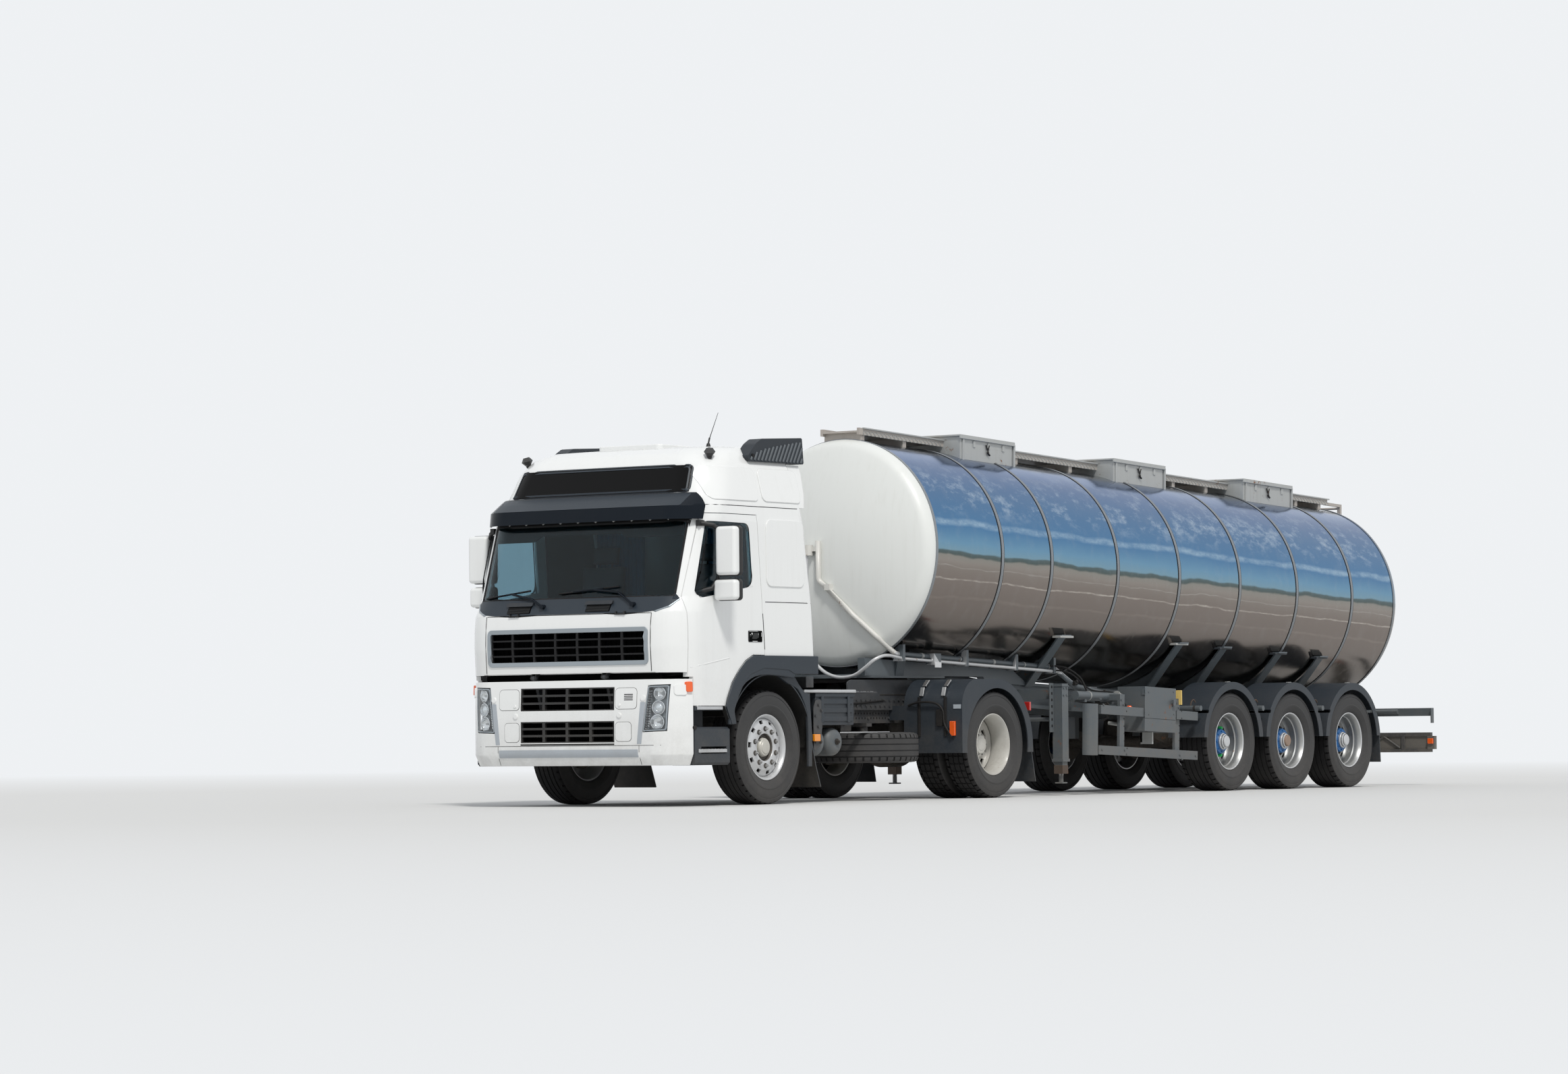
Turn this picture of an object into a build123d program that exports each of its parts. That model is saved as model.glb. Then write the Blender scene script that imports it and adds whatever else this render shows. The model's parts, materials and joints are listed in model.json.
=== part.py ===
from build123d import *
import os
from math import asin, cos, radians, sin, sqrt, tan

# Tractor and tank semi-trailer, in millimetres, +X forward, +Y to the left, +Z up.
# Pieces are drawn from the middle of the front axle on the ground and moved at
# the end, so that the origin is on the ground in the middle of the whole lorry.

# Running gear
wheelbase = 3696
drive_to_trailer_axle = 4647
trailer_axle_spacing = 1311
tyre_radius = 518
bead_radius = 286
rim_flange_radius = 299
front_tyre_width = 320
front_tyre_outer_face = 1180
twin_tyre_width = 290
twin_tyre_outer_face = 1250
twin_spacing = 345
trailer_tyre_width = 380
trailer_tyre_outer_face = 1215
bead_inset = 48
bead_gap = 0.3
rim_lip = 13
rim_wall = 18
hub_gap = 0.3
hub_radius = 112
spindle_radius = 45
spindle_gap = 1.0
kingpin_y = 880
steering_arm = 190
kingpin_pin = 20
boss_half = 78
knuckle_top = 636
knuckle_bottom = 400
front_hub_in = 980
front_spindle_end = 1120
drive_hub_in = 850
drive_spindle_end = 1050
trailer_hub_in = 900
trailer_spindle_end = 1085

drive_x = -wheelbase
trailer_axle_x = [
    drive_x - drive_to_trailer_axle - trailer_axle_spacing * row for row in range(3)
]

# Tractor frame
frame_half_width = 425
frame_top = 1000
frame_height = 266
frame_flange = 85
frame_web = 10
frame_front = 1180
frame_rear = drive_x - 864
catwalk_top = 1030
catwalk_thickness = 14
catwalk_front = -800
catwalk_rear = -2250
catwalk_left = 840
cab_post_x = -560
bumper_bow_radius = 20800
frame_cross_members = [(1120, 760), (-1250, 800), (-2450, 800), (-3150, 800), (-4440, 800)]
tilt_arm_outline = [
    (1080, 744), (1080, 990), (1200, 1000), (1412, 1178), (1430, 1181), (1446, 1147),
    (1418, 1129), (1395, 1080), (1300, 770), (1180, 744),
]
spring_outline = [
    (-770, 733.7), (-770, 690), (-300, 566), (300, 566), (770, 690), (770, 733.7),
    (690, 733.7), (300, 612), (-300, 612), (-690, 733.7),
]

# Equipment beside the frame
battery_x = (-1500, -870)
battery_bottom = 715
battery_out = 1080
air_tank_x = (-930, -1222)
air_tank_z = 560
air_tank_radius = 130
spare_x = -2300
spare_y = 650
spare_z = 500
fuel_tank_x = (-2130, -1290)
silencer_x = (-1230, -850)
guard_radius = 632
guard_lip_radius = 545
guard_in = 600
guard_out = 1270
guard_front_bottom = 435
seat_gap = 0.3

# Cab
cab_wall = 45
cab_floor_bottom = 1190
cab_floor_top = 1235
cab_corner_radius = 350
cab_rear_corner_radius = 70
cab_front_bow = 2.5
cab_door_bottom = 893
panel_gap = 6
glass_thickness = 8
cab_tilt_x = 1430
cab_tilt_z = 1160
cab_lug_y = 400
tilt_pin_radius = 12
lug_radius = 21
pin_gap = 0.3
door_front_x = 1267
door_hinge_x = 1262
door_hinge_y = 1214
hatch_half_width = 925
hatch_bottom = 1196
hatch_top = 1720
hatch_thickness = 30
hatch_hinge_x = 1464
hatch_hinge_z = 1719
hatch_pin_radius = 3
hatch_lug_y = [-655, -560, 545, 640]
hatch_lug_width = 15
firewall_x = 1372
firewall_thickness = 12
upper_grille_half = 865
upper_grille_low = 1290
upper_grille_high = 1565
steering_y = 560
windscreen_outline = [(-1088, 1868), (1088, 1868), (1082, 2540), (-1082, 2540)]
door_window = [(330, 1968), (1110, 1850), (1165, 1900), (972, 2540), (380, 2534)]
arch_outline = [
    (776, 887), (748, 958), (664, 1099), (556, 1212), (454, 1294), (338, 1346),
    (-668, 1346), (-668, 1180), (-290, 1180), (-200, 1215), (180, 1230), (400, 1172),
    (584, 1028), (657, 867), (624, 730), (690, 725),
]
cab_lug_outline = [
    (1409, 1160), (1412, 1147), (1430, 1139), (1451, 1155), (1440, 1180), (1420, 1205),
    (1384, 1240), (1372, 1240), (1372, 1192),
]
wiper_spans = [(-260, -1060), (737, -180)]

# Each row is a level of the visor: height, front on the middle line, half width.
visor_sections = [
    (2556, 1262, 1232),
    (2676, 1245, 1232),
    (2800, 1052, 1226),
]
visor_rear_edge = [(1030, 2550), (935, 2900)]

# Each row is a level of the cab: height, front on the middle line,
# half width and rear face.
cab_sections = [
    (893, 1440, 1245, -672),
    (1190, 1465, 1245, -672),
    (1430, 1482, 1245, -660),
    (1600, 1478, 1245, -648),
    (1720, 1462, 1245, -640),
    (1864, 1378, 1245, -622),
    (2550, 1160, 1240, -515),
    (2700, 1080, 1225, -492),
    (2795, 1012, 1205, -477),
    (3060, 890, 1140, -437),
    (3170, 790, 1080, -425),
    (3235, 600, 1000, -415),
    (3262, 300, 850, -400),
]

# Each row is a level of the bumper: height, front on the middle line, half width.
bumper_sections = [
    (368, 1432, 1225),
    (470, 1476, 1245),
    (900, 1476, 1245),
    (1131, 1464, 1245),
]
bumper_wall = 38
bumper_rear_x = 1225
bumper_openings = [(530, 862, 1066), (530, 575, 765)]
headlamp_outline = [(830, 662), (1070, 672), (1095, 1085), (892, 1078)]

# Tank, drawn along its own axis, which falls to the rear
tank_radius = 1105
tank_slope = 2.22
tank_axis_x = -2940
tank_axis_z = 2390
tank_front_rim = -2900
tank_rear_rim = -12210
crown_radius = 3000
knuckle_start = 1010
band_height = 9
band_width = 42
band_positions = [-4080, -4990, -6260, -7490, -8750, -9990, -11230]

# Fifth wheel and coupling
kingpin_x = -3150
kingpin_radius = 25
fifth_wheel_top = 1170
fifth_wheel_thickness = 42
coupling_gap = 0.3
coupling_plate = 20

# Trailer, with depths measured down from the tank's axis
rail_y = 450
rail_width = 80
rail_top = 1160
rail_bottom = 1410
neck_top = 1045
neck_front = -2560
neck_rear = -4650
rail_front = -4960
rail_rear = -12860
trailer_members = [-5000, -6900, -8350, -9650, -10950, -12700]
saddle_rows = [(-3150, 530), (-5500, 900), (-7780, 930), (-8690, 930), (-9880, 930), (-10800, 930)]
trailer_guard_radius = 622
trailer_lip_radius = 545
trailer_guard_in = 800
trailer_guard_out = 1238
trailer_guard_bottom = 562
guard_stay_z = 832
leg_x = -5280
leg_y = 1000
guard_y = 1200
guard_upper_top = 1380
guard_lower_top = 1787
guard_rail_height = 90
sheet = 12
door_plate = 15
cabinet_x = (-7212, -6592)
cabinet_in = 880
cabinet_out = 1205
cabinet_top = 1158
cabinet_bottom = 1612
cabinet_split = 1480
cabinet_hinge_z = (-1465, -1245)

# Top of the tank, measured from its axis
deck_rise = 60
deck_half = 215
deck_front = -2890
deck_rear = -12300
hatch_rows = [(-4370, -5330), (-7300, -8310), (-10030, -11070)]
hatch_half = 430
box_top = 1242
lid_over = 24
lid_thickness = 18
ladder_x = -12640

# Side pipes on the left, with depths measured down from the tank's axis
pipe_y = 618
pipe_depth = 992
pipe_radius = 26
lower_pipe_y = 655
lower_pipe_depth = 1036
lower_pipe_radius = 16


def block(x0, x1, y0, y1, z0, z1):
    """A box between two opposite corners."""
    size = (abs(x1 - x0), abs(y1 - y0), abs(z1 - z0))
    centre = ((x0 + x1) / 2, (y0 + y1) / 2, (z0 + z1) / 2)
    return Pos(*centre) * Box(*size)


def side_prism(points, y0, y1):
    """An outline of (x, z) points, extruded across the lorry."""
    plane = Plane(origin=(0, y1, 0), x_dir=(1, 0, 0), z_dir=(0, -1, 0))
    return extrude(plane * make_face(Polyline(*points, close=True)), y1 - y0)


def cross_prism(points, x0, x1):
    """An outline of (y, z) points, extruded along the lorry."""
    plane = Plane(origin=(x0, 0, 0), x_dir=(0, 1, 0), z_dir=(1, 0, 0))
    return extrude(plane * make_face(Polyline(*points, close=True)), x1 - x0)


def plan_prism(points, z0, z1):
    """An outline of (x, y) points, extruded upwards."""
    face = make_face(Polyline(*points, close=True))
    return extrude(Pos(0, 0, z0) * face, z1 - z0)


def rod_y(x, z, radius, y0, y1):
    """A round bar across the lorry."""
    return Pos(x, (y0 + y1) / 2, z) * Rot(90, 0, 0) * Cylinder(radius, abs(y1 - y0))


def rod_x(y, z, radius, x0, x1):
    """A round bar along the lorry."""
    return Pos((x0 + x1) / 2, y, z) * Rot(0, 90, 0) * Cylinder(radius, abs(x1 - x0))


def rod_z(x, y, radius, z0, z1):
    """An upright round bar."""
    return Pos(x, y, (z0 + z1) / 2) * Cylinder(radius, abs(z1 - z0))


def mirrored(shape):
    """The same piece on the other side of the lorry."""
    return mirror(shape, about=Plane.XZ)


def both_sides(shape):
    """A piece and its mirror image as two separate solids."""
    return Compound(list(shape.solids()) + list(mirrored(shape).solids()))


def fused(*shapes):
    """One solid from touching pieces."""
    whole = shapes[0]
    for shape in shapes[1:]:
        whole = whole + shape
    return whole


def turned_ring(points):
    """A ring about the Y axis, from (y, radius) points."""
    face = make_face(Polyline(*points, close=True))
    plane = Plane(origin=(0, 0, 0), x_dir=(0, 1, 0), z_dir=(-1, 0, 0))
    return revolve(plane * face, Axis.Y, 360)


def plan_outline(front, half_width, rear, corner):
    """A cab level: bowed front, rounded corners and small rear corners."""
    bow = radians(cab_front_bow)
    front_radius = corner + (half_width - corner) / sin(bow)
    side_end = front - front_radius * (1 - cos(bow)) - corner * cos(bow)
    centre_y = half_width - corner
    middle = radians((90 - cab_front_bow) / 2)
    meet_x = side_end + corner * cos(bow)
    meet_y = centre_y + corner * sin(bow)
    corner_x = side_end + corner * sin(middle)
    corner_y = centre_y + corner * cos(middle)
    rear_r = cab_rear_corner_radius
    bend = rear_r * (1 - sqrt(0.5))
    left = [
        Line((rear + rear_r, half_width), (side_end, half_width)),
        ThreePointArc((side_end, half_width), (corner_x, corner_y), (meet_x, meet_y)),
    ]
    nose = ThreePointArc((meet_x, meet_y), (front, 0), (meet_x, -meet_y))
    right = [
        ThreePointArc((meet_x, -meet_y), (corner_x, -corner_y), (side_end, -half_width)),
        Line((side_end, -half_width), (rear + rear_r, -half_width)),
    ]
    back = [
        ThreePointArc(
            (rear + rear_r, -half_width),
            (rear + bend, -half_width + bend),
            (rear, -half_width + rear_r),
        ),
        Line((rear, -half_width + rear_r), (rear, half_width - rear_r)),
        ThreePointArc(
            (rear, half_width - rear_r),
            (rear + bend, half_width - bend),
            (rear + rear_r, half_width),
        ),
    ]
    return make_face(Wire(left + [nose] + right + back))


def cab_body(inset, low, high):
    """The cab's outer form, drawn in by inset, between two heights."""
    levels = [
        Pos(0, 0, z)
        * plan_outline(front - inset, half - inset, rear + inset, cab_corner_radius - inset)
        for z, front, half, rear in cab_sections
    ]
    body = loft(levels, ruled=True)
    return body & block(-900, 1700, -1400, 1400, low, high)


def bumper_body(inset):
    """The bumper's outer form, drawn in by inset."""
    levels = [
        Pos(0, 0, z)
        * plan_outline(front - inset, half - inset, 300 + inset, cab_corner_radius - inset)
        for z, front, half in bumper_sections
    ]
    return loft(levels, ruled=True)


def tyre(width):
    """A tyre about the Y axis, its beads seated on the rim."""
    half = width / 2
    seat = half - bead_inset
    right = [
        (seat, bead_radius),
        (seat, rim_flange_radius + 4),
        (half, 372),
        (half - 3, 462),
        (half - 30, tyre_radius),
    ]
    left = [(-y, r) for y, r in reversed(right)]
    return turned_ring(right + left)


def rim(width, dish, hub_out, cap_radius, hub_in, spindle_end):
    """A pressed steel rim with its hub about the Y axis, outer side at +Y.

    dish is the distance of the disc from the outer flange, hub_out that of the
    hub cap, hub_in is the hub's inner face and spindle_end the spindle's tip.
    """
    seat = width / 2 - bead_inset + bead_gap
    lip = seat + rim_lip
    barrel_out = bead_radius - bead_gap
    barrel_in = barrel_out - rim_wall
    disc = lip - dish
    cap = lip - hub_out
    bore = spindle_radius + spindle_gap
    section = [
        (seat, rim_flange_radius),
        (lip, rim_flange_radius),
        (lip, barrel_in),
        (disc + 25, barrel_in - 6),
        (disc, 225),
        (disc, 118),
        (disc + 20, 108),
        (cap, cap_radius),
        (cap, 0),
        (spindle_end + hub_gap, 0),
        (spindle_end + hub_gap, bore),
        (hub_in, bore),
        (hub_in, 108),
        (disc - 16, 118),
        (disc - 16, 219),
        (disc + 5, barrel_in - 6),
        (disc - 40, barrel_in),
        (-lip, barrel_in),
        (-lip, rim_flange_radius),
        (-seat, rim_flange_radius),
        (-seat, barrel_out),
        (seat, barrel_out),
    ]
    return turned_ring(section)


def drive_rims():
    """Both rims of a twin drive wheel with their hub, outer side at +Y."""
    outer = twin_tyre_outer_face - twin_tyre_width / 2
    inner = outer - twin_spacing
    seat = twin_tyre_width / 2 - bead_inset + bead_gap
    lip = seat + rim_lip
    barrel_out = bead_radius - bead_gap
    barrel_in = barrel_out - rim_wall
    joint = (outer + inner) / 2
    bore = spindle_radius + spindle_gap
    section = [
        (outer + seat, rim_flange_radius),
        (outer + lip, rim_flange_radius),
        (outer + lip, barrel_in),
        (joint + 60, barrel_in - 8),
        (joint + 12, 205),
        (joint + 12, 125),
        (joint + 130, 118),
        (joint + 142, 85),
        (joint + 142, 0),
        (drive_spindle_end + hub_gap, 0),
        (drive_spindle_end + hub_gap, bore),
        (drive_hub_in, bore),
        (drive_hub_in, 125),
        (joint - 12, 125),
        (joint - 12, 205),
        (joint - 60, barrel_in - 8),
        (inner - lip, barrel_in),
        (inner - lip, rim_flange_radius),
        (inner - seat, rim_flange_radius),
        (inner - seat, barrel_out),
        (inner + seat, barrel_out),
        (inner + seat, rim_flange_radius),
        (inner + lip, rim_flange_radius),
        (joint, 232),
        (outer - lip, rim_flange_radius),
        (outer - seat, rim_flange_radius),
        (outer - seat, barrel_out),
        (outer + seat, barrel_out),
    ]
    return turned_ring(section)


def front_wheel():
    """The left front wheel: tyre, and rim with hub."""
    middle = front_tyre_outer_face - front_tyre_width / 2
    seat = Pos(0, middle, tyre_radius)
    wheel_rim = rim(front_tyre_width, 20, -12, 66, front_hub_in - middle, front_spindle_end - middle)
    return Compound([seat * tyre(front_tyre_width), seat * wheel_rim])


def drive_wheels():
    """The left pair of drive wheels: two tyres and one pair of rims."""
    outer = twin_tyre_outer_face - twin_tyre_width / 2
    tyres = [
        Pos(drive_x, y, tyre_radius) * tyre(twin_tyre_width)
        for y in (outer, outer - twin_spacing)
    ]
    return Compound(tyres + [Pos(drive_x, 0, tyre_radius) * drive_rims()])


def trailer_wheel(x):
    """A left trailer wheel: tyre, and deep rim with hub."""
    middle = trailer_tyre_outer_face - trailer_tyre_width / 2
    seat = Pos(x, middle, tyre_radius)
    wheel_rim = rim(
        trailer_tyre_width, 190, 60, 74, trailer_hub_in - middle, trailer_spindle_end - middle
    )
    return Compound([seat * tyre(trailer_tyre_width), seat * wheel_rim])


def tractor_frame():
    """Channel rails with cross members, catwalk, cab supports and bumper arms."""
    bottom = frame_top - frame_height
    web_in = frame_half_width - frame_web
    flange_in = frame_half_width - frame_flange
    channel = cross_prism(
        [
            (flange_in, bottom),
            (frame_half_width, bottom),
            (frame_half_width, frame_top),
            (flange_in, frame_top),
            (flange_in, frame_top - frame_web),
            (web_in, frame_top - frame_web),
            (web_in, bottom + frame_web),
            (flange_in, bottom + frame_web),
        ],
        frame_rear,
        frame_front,
    )
    rails = fused(channel, mirrored(channel))
    parts = [
        block(x - 45, x + 45, -web_in, web_in, z, frame_top - frame_web)
        for x, z in frame_cross_members
    ]
    for side in (-1, 1):
        y = side * cab_lug_y
        arm = side_prism(tilt_arm_outline, y - 15, y + 15)
        eye = rod_y(cab_tilt_x, cab_tilt_z, lug_radius, y - 15, y + 15)
        pin = rod_y(cab_tilt_x, cab_tilt_z, tilt_pin_radius, y - 34, y + 34)
        post = block(cab_post_x - 30, cab_post_x + 30, y - 25, y + 25, frame_top, 1160)
        bumper_in = 1476 - bumper_wall - seat_gap - (430 * 430) / (2 * bumper_bow_radius)
        bumper_arm = block(frame_front, bumper_in, y - 30, y + 25, bottom + 20, bottom + 110)
        parts += [arm, eye, pin, post, bumper_arm]
    support = block(
        cab_post_x - 40, cab_post_x + 40, -450, 450, 1140, cab_floor_bottom - seat_gap
    )
    walk = block(
        catwalk_rear, catwalk_front, -430, catwalk_left, catwalk_top - catwalk_thickness, catwalk_top
    )
    bearers = [
        block(x - 25, x + 25, -frame_half_width, frame_half_width, frame_top, catwalk_top - 14)
        for x in (catwalk_front - 60, catwalk_rear + 60)
    ]
    rear_bar = rod_y(frame_rear + 60, bottom + 130, 30, -web_in, web_in)
    return fused(rails, *parts, support, walk, *bearers, rear_bar)


def front_axle():
    """Forged beam with kingpin bosses and pins, and a leaf spring on each side."""
    beam = cross_prism(
        [
            (-850, 566), (-620, 566), (-560, 536), (560, 536), (620, 566), (850, 566),
            (850, 472), (620, 472), (520, 426), (-520, 426), (-620, 472), (-850, 472),
        ],
        -45,
        45,
    )
    parts = []
    for side in (-1, 1):
        y = side * kingpin_y
        boss = rod_z(0, y, 50, tyre_radius - boss_half, tyre_radius + boss_half)
        pin = rod_z(0, y, kingpin_pin, knuckle_bottom - 8, knuckle_top + 8)
        link = block(-45, 45, side * 830, y, 472, 566)
        spring = side_prism(spring_outline, side * 400 - 40, side * 400 + 40)
        clamp = block(-75, 75, side * 350, side * 450, 520, 620)
        parts += [boss, pin, link, spring, clamp]
    return fused(beam, *parts)


def knuckle():
    """The left knuckle: two lugs round the kingpin, spindle and steering arm."""
    boss_top = tyre_radius + boss_half + pin_gap
    boss_bottom = tyre_radius - boss_half - pin_gap
    lugs = fused(
        rod_z(0, kingpin_y, 54, boss_top, knuckle_top),
        rod_z(0, kingpin_y, 54, knuckle_bottom, boss_bottom),
        block(-54, 54, kingpin_y, 975, boss_top, knuckle_top),
        block(-54, 54, kingpin_y, 975, knuckle_bottom, boss_bottom),
        block(-54, 54, 940, 975, knuckle_bottom, knuckle_top),
    )
    shield = rod_y(0, tyre_radius, 185, 965, front_hub_in - hub_gap)
    spindle = rod_y(0, tyre_radius, spindle_radius, 965, front_spindle_end)
    arm = block(-steering_arm, 0, kingpin_y - 22, kingpin_y + 22, knuckle_bottom, boss_bottom)
    arm_eye = rod_z(-steering_arm, kingpin_y, 34, knuckle_bottom, boss_bottom)
    pin_hole = rod_z(0, kingpin_y, kingpin_pin + pin_gap, 300, 700)
    rod_pin = rod_z(-steering_arm, kingpin_y, 12, boss_bottom - 5, boss_bottom + 44)
    return fused(lugs, shield, spindle, arm, arm_eye, rod_pin) - pin_hole


def tie_rod():
    """The bar that joins both steering arms behind the axle."""
    low = tyre_radius - boss_half - pin_gap + pin_gap
    bar = rod_y(-steering_arm, low + 18, 17, -kingpin_y, kingpin_y)
    eyes = [rod_z(-steering_arm, side * kingpin_y, 30, low, low + 36) for side in (-1, 1)]
    hole = rod_z(-steering_arm, kingpin_y, 12 + pin_gap, 400, 800)
    return fused(bar, *eyes) - hole - mirrored(hole)


def drive_axle():
    """Axle tube with its drive housing, spring beams and air bellows."""
    z = tyre_radius
    bottom = frame_top - frame_height
    tube = rod_y(drive_x, z, 72, -drive_hub_in + 60, drive_hub_in - 60)
    housing = rod_x(0, z, 215, drive_x - 150, drive_x + 150)
    nose = rod_x(0, z, 85, drive_x + 150, drive_x + 300)
    parts = []
    for side in (-1, 1):
        drum = rod_y(drive_x, z, 190, side * 715, side * (drive_hub_in - hub_gap))
        spindle = rod_y(drive_x, z, spindle_radius, side * 715, side * drive_spindle_end)
        beam = block(drive_x - 560, drive_x + 560, side * 380, side * 470, 480, 552)
        parts += [drum, spindle, beam]
        for end in (-1, 1):
            parts.append(rod_z(drive_x + end * 450, side * 425, 105, 540, bottom - seat_gap))
    return fused(tube, housing, nose, *parts)


def powertrain():
    """Engine, radiator and gearbox as plain blocks, with the propeller shaft."""
    engine = block(-100, 940, -290, 290, 610, 1130)
    shroud = block(930, 1010, -335, 335, 650, 1110)
    gearbox = block(-820, -90, -190, 190, 650, 950)
    bell = rod_x(0, 790, 235, -180, -90)
    mounts = [
        block(x - 45, x + 45, side * 280, side * (frame_half_width - frame_web - seat_gap), 760, 830)
        for x in (180, 800)
        for side in (-1, 1)
    ]
    shaft_start = (-800, 0, 790)
    shaft_end = (drive_x + 300.5, 0, tyre_radius)
    run = tuple(b - a for a, b in zip(shaft_start, shaft_end))
    length = sqrt(sum(step * step for step in run))
    plane = Plane(origin=shaft_start, z_dir=run)
    shaft = plane * Cylinder(48, length - 8, align=(Align.CENTER, Align.CENTER, Align.MIN))
    return fused(engine, shroud, gearbox, bell, *mounts, shaft)


def fifth_wheel():
    """Coupling plate with its entry slot on two pedestals."""
    top = fifth_wheel_top
    under = top - fifth_wheel_thickness
    plate = rod_z(kingpin_x + 20, 0, 500, under, top) & block(
        kingpin_x - 480, kingpin_x + 470, -440, 440, under, top
    )
    slot = plan_prism(
        [
            (kingpin_x, kingpin_radius + 3),
            (kingpin_x - 170, kingpin_radius + 6),
            (kingpin_x - 520, 190),
            (kingpin_x - 520, -190),
            (kingpin_x - 170, -kingpin_radius - 6),
            (kingpin_x, -kingpin_radius - 3),
        ],
        under - 5,
        top + 5,
    )
    bore = rod_z(kingpin_x, 0, kingpin_radius + 3, under - 5, top + 5)
    base = block(kingpin_x - 300, kingpin_x + 300, -470, 470, frame_top + seat_gap, 1014)
    legs = [
        side_prism(
            [
                (kingpin_x - 190, 1014), (kingpin_x + 190, 1014),
                (kingpin_x + 80, under), (kingpin_x - 80, under),
            ],
            side * 335 - 45,
            side * 335 + 45,
        )
        for side in (-1, 1)
    ]
    return fused(plate - slot - bore, base, *legs)


def fuel_tank():
    """Rounded tank on the right with two straps and its brackets."""
    x0, x1 = fuel_tank_x
    y0, y1 = -1180, -490
    shell = block(x0, x1, y0, y1, 400, 980)
    shell = fillet(shell.edges().filter_by(Axis.X), 85)
    straps = []
    for x in (x0 + 180, x1 - 180):
        band = block(x - 25, x + 25, y0 - 5, y1 + 5, 395, 985)
        band = fillet(band.edges().filter_by(Axis.X), 88)
        bracket = block(x - 25, x + 25, y1 - 20, -frame_half_width - seat_gap, 760, 900)
        straps += [band, bracket]
    cap = rod_z(x1 - 120, -1080, 45, 940, 1010)
    return fused(shell, *straps, cap)


def silencer():
    """Exhaust box on the right with its outlet pipe."""
    body = block(silencer_x[0], silencer_x[1], -1080, -500, 430, 960)
    body = fillet(body.edges().filter_by(Axis.Y), 60)
    bracket = block(silencer_x[0] + 80, silencer_x[1] - 80, -520, -frame_half_width - seat_gap, 780, 880)
    outlet = rod_y(silencer_x[0] + 90, 520, 42, -1150, -1060)
    return fused(body, bracket, outlet)


def battery_box():
    """Ribbed box on the left behind the front wheel."""
    x0, x1 = battery_x
    body = block(x0, x1, 490, battery_out, battery_bottom, frame_top)
    body = fillet(body.edges().filter_by(Axis.Y), 18)
    ribs = [
        block(x0 + 30, x1 - 30, battery_out - 2, battery_out + 10, z, z + 45)
        for z in (battery_bottom + 35, battery_bottom + 115, battery_bottom + 195)
    ]
    bracket = block(x0 + 60, x1 - 60, frame_half_width + seat_gap, 500, 770, 860)
    return fused(body, *ribs, bracket)


def air_tanks():
    """Two domed air tanks side by side under the battery box."""
    tanks = []
    for x in air_tank_x:
        barrel = rod_y(x, air_tank_z, air_tank_radius, 520, 1075)
        barrel = fillet(barrel.edges(), 70)
        stub = rod_y(x, air_tank_z, 16, 1070, 1088)
        strap = block(x - 30, x + 30, 700, 760, air_tank_z + 100, battery_bottom - seat_gap)
        tanks.append(fused(barrel, stub, strap))
    return Compound(tanks)


def spare_wheel():
    """Spare wheel lying flat below the left rail, hung from its carrier arm."""
    seat = Pos(spare_x, spare_y, spare_z) * Rot(90, 0, 0)
    bottom = frame_top - frame_height
    plain_rim = rim(twin_tyre_width, 60, 62, 108, -5, 10)
    hanger = fused(
        rod_z(spare_x, spare_y, 40, spare_z, bottom - 20),
        block(spare_x - 45, spare_x + 45, 350, spare_y + 60, bottom - 34, bottom - seat_gap),
    )
    return Compound([seat * tyre(twin_tyre_width), fused(seat * plain_rim, hanger)])


def cross_region(points):
    """An opening seen from the front, cut from the nose rearwards."""
    return cross_prism(points, 850, 1700)


def grown(points, margin):
    """A convex (y, z) outline moved outwards from its middle by about margin."""
    mid_y = sum(y for y, z in points) / len(points)
    mid_z = sum(z for y, z in points) / len(points)
    sign = lambda value: (value > 0) - (value < 0)
    return [(y + margin * sign(y - mid_y), z + margin * sign(z - mid_z)) for y, z in points]


def rectangle(half_width, low, high, margin=0):
    """A (y, z) rectangle about the middle line."""
    w = half_width + margin
    return [(-w, low - margin), (w, low - margin), (w, high + margin), (-w, high + margin)]


def door_region(margin):
    """The left door's outline from the side, margin wider all round."""
    m = margin
    outline = [
        (door_front_x + m, 1150 - m),
        (door_front_x + m, 1850),
        (1000 + m, 2610 + m),
        (257 - m, 2610 + m),
        (156 - m, 1352 - m),
        (338, 1352 - m),
        (458, 1300 - m),
        (560, 1218 - m),
        (668, 1105 - m),
        (748, 965 - m),
        (776, cab_door_bottom - m),
        (1216 + m, cab_door_bottom - m),
        (1216 + m, 1150 - m),
    ]
    return side_prism(outline, 900, 1400)


def cab_shell():
    """Roof, walls, floor and firewall, with the door, hatch and windscreen openings."""
    outer = cab_body(0, cab_floor_bottom, 3262)
    inner = cab_body(cab_wall, cab_floor_top, 3262 - cab_wall)
    shell = outer - inner
    sill = side_prism(arch_outline, 1200, 1245)
    shell = fused(shell, sill, mirrored(sill))
    openings = [door_region(panel_gap), mirrored(door_region(panel_gap))]
    openings.append(cross_region(rectangle(hatch_half_width, hatch_bottom, hatch_top, 3))
                    - block(800, firewall_x, -1300, 1300, 1100, 1800))
    openings.append(cross_region(windscreen_outline))
    shell = shell - openings
    nose_cut = block(firewall_x + firewall_thickness, 1700, -970, 970, 1150, hatch_bottom)
    shell = shell - nose_cut
    firewall = block(firewall_x, firewall_x + firewall_thickness, -1020, 1020, cab_floor_bottom, 1735)
    lugs = [
        side_prism(cab_lug_outline, side * cab_lug_y + a, side * cab_lug_y + b)
        - rod_y(cab_tilt_x, cab_tilt_z, tilt_pin_radius + pin_gap, -600, 600)
        for side in (-1, 1)
        for a, b in ((-31, -17), (17, 31))
    ]
    hatch_bore = rod_y(hatch_hinge_x, hatch_hinge_z, hatch_pin_radius + pin_gap, -700, 700)
    hatch_ears = [lug - hatch_bore for lug in hatch_lugs(0)]
    return fused(shell, firewall, *lugs, *hatch_ears)


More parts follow.
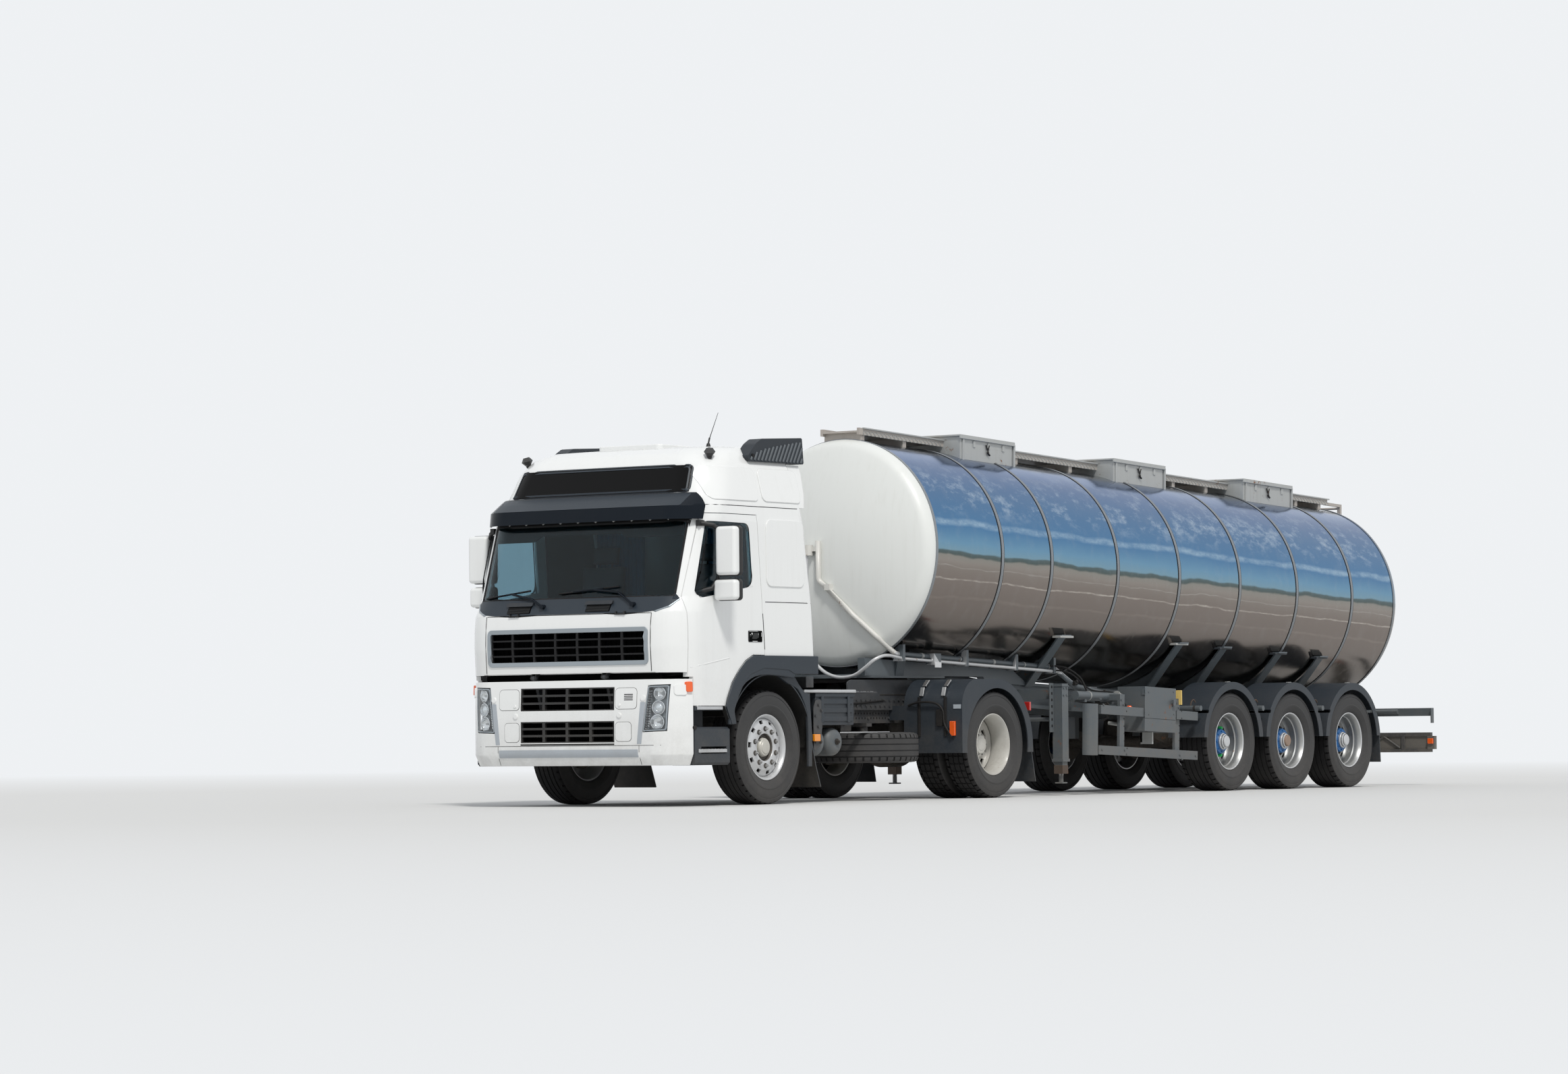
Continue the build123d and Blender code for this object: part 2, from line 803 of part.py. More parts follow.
def door():
    """The left door as thick as the wall, with its window cut."""
    wall = cab_body(0, cab_door_bottom, 2700) - cab_body(cab_wall, 893, 2700)
    panel = wall & door_region(0)
    panel = panel & block(0, 1400, 600, 1300, 880, 2700)
    window = side_prism(door_window, 900, 1400)
    recess = block(205, 400, 1225, 1300, 1475, 1560)
    handle = block(240, 385, 1222, 1240, 1530, 1548)
    return fused(panel - window - recess, handle)


def door_glass():
    """The left door's pane, set in the window opening."""
    skin = cab_body(12, cab_door_bottom, 2700) - cab_body(12 + glass_thickness, 893, 2700)
    pane = skin & side_prism(inset_window(), 600, 1400)
    return pane


def inset_window():
    """The door window's outline drawn in by the seat gap."""
    mid_x = sum(x for x, z in door_window) / len(door_window)
    mid_z = sum(z for x, z in door_window) / len(door_window)
    return [
        (x - seat_gap * (1 if x > mid_x else -1), z - seat_gap * (1 if z > mid_z else -1))
        for x, z in door_window
    ]


def mirror_set():
    """Left mirrors: main and wide housings on one bent arm."""
    main_head = block(905, 975, 1290, 1522, 2050, 2485)
    main_head = fillet(main_head.edges().filter_by(Axis.X), 45)
    wide_head = block(895, 985, 1265, 1515, 1830, 2012)
    wide_head = fillet(wide_head.edges().filter_by(Axis.X), 40)
    post = rod_z(960, 1300, 15, 1890, 2540)
    foot = block(960, 1005, 1180, 1258, 2495, 2544)
    upper = bar((985, 1225, 2524), (960, 1300, 2524), 16)
    lower = bar((1175, 1245, 1925), (960, 1300, 1925), 18)
    lower_foot = block(1140, 1205, 1228, 1262, 1890, 1965)
    body = fused(main_head, wide_head, post, upper, lower, foot, lower_foot)
    return body - cab_body(-seat_gap, 893, 3200)


def bar(start, end, radius):
    """A round bar between two points."""
    run = tuple(b - a for a, b in zip(start, end))
    length = sqrt(sum(step * step for step in run))
    plane = Plane(origin=start, z_dir=run)
    return plane * Cylinder(radius, length, align=(Align.CENTER, Align.CENTER, Align.MIN))


def hatch_lugs(gap):
    """Lugs on the cab above the front hatch, gap larger all round."""
    return [
        block(
            hatch_hinge_x - 22 - gap, hatch_hinge_x + 6 + gap, y - gap, y + hatch_lug_width + gap,
            hatch_hinge_z - 6 - gap, hatch_hinge_z + 21 + gap,
        )
        for y in hatch_lug_y
    ]


def front_hatch():
    """Front panel below the windscreen with its grille opening."""
    skin = cab_body(0, hatch_bottom, hatch_top) - cab_body(hatch_thickness, 893, 3200)
    panel = skin & cross_region(rectangle(hatch_half_width, hatch_bottom, hatch_top - 3, 0))
    panel = panel - cross_region(rectangle(upper_grille_half, upper_grille_low, upper_grille_high))
    panel = panel - hatch_lugs(3)
    pins = []
    for low_y, high_y in (hatch_lug_y[:2], hatch_lug_y[2:]):
        pin = rod_y(hatch_hinge_x, hatch_hinge_z, hatch_pin_radius, low_y, high_y + hatch_lug_width)
        tab = block(
            hatch_hinge_x - 18, hatch_hinge_x + 3, low_y + hatch_lug_width + 4, high_y - 4,
            hatch_hinge_z - 8, hatch_hinge_z,
        )
        pins += [pin, tab]
    return fused(panel, *pins)


def grille_frame(body, half, low, high, columns, rows, depth, bar_width, slat):
    """A bowed grille: rim, upright bars and slats, from the form of the panel.

    body gives that form drawn in by an inset.
    """
    solid = body(4) - body(4 + depth)
    solid = solid & cross_region(rectangle(half, low, high, -seat_gap))
    cells = []
    pitch_y = 2 * half / columns
    pitch_z = (high - low) / rows
    for column in range(columns):
        for row in range(rows):
            y0 = -half + column * pitch_y + bar_width / 2
            z0 = low + row * pitch_z + slat / 2
            y1 = y0 + pitch_y - bar_width
            z1 = z0 + pitch_z - slat
            cells.append(block(1000, 1700, y0, y1, z0, z1))
    return solid - cells


def upper_grille():
    """Slatted grille of the front hatch."""
    form = lambda inset: cab_body(inset, 1200, 1700)
    return grille_frame(
        form, upper_grille_half, upper_grille_low, upper_grille_high, 7, 4, 24, 26, 16
    )


def bumper_grilles():
    """The two grilles of the bumper."""
    pieces = []
    for half, low, high in bumper_openings:
        solid = grille_frame(bumper_body, half, low, high, 4, 3, 28, 30, 20)
        pieces += solid.solids()
    return Compound(pieces)


def front_bumper():
    """Bumper shell with its grille and headlamp openings."""
    shell = bumper_body(0) - bumper_body(bumper_wall)
    shell = shell & block(bumper_rear_x, 1600, -1300, 1300, 300, 1200)
    for half, low, high in bumper_openings:
        shell = shell - cross_region(rectangle(half, low, high))
    lamp = cross_region(headlamp_outline)
    return shell - lamp - mirrored(lamp)


def tractor_lamps():
    """Headlamps, side turn lamps and tail lamps."""
    lens = bumper_body(1) - bumper_body(34)
    lens = lens & cross_region(grown(headlamp_outline, -seat_gap))
    turn = bumper_body(-24) - bumper_body(-seat_gap)
    turn = turn & block(1242, 1300, 1100, 1400, 1015, 1108)
    tail = block(frame_rear - 40, frame_rear - seat_gap, 345, 425, 770, 960)
    return Compound(
        [solid for piece in (lens, turn, tail) for solid in both_sides(piece).solids()]
    )


def cab_steps():
    """Left step box with its foot slot and the tread below the door."""
    foot_box = block(690, 1216, 960, 1232, 366, 705)
    foot_box = chamfer(foot_box.edges().filter_by(Axis.X), 22)
    slot = block(740, 1120, 1120, 1240, 470, 530)
    back = block(780, 1216, 960, 1000, 690, 884)
    tread = block(800, 1216, 980, 1238, 852, 884)
    arm = block(960, 1060, frame_half_width + seat_gap, 990, 740, 810)
    step = fused(foot_box - slot, back, tread, arm)
    return both_sides(step)


def front_mudguards():
    """Arched liners over the front wheels with rear flaps and brackets."""
    z = tyre_radius
    ring = rod_y(0, z, 664, 700, 1188) - rod_y(0, z, 652, 690, 1200)
    arch = ring & side_prism([(0, z), (900, z + 420), (900, 1300), (-900, 1300), (-900, z - 10)],
                             600, 1300)
    tail = side_prism(
        [(-650, 560), (-663, 560), (-722, 350), (-802, 150), (-790, 146), (-710, 350)],
        700,
        1188,
    )
    bracket = block(-585, -535, frame_half_width + seat_gap, 720, 870, 930)
    return both_sides(fused(arch, tail, bracket))


def guard_outline(radius):
    """Side view of a drive mudguard: upright front, round corner and rear arc."""
    front = drive_x + radius
    corner = radius * 0.42
    top = tyre_radius + radius
    bend = corner * (1 - sqrt(0.5))
    rear_mid = radius * sqrt(0.5)
    edges = [
        Line((front, guard_front_bottom), (front, top - corner)),
        ThreePointArc(
            (front, top - corner), (front - bend, top - bend), (front - corner, top)
        ),
        Line((front - corner, top), (drive_x, top)),
        ThreePointArc(
            (drive_x, top),
            (drive_x - rear_mid, tyre_radius + rear_mid),
            (drive_x - radius, tyre_radius),
        ),
        Line((drive_x - radius, tyre_radius), (drive_x - radius - 8, guard_front_bottom)),
        Line((drive_x - radius - 8, guard_front_bottom), (front, guard_front_bottom)),
    ]
    return make_face(Wire(edges))


def drive_mudguards():
    """Mudguards over the twin wheels with lips, flaps and brackets."""
    outer = guard_outline(guard_radius)
    inner = guard_outline(guard_radius - 12)
    plane = Plane(origin=(0, guard_out, 0), x_dir=(1, 0, 0), z_dir=(0, -1, 0))
    cover = extrude(plane * outer, guard_out - guard_in) - extrude(plane * inner, guard_out - guard_in)
    lip = extrude(plane * outer, 12) - rod_y(drive_x, tyre_radius, guard_lip_radius, 1200, 1300)
    below = block(drive_x - 900, drive_x + 900, 500, 1400, 0, guard_front_bottom + 5)
    cover = fused(cover, lip) - below
    back = drive_x - guard_radius
    flap = side_prism(
        [(back - 8, 470), (back + 4, 470), (back - 70, 150), (back - 82, 150)], 640, 1250
    )
    front_plate = block(
        drive_x + guard_radius - 12, drive_x + guard_radius,
        frame_half_width + seat_gap, guard_in + 5, 760, 900,
    )
    rear_stay = rod_y(drive_x - 583, 745, 18, frame_half_width + seat_gap, guard_in + 40)
    return both_sides(fused(cover, flap, front_plate, rear_stay))


def roof_front_panel():
    """Dark panel across the front of the roof, above the visor."""
    skin = cab_body(-12, 2700, 3200) - cab_body(-seat_gap, 2600, 3262)
    return skin & cross_region([(-1000, 2812), (1000, 2812), (960, 3055), (-960, 3055)])


def visor_body(inset):
    """The visor's form, drawn in by inset."""
    levels = [
        Pos(0, 0, z)
        * plan_outline(front - inset, half - inset, 300 + inset, cab_corner_radius - inset)
        for z, front, half in visor_sections
    ]
    return loft(levels, ruled=True)


def sun_visor():
    """Visor shell that stands off the top of the windscreen."""
    shell = visor_body(0) - visor_body(10)
    shell = shell & side_prism([*visor_rear_edge, (1500, 2900), (1500, 2550)], -1400, 1400)
    tabs = [
        block(1000, 1180, side * 700 - 20, side * 700 + 20, 2700, 2712) for side in (-1, 1)
    ]
    return fused(shell, *tabs) - cab_body(-seat_gap, 2400, 3262)


def windscreen():
    """Bowed windscreen set in its opening."""
    skin = cab_body(4, 1800, 2600) - cab_body(4 + glass_thickness, 1700, 2700)
    return skin & cross_region(grown(windscreen_outline, -seat_gap))


def cab_cowl():
    """Dark strip below the windscreen with both wipers."""
    strip = cab_body(-6, 1726, 1862) - cab_body(-seat_gap, 1600, 2000)
    strip = strip & cross_region(rectangle(1060, 1726, 1862))
    wipers = []
    for pivot_y, blade_y in wiper_spans:
        hub = rod_x(pivot_y, 1800, 18, 1400, 1460)
        elbow = (1408, blade_y + 260, 1905)
        arm = bar((1450, pivot_y, 1800), elbow, 9)
        blade = bar((1400, blade_y, 1925), (1404, blade_y + 560, 1893), 9)
        wipers += [hub, arm, blade]
    return fused(strip, *wipers) - cab_body(-seat_gap, 1600, 2700) - hatch_lugs(seat_gap)


def arch_trims():
    """Dark trims over the front wheel arches."""
    trim = side_prism(arch_outline, 1245 + seat_gap, 1264)
    return both_sides(trim)


def roof_deflectors():
    """Side air deflectors at the back of the roof."""
    fin = side_prism(
        [(232, 3105), (262, 3150), (130, 3270), (40, 3318), (-600, 3352), (-625, 3110)], 1010, 1150
    )
    fin = chamfer(fin.edges().filter_by(Axis.Y), 12)
    return both_sides(fin - cab_body(-seat_gap, 2900, 3262))


def dashboard():
    """Dashboard with the steering column and wheel on the left."""
    block_form = side_prism(
        [(1365, 1236), (1365, 1700), (1230, 1760), (980, 1690), (930, 1450), (1060, 1236)],
        -1088,
        1088,
    )
    desk = block_form & cab_body(cab_wall + seat_gap, cab_floor_top + seat_gap, 1800)
    column = bar((1050, steering_y, 1520), (812, steering_y, 1715), 32)
    tilt = Plane(origin=(815, steering_y, 1712), z_dir=(-220, 0, 180))
    rim_ring = plane_ring(tilt, 225, 16)
    spokes = tilt * Box(450, 44, 14)
    spokes = spokes + tilt * Box(44, 450, 14)
    return fused(desk, column, rim_ring, spokes)


def plane_ring(plane, radius, tube):
    """A ring of round section on a plane."""
    return plane * Torus(radius, tube)


def seats():
    """Two seats on their boxes."""
    outline = [
        (200, cab_floor_top + seat_gap), (540, cab_floor_top + seat_gap), (560, 1480),
        (620, 1510), (610, 1600), (240, 1590), (115, 2200), (90, 2390), (0, 2370),
        (15, 2170), (100, 1520), (190, 1480),
    ]
    return both_sides(side_prism(outline, 380, 860))


def bunk():
    """Bunk along the rear wall."""
    base = block(-640, -80, -1190, 1190, cab_floor_top + seat_gap, 1680)
    mattress = block(-630, -60, -1150, 1150, 1680, 1790)
    return fused(base, mattress) & cab_body(cab_wall + seat_gap, 1200, 3000)


def axis_z(x):
    """Height of the tank's axis above the ground at x."""
    return tank_axis_z + (x - tank_axis_x) * tan(radians(tank_slope))


def on_tank(shape, depth=0):
    """Places a piece drawn about the tank's own axis.

    Its x is true on the ground at that depth below the axis.
    """
    shift = -depth * sin(radians(tank_slope)) - tank_axis_x
    seat = Pos(tank_axis_x, 0, tank_axis_z) * Rot(0, -tank_slope, 0) * Pos(shift, 0, 0)
    return seat * shape


def head_points(rim_x, direction):
    """Crown end and tip of a dished head, from its rim."""
    turn = asin(knuckle_start / crown_radius)
    knuckle = (tank_radius - knuckle_start) / (1 - sin(turn))
    crown_x = rim_x + direction * knuckle * cos(turn)
    tip = crown_x + direction * crown_radius * (1 - cos(turn))
    half_turn = asin(knuckle_start / crown_radius / 2)
    mid = (
        tip - direction * crown_radius * (1 - cos(half_turn)),
        crown_radius * sin(half_turn),
    )
    knuckle_turn = (turn + radians(90)) / 2
    knuckle_mid = (
        rim_x + direction * knuckle * cos(knuckle_turn),
        tank_radius - knuckle + knuckle * sin(knuckle_turn),
    )
    return crown_x, tip, mid, knuckle_mid


def tank(gap=0):
    """Round shell with dished heads, rims and seam bands, gap larger all round."""
    crown_f, tip_f, mid_f, knee_f = head_points(tank_front_rim + gap, 1)
    crown_r, tip_r, mid_r, knee_r = head_points(tank_rear_rim - gap, -1)
    edges = [
        Line((tip_r, 0), (tip_f, 0)),
        ThreePointArc((tip_f, 0), mid_f, (crown_f, knuckle_start)),
        ThreePointArc((crown_f, knuckle_start), knee_f, (tank_front_rim, tank_radius)),
        Line((tank_front_rim, tank_radius), (tank_rear_rim, tank_radius)),
        ThreePointArc((tank_rear_rim, tank_radius), knee_r, (crown_r, knuckle_start)),
        ThreePointArc((crown_r, knuckle_start), mid_r, (tip_r, 0)),
    ]
    shell = revolve(make_face(Wire(edges)), Axis.X, 360)
    if gap:
        shell = shell + rod_x(0, 0, tank_radius + gap, tank_rear_rim, tank_front_rim)
    half_band = band_width / 2 + gap
    bands = [
        rod_x(0, 0, tank_radius + band_height + gap, x - half_band, x + half_band)
        for x in band_positions + [tank_front_rim - 30, tank_rear_rim + 30]
    ]
    return on_tank(fused(shell, *bands))


def trailer_frame():
    """Main rails with gooseneck, saddles, cross members and coupling plate."""
    level = lambda x, below: axis_z(x) - below
    under = fifth_wheel_top + coupling_gap + coupling_plate
    rail = side_prism(
        [
            (neck_front, under), (neck_front, level(neck_front, neck_top)),
            (neck_rear - 550, level(neck_rear - 550, neck_top)),
            (neck_rear - 800, level(neck_rear - 800, rail_top)),
            (rail_rear, level(rail_rear, rail_top)), (rail_rear, level(rail_rear, rail_bottom) + 60),
            (rail_rear + 400, level(rail_rear + 400, rail_bottom)),
            (rail_front, level(rail_front, rail_bottom)), (neck_rear, under),
        ],
        rail_y - rail_width / 2,
        rail_y + rail_width / 2,
    )
    outer_pocket = side_prism(
        [
            (rail_front - 60, level(rail_front, rail_top + 30)),
            (rail_rear + 100, level(rail_rear + 100, rail_top + 30)),
            (rail_rear + 100, level(rail_rear + 100, rail_bottom - 80)),
            (rail_front - 60, level(rail_front - 60, rail_bottom - 30)),
        ],
        rail_y + rail_width / 2 - 30,
        rail_y + rail_width,
    )
    rail = rail - outer_pocket
    plate = block(neck_front - 20, kingpin_x - 760, -520, 520, fifth_wheel_top + coupling_gap, under)
    plate = fillet(plate.edges().filter_by(Axis.Z).group_by(Axis.X)[-1], 200)
    pin = rod_z(kingpin_x, 0, kingpin_radius, fifth_wheel_top - 80, under)
    members = [
        block(x - 40, x + 40, -rail_y, rail_y, level(x, rail_bottom - 60), level(x, rail_top + 20))
        for x in trailer_members
    ]
    neck_members = [
        block(x - 40, x + 40, -rail_y, rail_y, under - 5, under + 18) for x in (-2700, -3700, -4500)
    ]
    tank_room = on_tank(rod_x(0, 0, tank_radius + band_height + seat_gap, -12900, -2000))
    saddles = [saddle(x, reach) - tank_room for x, reach in saddle_rows]
    hangers = [
        block(x + 430, x + 510, side * 405, side * 485, 560, level(x + 470, rail_bottom - 20))
        for x in trailer_axle_x
        for side in (-1, 1)
    ]
    guard_stays = [
        rod_y(x + step, guard_stay_z, 20, side * 440, side * (trailer_guard_in + 25))
        for x in trailer_axle_x
        for step in (-535, 535)
        for side in (-1, 1)
    ]
    whole = fused(rail, mirrored(rail), plate, pin, *members, *neck_members, *saddles, *hangers)
    pipe_room = on_tank(
        fused(
            rod_x(pipe_y, -pipe_depth, pipe_radius + 6, -5650, -5350),
            rod_x(lower_pipe_y, -lower_pipe_depth, lower_pipe_radius + 6, -5650, -5350),
        ),
        pipe_depth,
    )
    return fused(whole, *guard_stays) - pipe_room


def saddle(x, reach):
    """Cradle plates from the rails up to the tank, with outer flanges and caps."""
    low = axis_z(x) - rail_top
    high = axis_z(x) - sqrt(tank_radius**2 - (reach - 60) ** 2) + 20
    web = cross_prism([(-485, low - 40), (485, low - 40), (reach, high), (-reach, high)], x - 8, x + 8)
    flanges = []
    for side in (-1, 1):
        flange = cross_prism(
            [
                (side * 470, low - 40), (side * 492, low - 40),
                (side * (reach + 6), high), (side * (reach - 16), high),
            ],
            x - 70,
            x + 70,
        )
        cap = block(x - 90, x + 90, side * (reach - 70), side * (reach + 50), high, high + 14)
        flanges += [flange, cap]
    return fused(web, *flanges)


def trailer_axles():
    """Three axles with drums, trailing arms and air bellows."""
    axles = []
    for x in trailer_axle_x:
        z = tyre_radius
        tube = rod_y(x, z, 64, -trailer_hub_in + 40, trailer_hub_in - 40)
        parts = []
        for side in (-1, 1):
            drum = rod_y(x, z, 180, side * 760, side * (trailer_hub_in - hub_gap))
            spindle = rod_y(x, z, spindle_radius, side * 760, side * trailer_spindle_end)
            arm = side_prism(
                [
                    (x + 429.7, 575), (x + 429.7, 640), (x, z + 90), (x - 430, z + 40),
                    (x - 430, z - 30), (x, z - 50),
                ],
                side * 445 - 35,
                side * 445 + 35,
            )
            bellow_x = x - 340
            top = axis_z(bellow_x - 95) - rail_bottom - seat_gap
            bellow = rod_z(bellow_x, side * 445, 95, z, top)
            parts += [drum, spindle, arm, bellow]
        axles.append(fused(tube, *parts))
    return Compound(axles)


def trailer_mudguards():
    """Six round mudguards with outer lips, and the rear flaps."""
    pieces = []
    for x in trailer_axle_x:
        z = tyre_radius
        radius = trailer_guard_radius
        ring = rod_y(x, z, radius, trailer_guard_in, trailer_guard_out)
        ring = ring - rod_y(x, z, radius - 12, 600, 1300)
        lip = rod_y(x, z, radius, trailer_guard_out - 10, trailer_guard_out)
        lip = lip - rod_y(x, z, trailer_lip_radius, 600, 1300)
        below = block(x - 900, x + 900, 500, 1400, -200, trailer_guard_bottom)
        guard = fused(ring, lip) - below
        for step in (-535, 535):
            guard = guard - rod_y(x + step, guard_stay_z, 20 + seat_gap, 600, 1300)
        if x == trailer_axle_x[-1]:
            back = x - radius
            guard = fused(
                guard,
                side_prism(
                    [(back, 590), (back + 12, 590), (back - 10, 270), (back - 22, 270)],
                    trailer_guard_in + 20,
                    trailer_guard_out - 10,
                ),
            )
        pieces += both_sides(guard).solids()
    return Compound(pieces)


def landing_legs():
    """Two square legs with feet, stays to the rails and a cross shaft."""
    legs = []
    x = leg_x
    for side in (-1, 1):
        y = side * leg_y
        post = block(x - 58, x + 58, y - 58, y + 58, 335, 1115)
        collar = block(x - 66, x + 66, y - 66, y + 66, 335, 365)
        inner = block(x - 48, x + 48, y - 48, y + 48, 215, 340)
        foot = plan_prism([(x - 45, y - 45), (x + 45, y - 45), (x + 45, y + 45), (x - 45, y + 45)], 118, 132)
        neck = rod_z(x, y, 22, 125, 220)
        rail_side = side * (rail_y + rail_width / 2 - 30 + seat_gap)
        arm = block(x - 45, x + 45, rail_side, y, 960, 1060)
        legs += [post, collar, inner, foot, neck, arm]
    shaft = rod_y(x, 760, 20, -leg_y, leg_y)
    return fused(shaft, *legs)


def side_guards():
    """Rails along each side between the landing legs and the wheels."""
    rows = [
        (-5740, -6570, guard_upper_top),
        (-7235, -7665, guard_upper_top),
        (-5700, -7665, guard_lower_top),
    ]
    rails = [
        block(x1, x0, guard_y - 32, guard_y, -top - guard_rail_height, -top)
        for x0, x1, top in rows
    ]
    nose = rod_z(-5655, guard_y - 95, 95, -guard_lower_top - 100, -guard_upper_top + 8)
    nose = nose & block(-5760, -5540, guard_y - 110, guard_y + 10, -3000, 0)
    stay_in = rail_y + rail_width / 2 - 30 + seat_gap
    stays = []
    for x in (-6200, -7300):
        upright = block(
            x - 45, x + 45, guard_y - 64, guard_y - 32, -guard_lower_top - 85, -rail_bottom + 155
        )
        beam = block(x - 45, x + 45, stay_in, guard_y - 32, -rail_bottom + 95, -rail_bottom + 155)
        stays += [upright, beam]
    return both_sides(on_tank(fused(rails[0], nose, rails[2], *stays, rails[1]), guard_upper_top))


def valve_cabinet():
    """Cabinet on the left side of the trailer, open where its door closes it."""
    x0, x1 = cabinet_x
    shell = block(x0, x1, cabinet_in, cabinet_out - door_plate - 1, -cabinet_bottom, -cabinet_top)
    hollow = block(
        x0 + sheet, x1 - sheet, cabinet_in + sheet, cabinet_out, -cabinet_split, -cabinet_top - sheet
    )
    bracket = block(x0 + 150, x1 - 150, rail_y + rail_width / 2 - 30 + seat_gap, cabinet_in + 5,
                    -rail_bottom + 95, -rail_bottom + 180)
    lugs = []
    for z in cabinet_hinge_z:
        ear = block(x1 + 1, x1 + 8, cabinet_out - 35, cabinet_out + 4, z, z + 70)
        ear = fused(ear, block(x1 - 4, x1 + 8, cabinet_out - 35, cabinet_out - 18, z, z + 70))
        knuckle_room = rod_z(x1 + 2, cabinet_out + 4, 8, z + 18, z + 52)
        pin = rod_z(x1 + 2, cabinet_out + 4, 3, z, z + 70)
        collars = rod_z(x1 + 2, cabinet_out + 4, 4.5, z, z + 70)
        lugs.append(fused(fused(ear, collars) - knuckle_room, pin))
    lower_face = block(x0, x1, cabinet_out - door_plate - 2, cabinet_out, -cabinet_bottom, -cabinet_split - 4)
    wheel = rod_y((x0 + x1) / 2, -cabinet_top - 180, 70, cabinet_in + 60, cabinet_in + 80)
    stem = rod_y((x0 + x1) / 2, -cabinet_top - 180, 16, cabinet_in, cabinet_in + 70)
    body = fused(shell - hollow, bracket, lower_face, stem, wheel, *lugs)
    return on_tank(body, cabinet_top)


def cabinet_door():
    """Flat door of the valve cabinet with its latch."""
    x0, x1 = cabinet_x
    plate = block(x0 + 1, x1 - 1, cabinet_out - door_plate, cabinet_out, -cabinet_split, -cabinet_top)
    latch = block(x0 + 40, x0 + 70, cabinet_out - 2, cabinet_out + 8, -cabinet_top - 190, -cabinet_top - 120)
    knuckles = [
        fused(
            rod_z(x1 + 2, cabinet_out + 4, 6, z + 18.5, z + 51.5),
            block(x1 - 12, x1 + 2, cabinet_out - 2, cabinet_out + 6, z + 18.5, z + 51.5),
        )
        - rod_z(x1 + 2, cabinet_out + 4, 3 + pin_gap, z, z + 70)
        for z in cabinet_hinge_z
    ]
    return on_tank(fused(plate, latch, *knuckles), cabinet_top)


def walkway():
    """Deck along the top of the tank with kerb rails, hatch boxes and the rear ladder."""
    top = tank_radius + deck_rise
    deck = block(deck_rear, deck_front, -deck_half, deck_half, top, top + 18)
    rails = [
        block(deck_rear, deck_front, side * deck_half - 15, side * deck_half + 15, top - 22, top + 44)
        for side in (-1, 1)
    ]
    foot_low = tank_radius + band_height + seat_gap - 30
    feet = [
        block(x - 30, x + 30, -deck_half, deck_half, foot_low, top + 5)
        for x in (deck_front - 80, -3700, -5750, -6800, -8900, -9600, -11600, deck_rear + 160)
    ]
    boxes = []
    rooms = []
    for x0, x1 in hatch_rows:
        outer = block(x1, x0, -hatch_half, hatch_half, 850, box_top)
        inner = block(x1 + sheet, x0 - sheet, -hatch_half + sheet, hatch_half - sheet, 1130, box_top + 5)
        neck = rod_z((x0 + x1) / 2, 0, 250, 900, box_top - 45)
        cover = rod_z((x0 + x1) / 2, 0, 275, box_top - 62, box_top - 30)
        boxes.append(fused(outer - inner, neck, cover))
        rooms.append(block(x1, x0, -hatch_half, hatch_half, 850, box_top + 200))
    whole = fused(fused(deck, *rails, *feet) - rooms, *boxes)
    stiles = [
        block(ladder_x - 20, ladder_x + 20, side * 200 - 18, side * 200 + 18, -1000, top + 10)
        for side in (-1, 1)
    ]
    rungs = [rod_y(ladder_x, -900 + 290 * step, 14, -200, 200) for step in range(8)]
    bridge = [
        block(ladder_x - 20, deck_rear + 5, side * 200 - 18, side * 200 + 18, top - 22, top + 10)
        for side in (-1, 1)
    ]
    ladder = fused(stiles[0], *rungs, stiles[1], *bridge)
    return on_tank(fused(whole, ladder), -tank_radius) - tank(seat_gap)


def hatch_lid(row):
    """Lid of one hatch box, hinged on its right edge."""
    x0, x1 = hatch_rows[row]
    plate = block(
        x1 - lid_over, x0 + lid_over, -hatch_half, hatch_half + lid_over,
        box_top + seat_gap, box_top + lid_thickness,
    )
    lip = block(x1 - lid_over, x0 + lid_over, hatch_half + 6, hatch_half + lid_over,
                box_top - 22, box_top + 5)
    return on_tank(fused(plate, lip), -tank_radius)


def tank_pipes():
    """White pipe down the front head, looped pipe, and both long side pipes."""
    level = lambda x, below: axis_z(x) - below
    main = routed(
        [
            (-2560, -40, 2500), (-2560, -40, 2120), (-2612, 330, 1770), (-2700, 540, 1560),
            (-2900, pipe_y, level(-2900, pipe_depth)), (-5750, pipe_y, level(-5750, pipe_depth)),
            (-6050, 700, level(-6050, 1172)), (-6400, 930, level(-6400, 1256)),
            (-6584.9, 930, level(-6584.9, 1256)),
        ],
        pipe_radius,
        60,
    )
    canister = rod_z(-2536, -150, 52, 2360, 2460)
    bridge = block(-2600, -2540, -190, -30, 2400, 2440)
    lower = lower_pipe_depth
    loop = routed(
        [
            (-2520, -150, 2370), (-2520, -140, 1450), (-2515, -60, 1255), (-2515, 190, 1196),
            (-2520, 420, 1226), (-2560, 560, 1355), (-2700, 650, 1387),
            (-2990, lower_pipe_y, level(-2990, lower)),
            (-5800, lower_pipe_y, level(-5800, lower)),
            (-6020, 690, level(-6020, 1175)), (-6130, 710, level(-6130, 1240)),
        ],
        lower_pipe_radius,
        55,
    )
    box = block(-3590, -3470, 590, 690, level(-3500, 1072), level(-3500, 962))
    clamps = [
        block(x - 20, x + 20, 560, 680, level(x, 1060), level(x, 900))
        for x in (-2960, -4080, -4990, -5700)
    ]
    head_clamp = block(-2720, -2540, 40, 100, 2020, 2080)
    return fused(main, canister, bridge, loop, box, *clamps, head_clamp) - tank(seat_gap)


def routed(points, radius, bend):
    """A pipe along straight runs joined by arcs."""
    path = FilletPolyline(*points, radius=bend)
    start = path @ 0
    section = Plane(origin=start, z_dir=path % 0) * Circle(radius)
    return sweep(section, path=path)


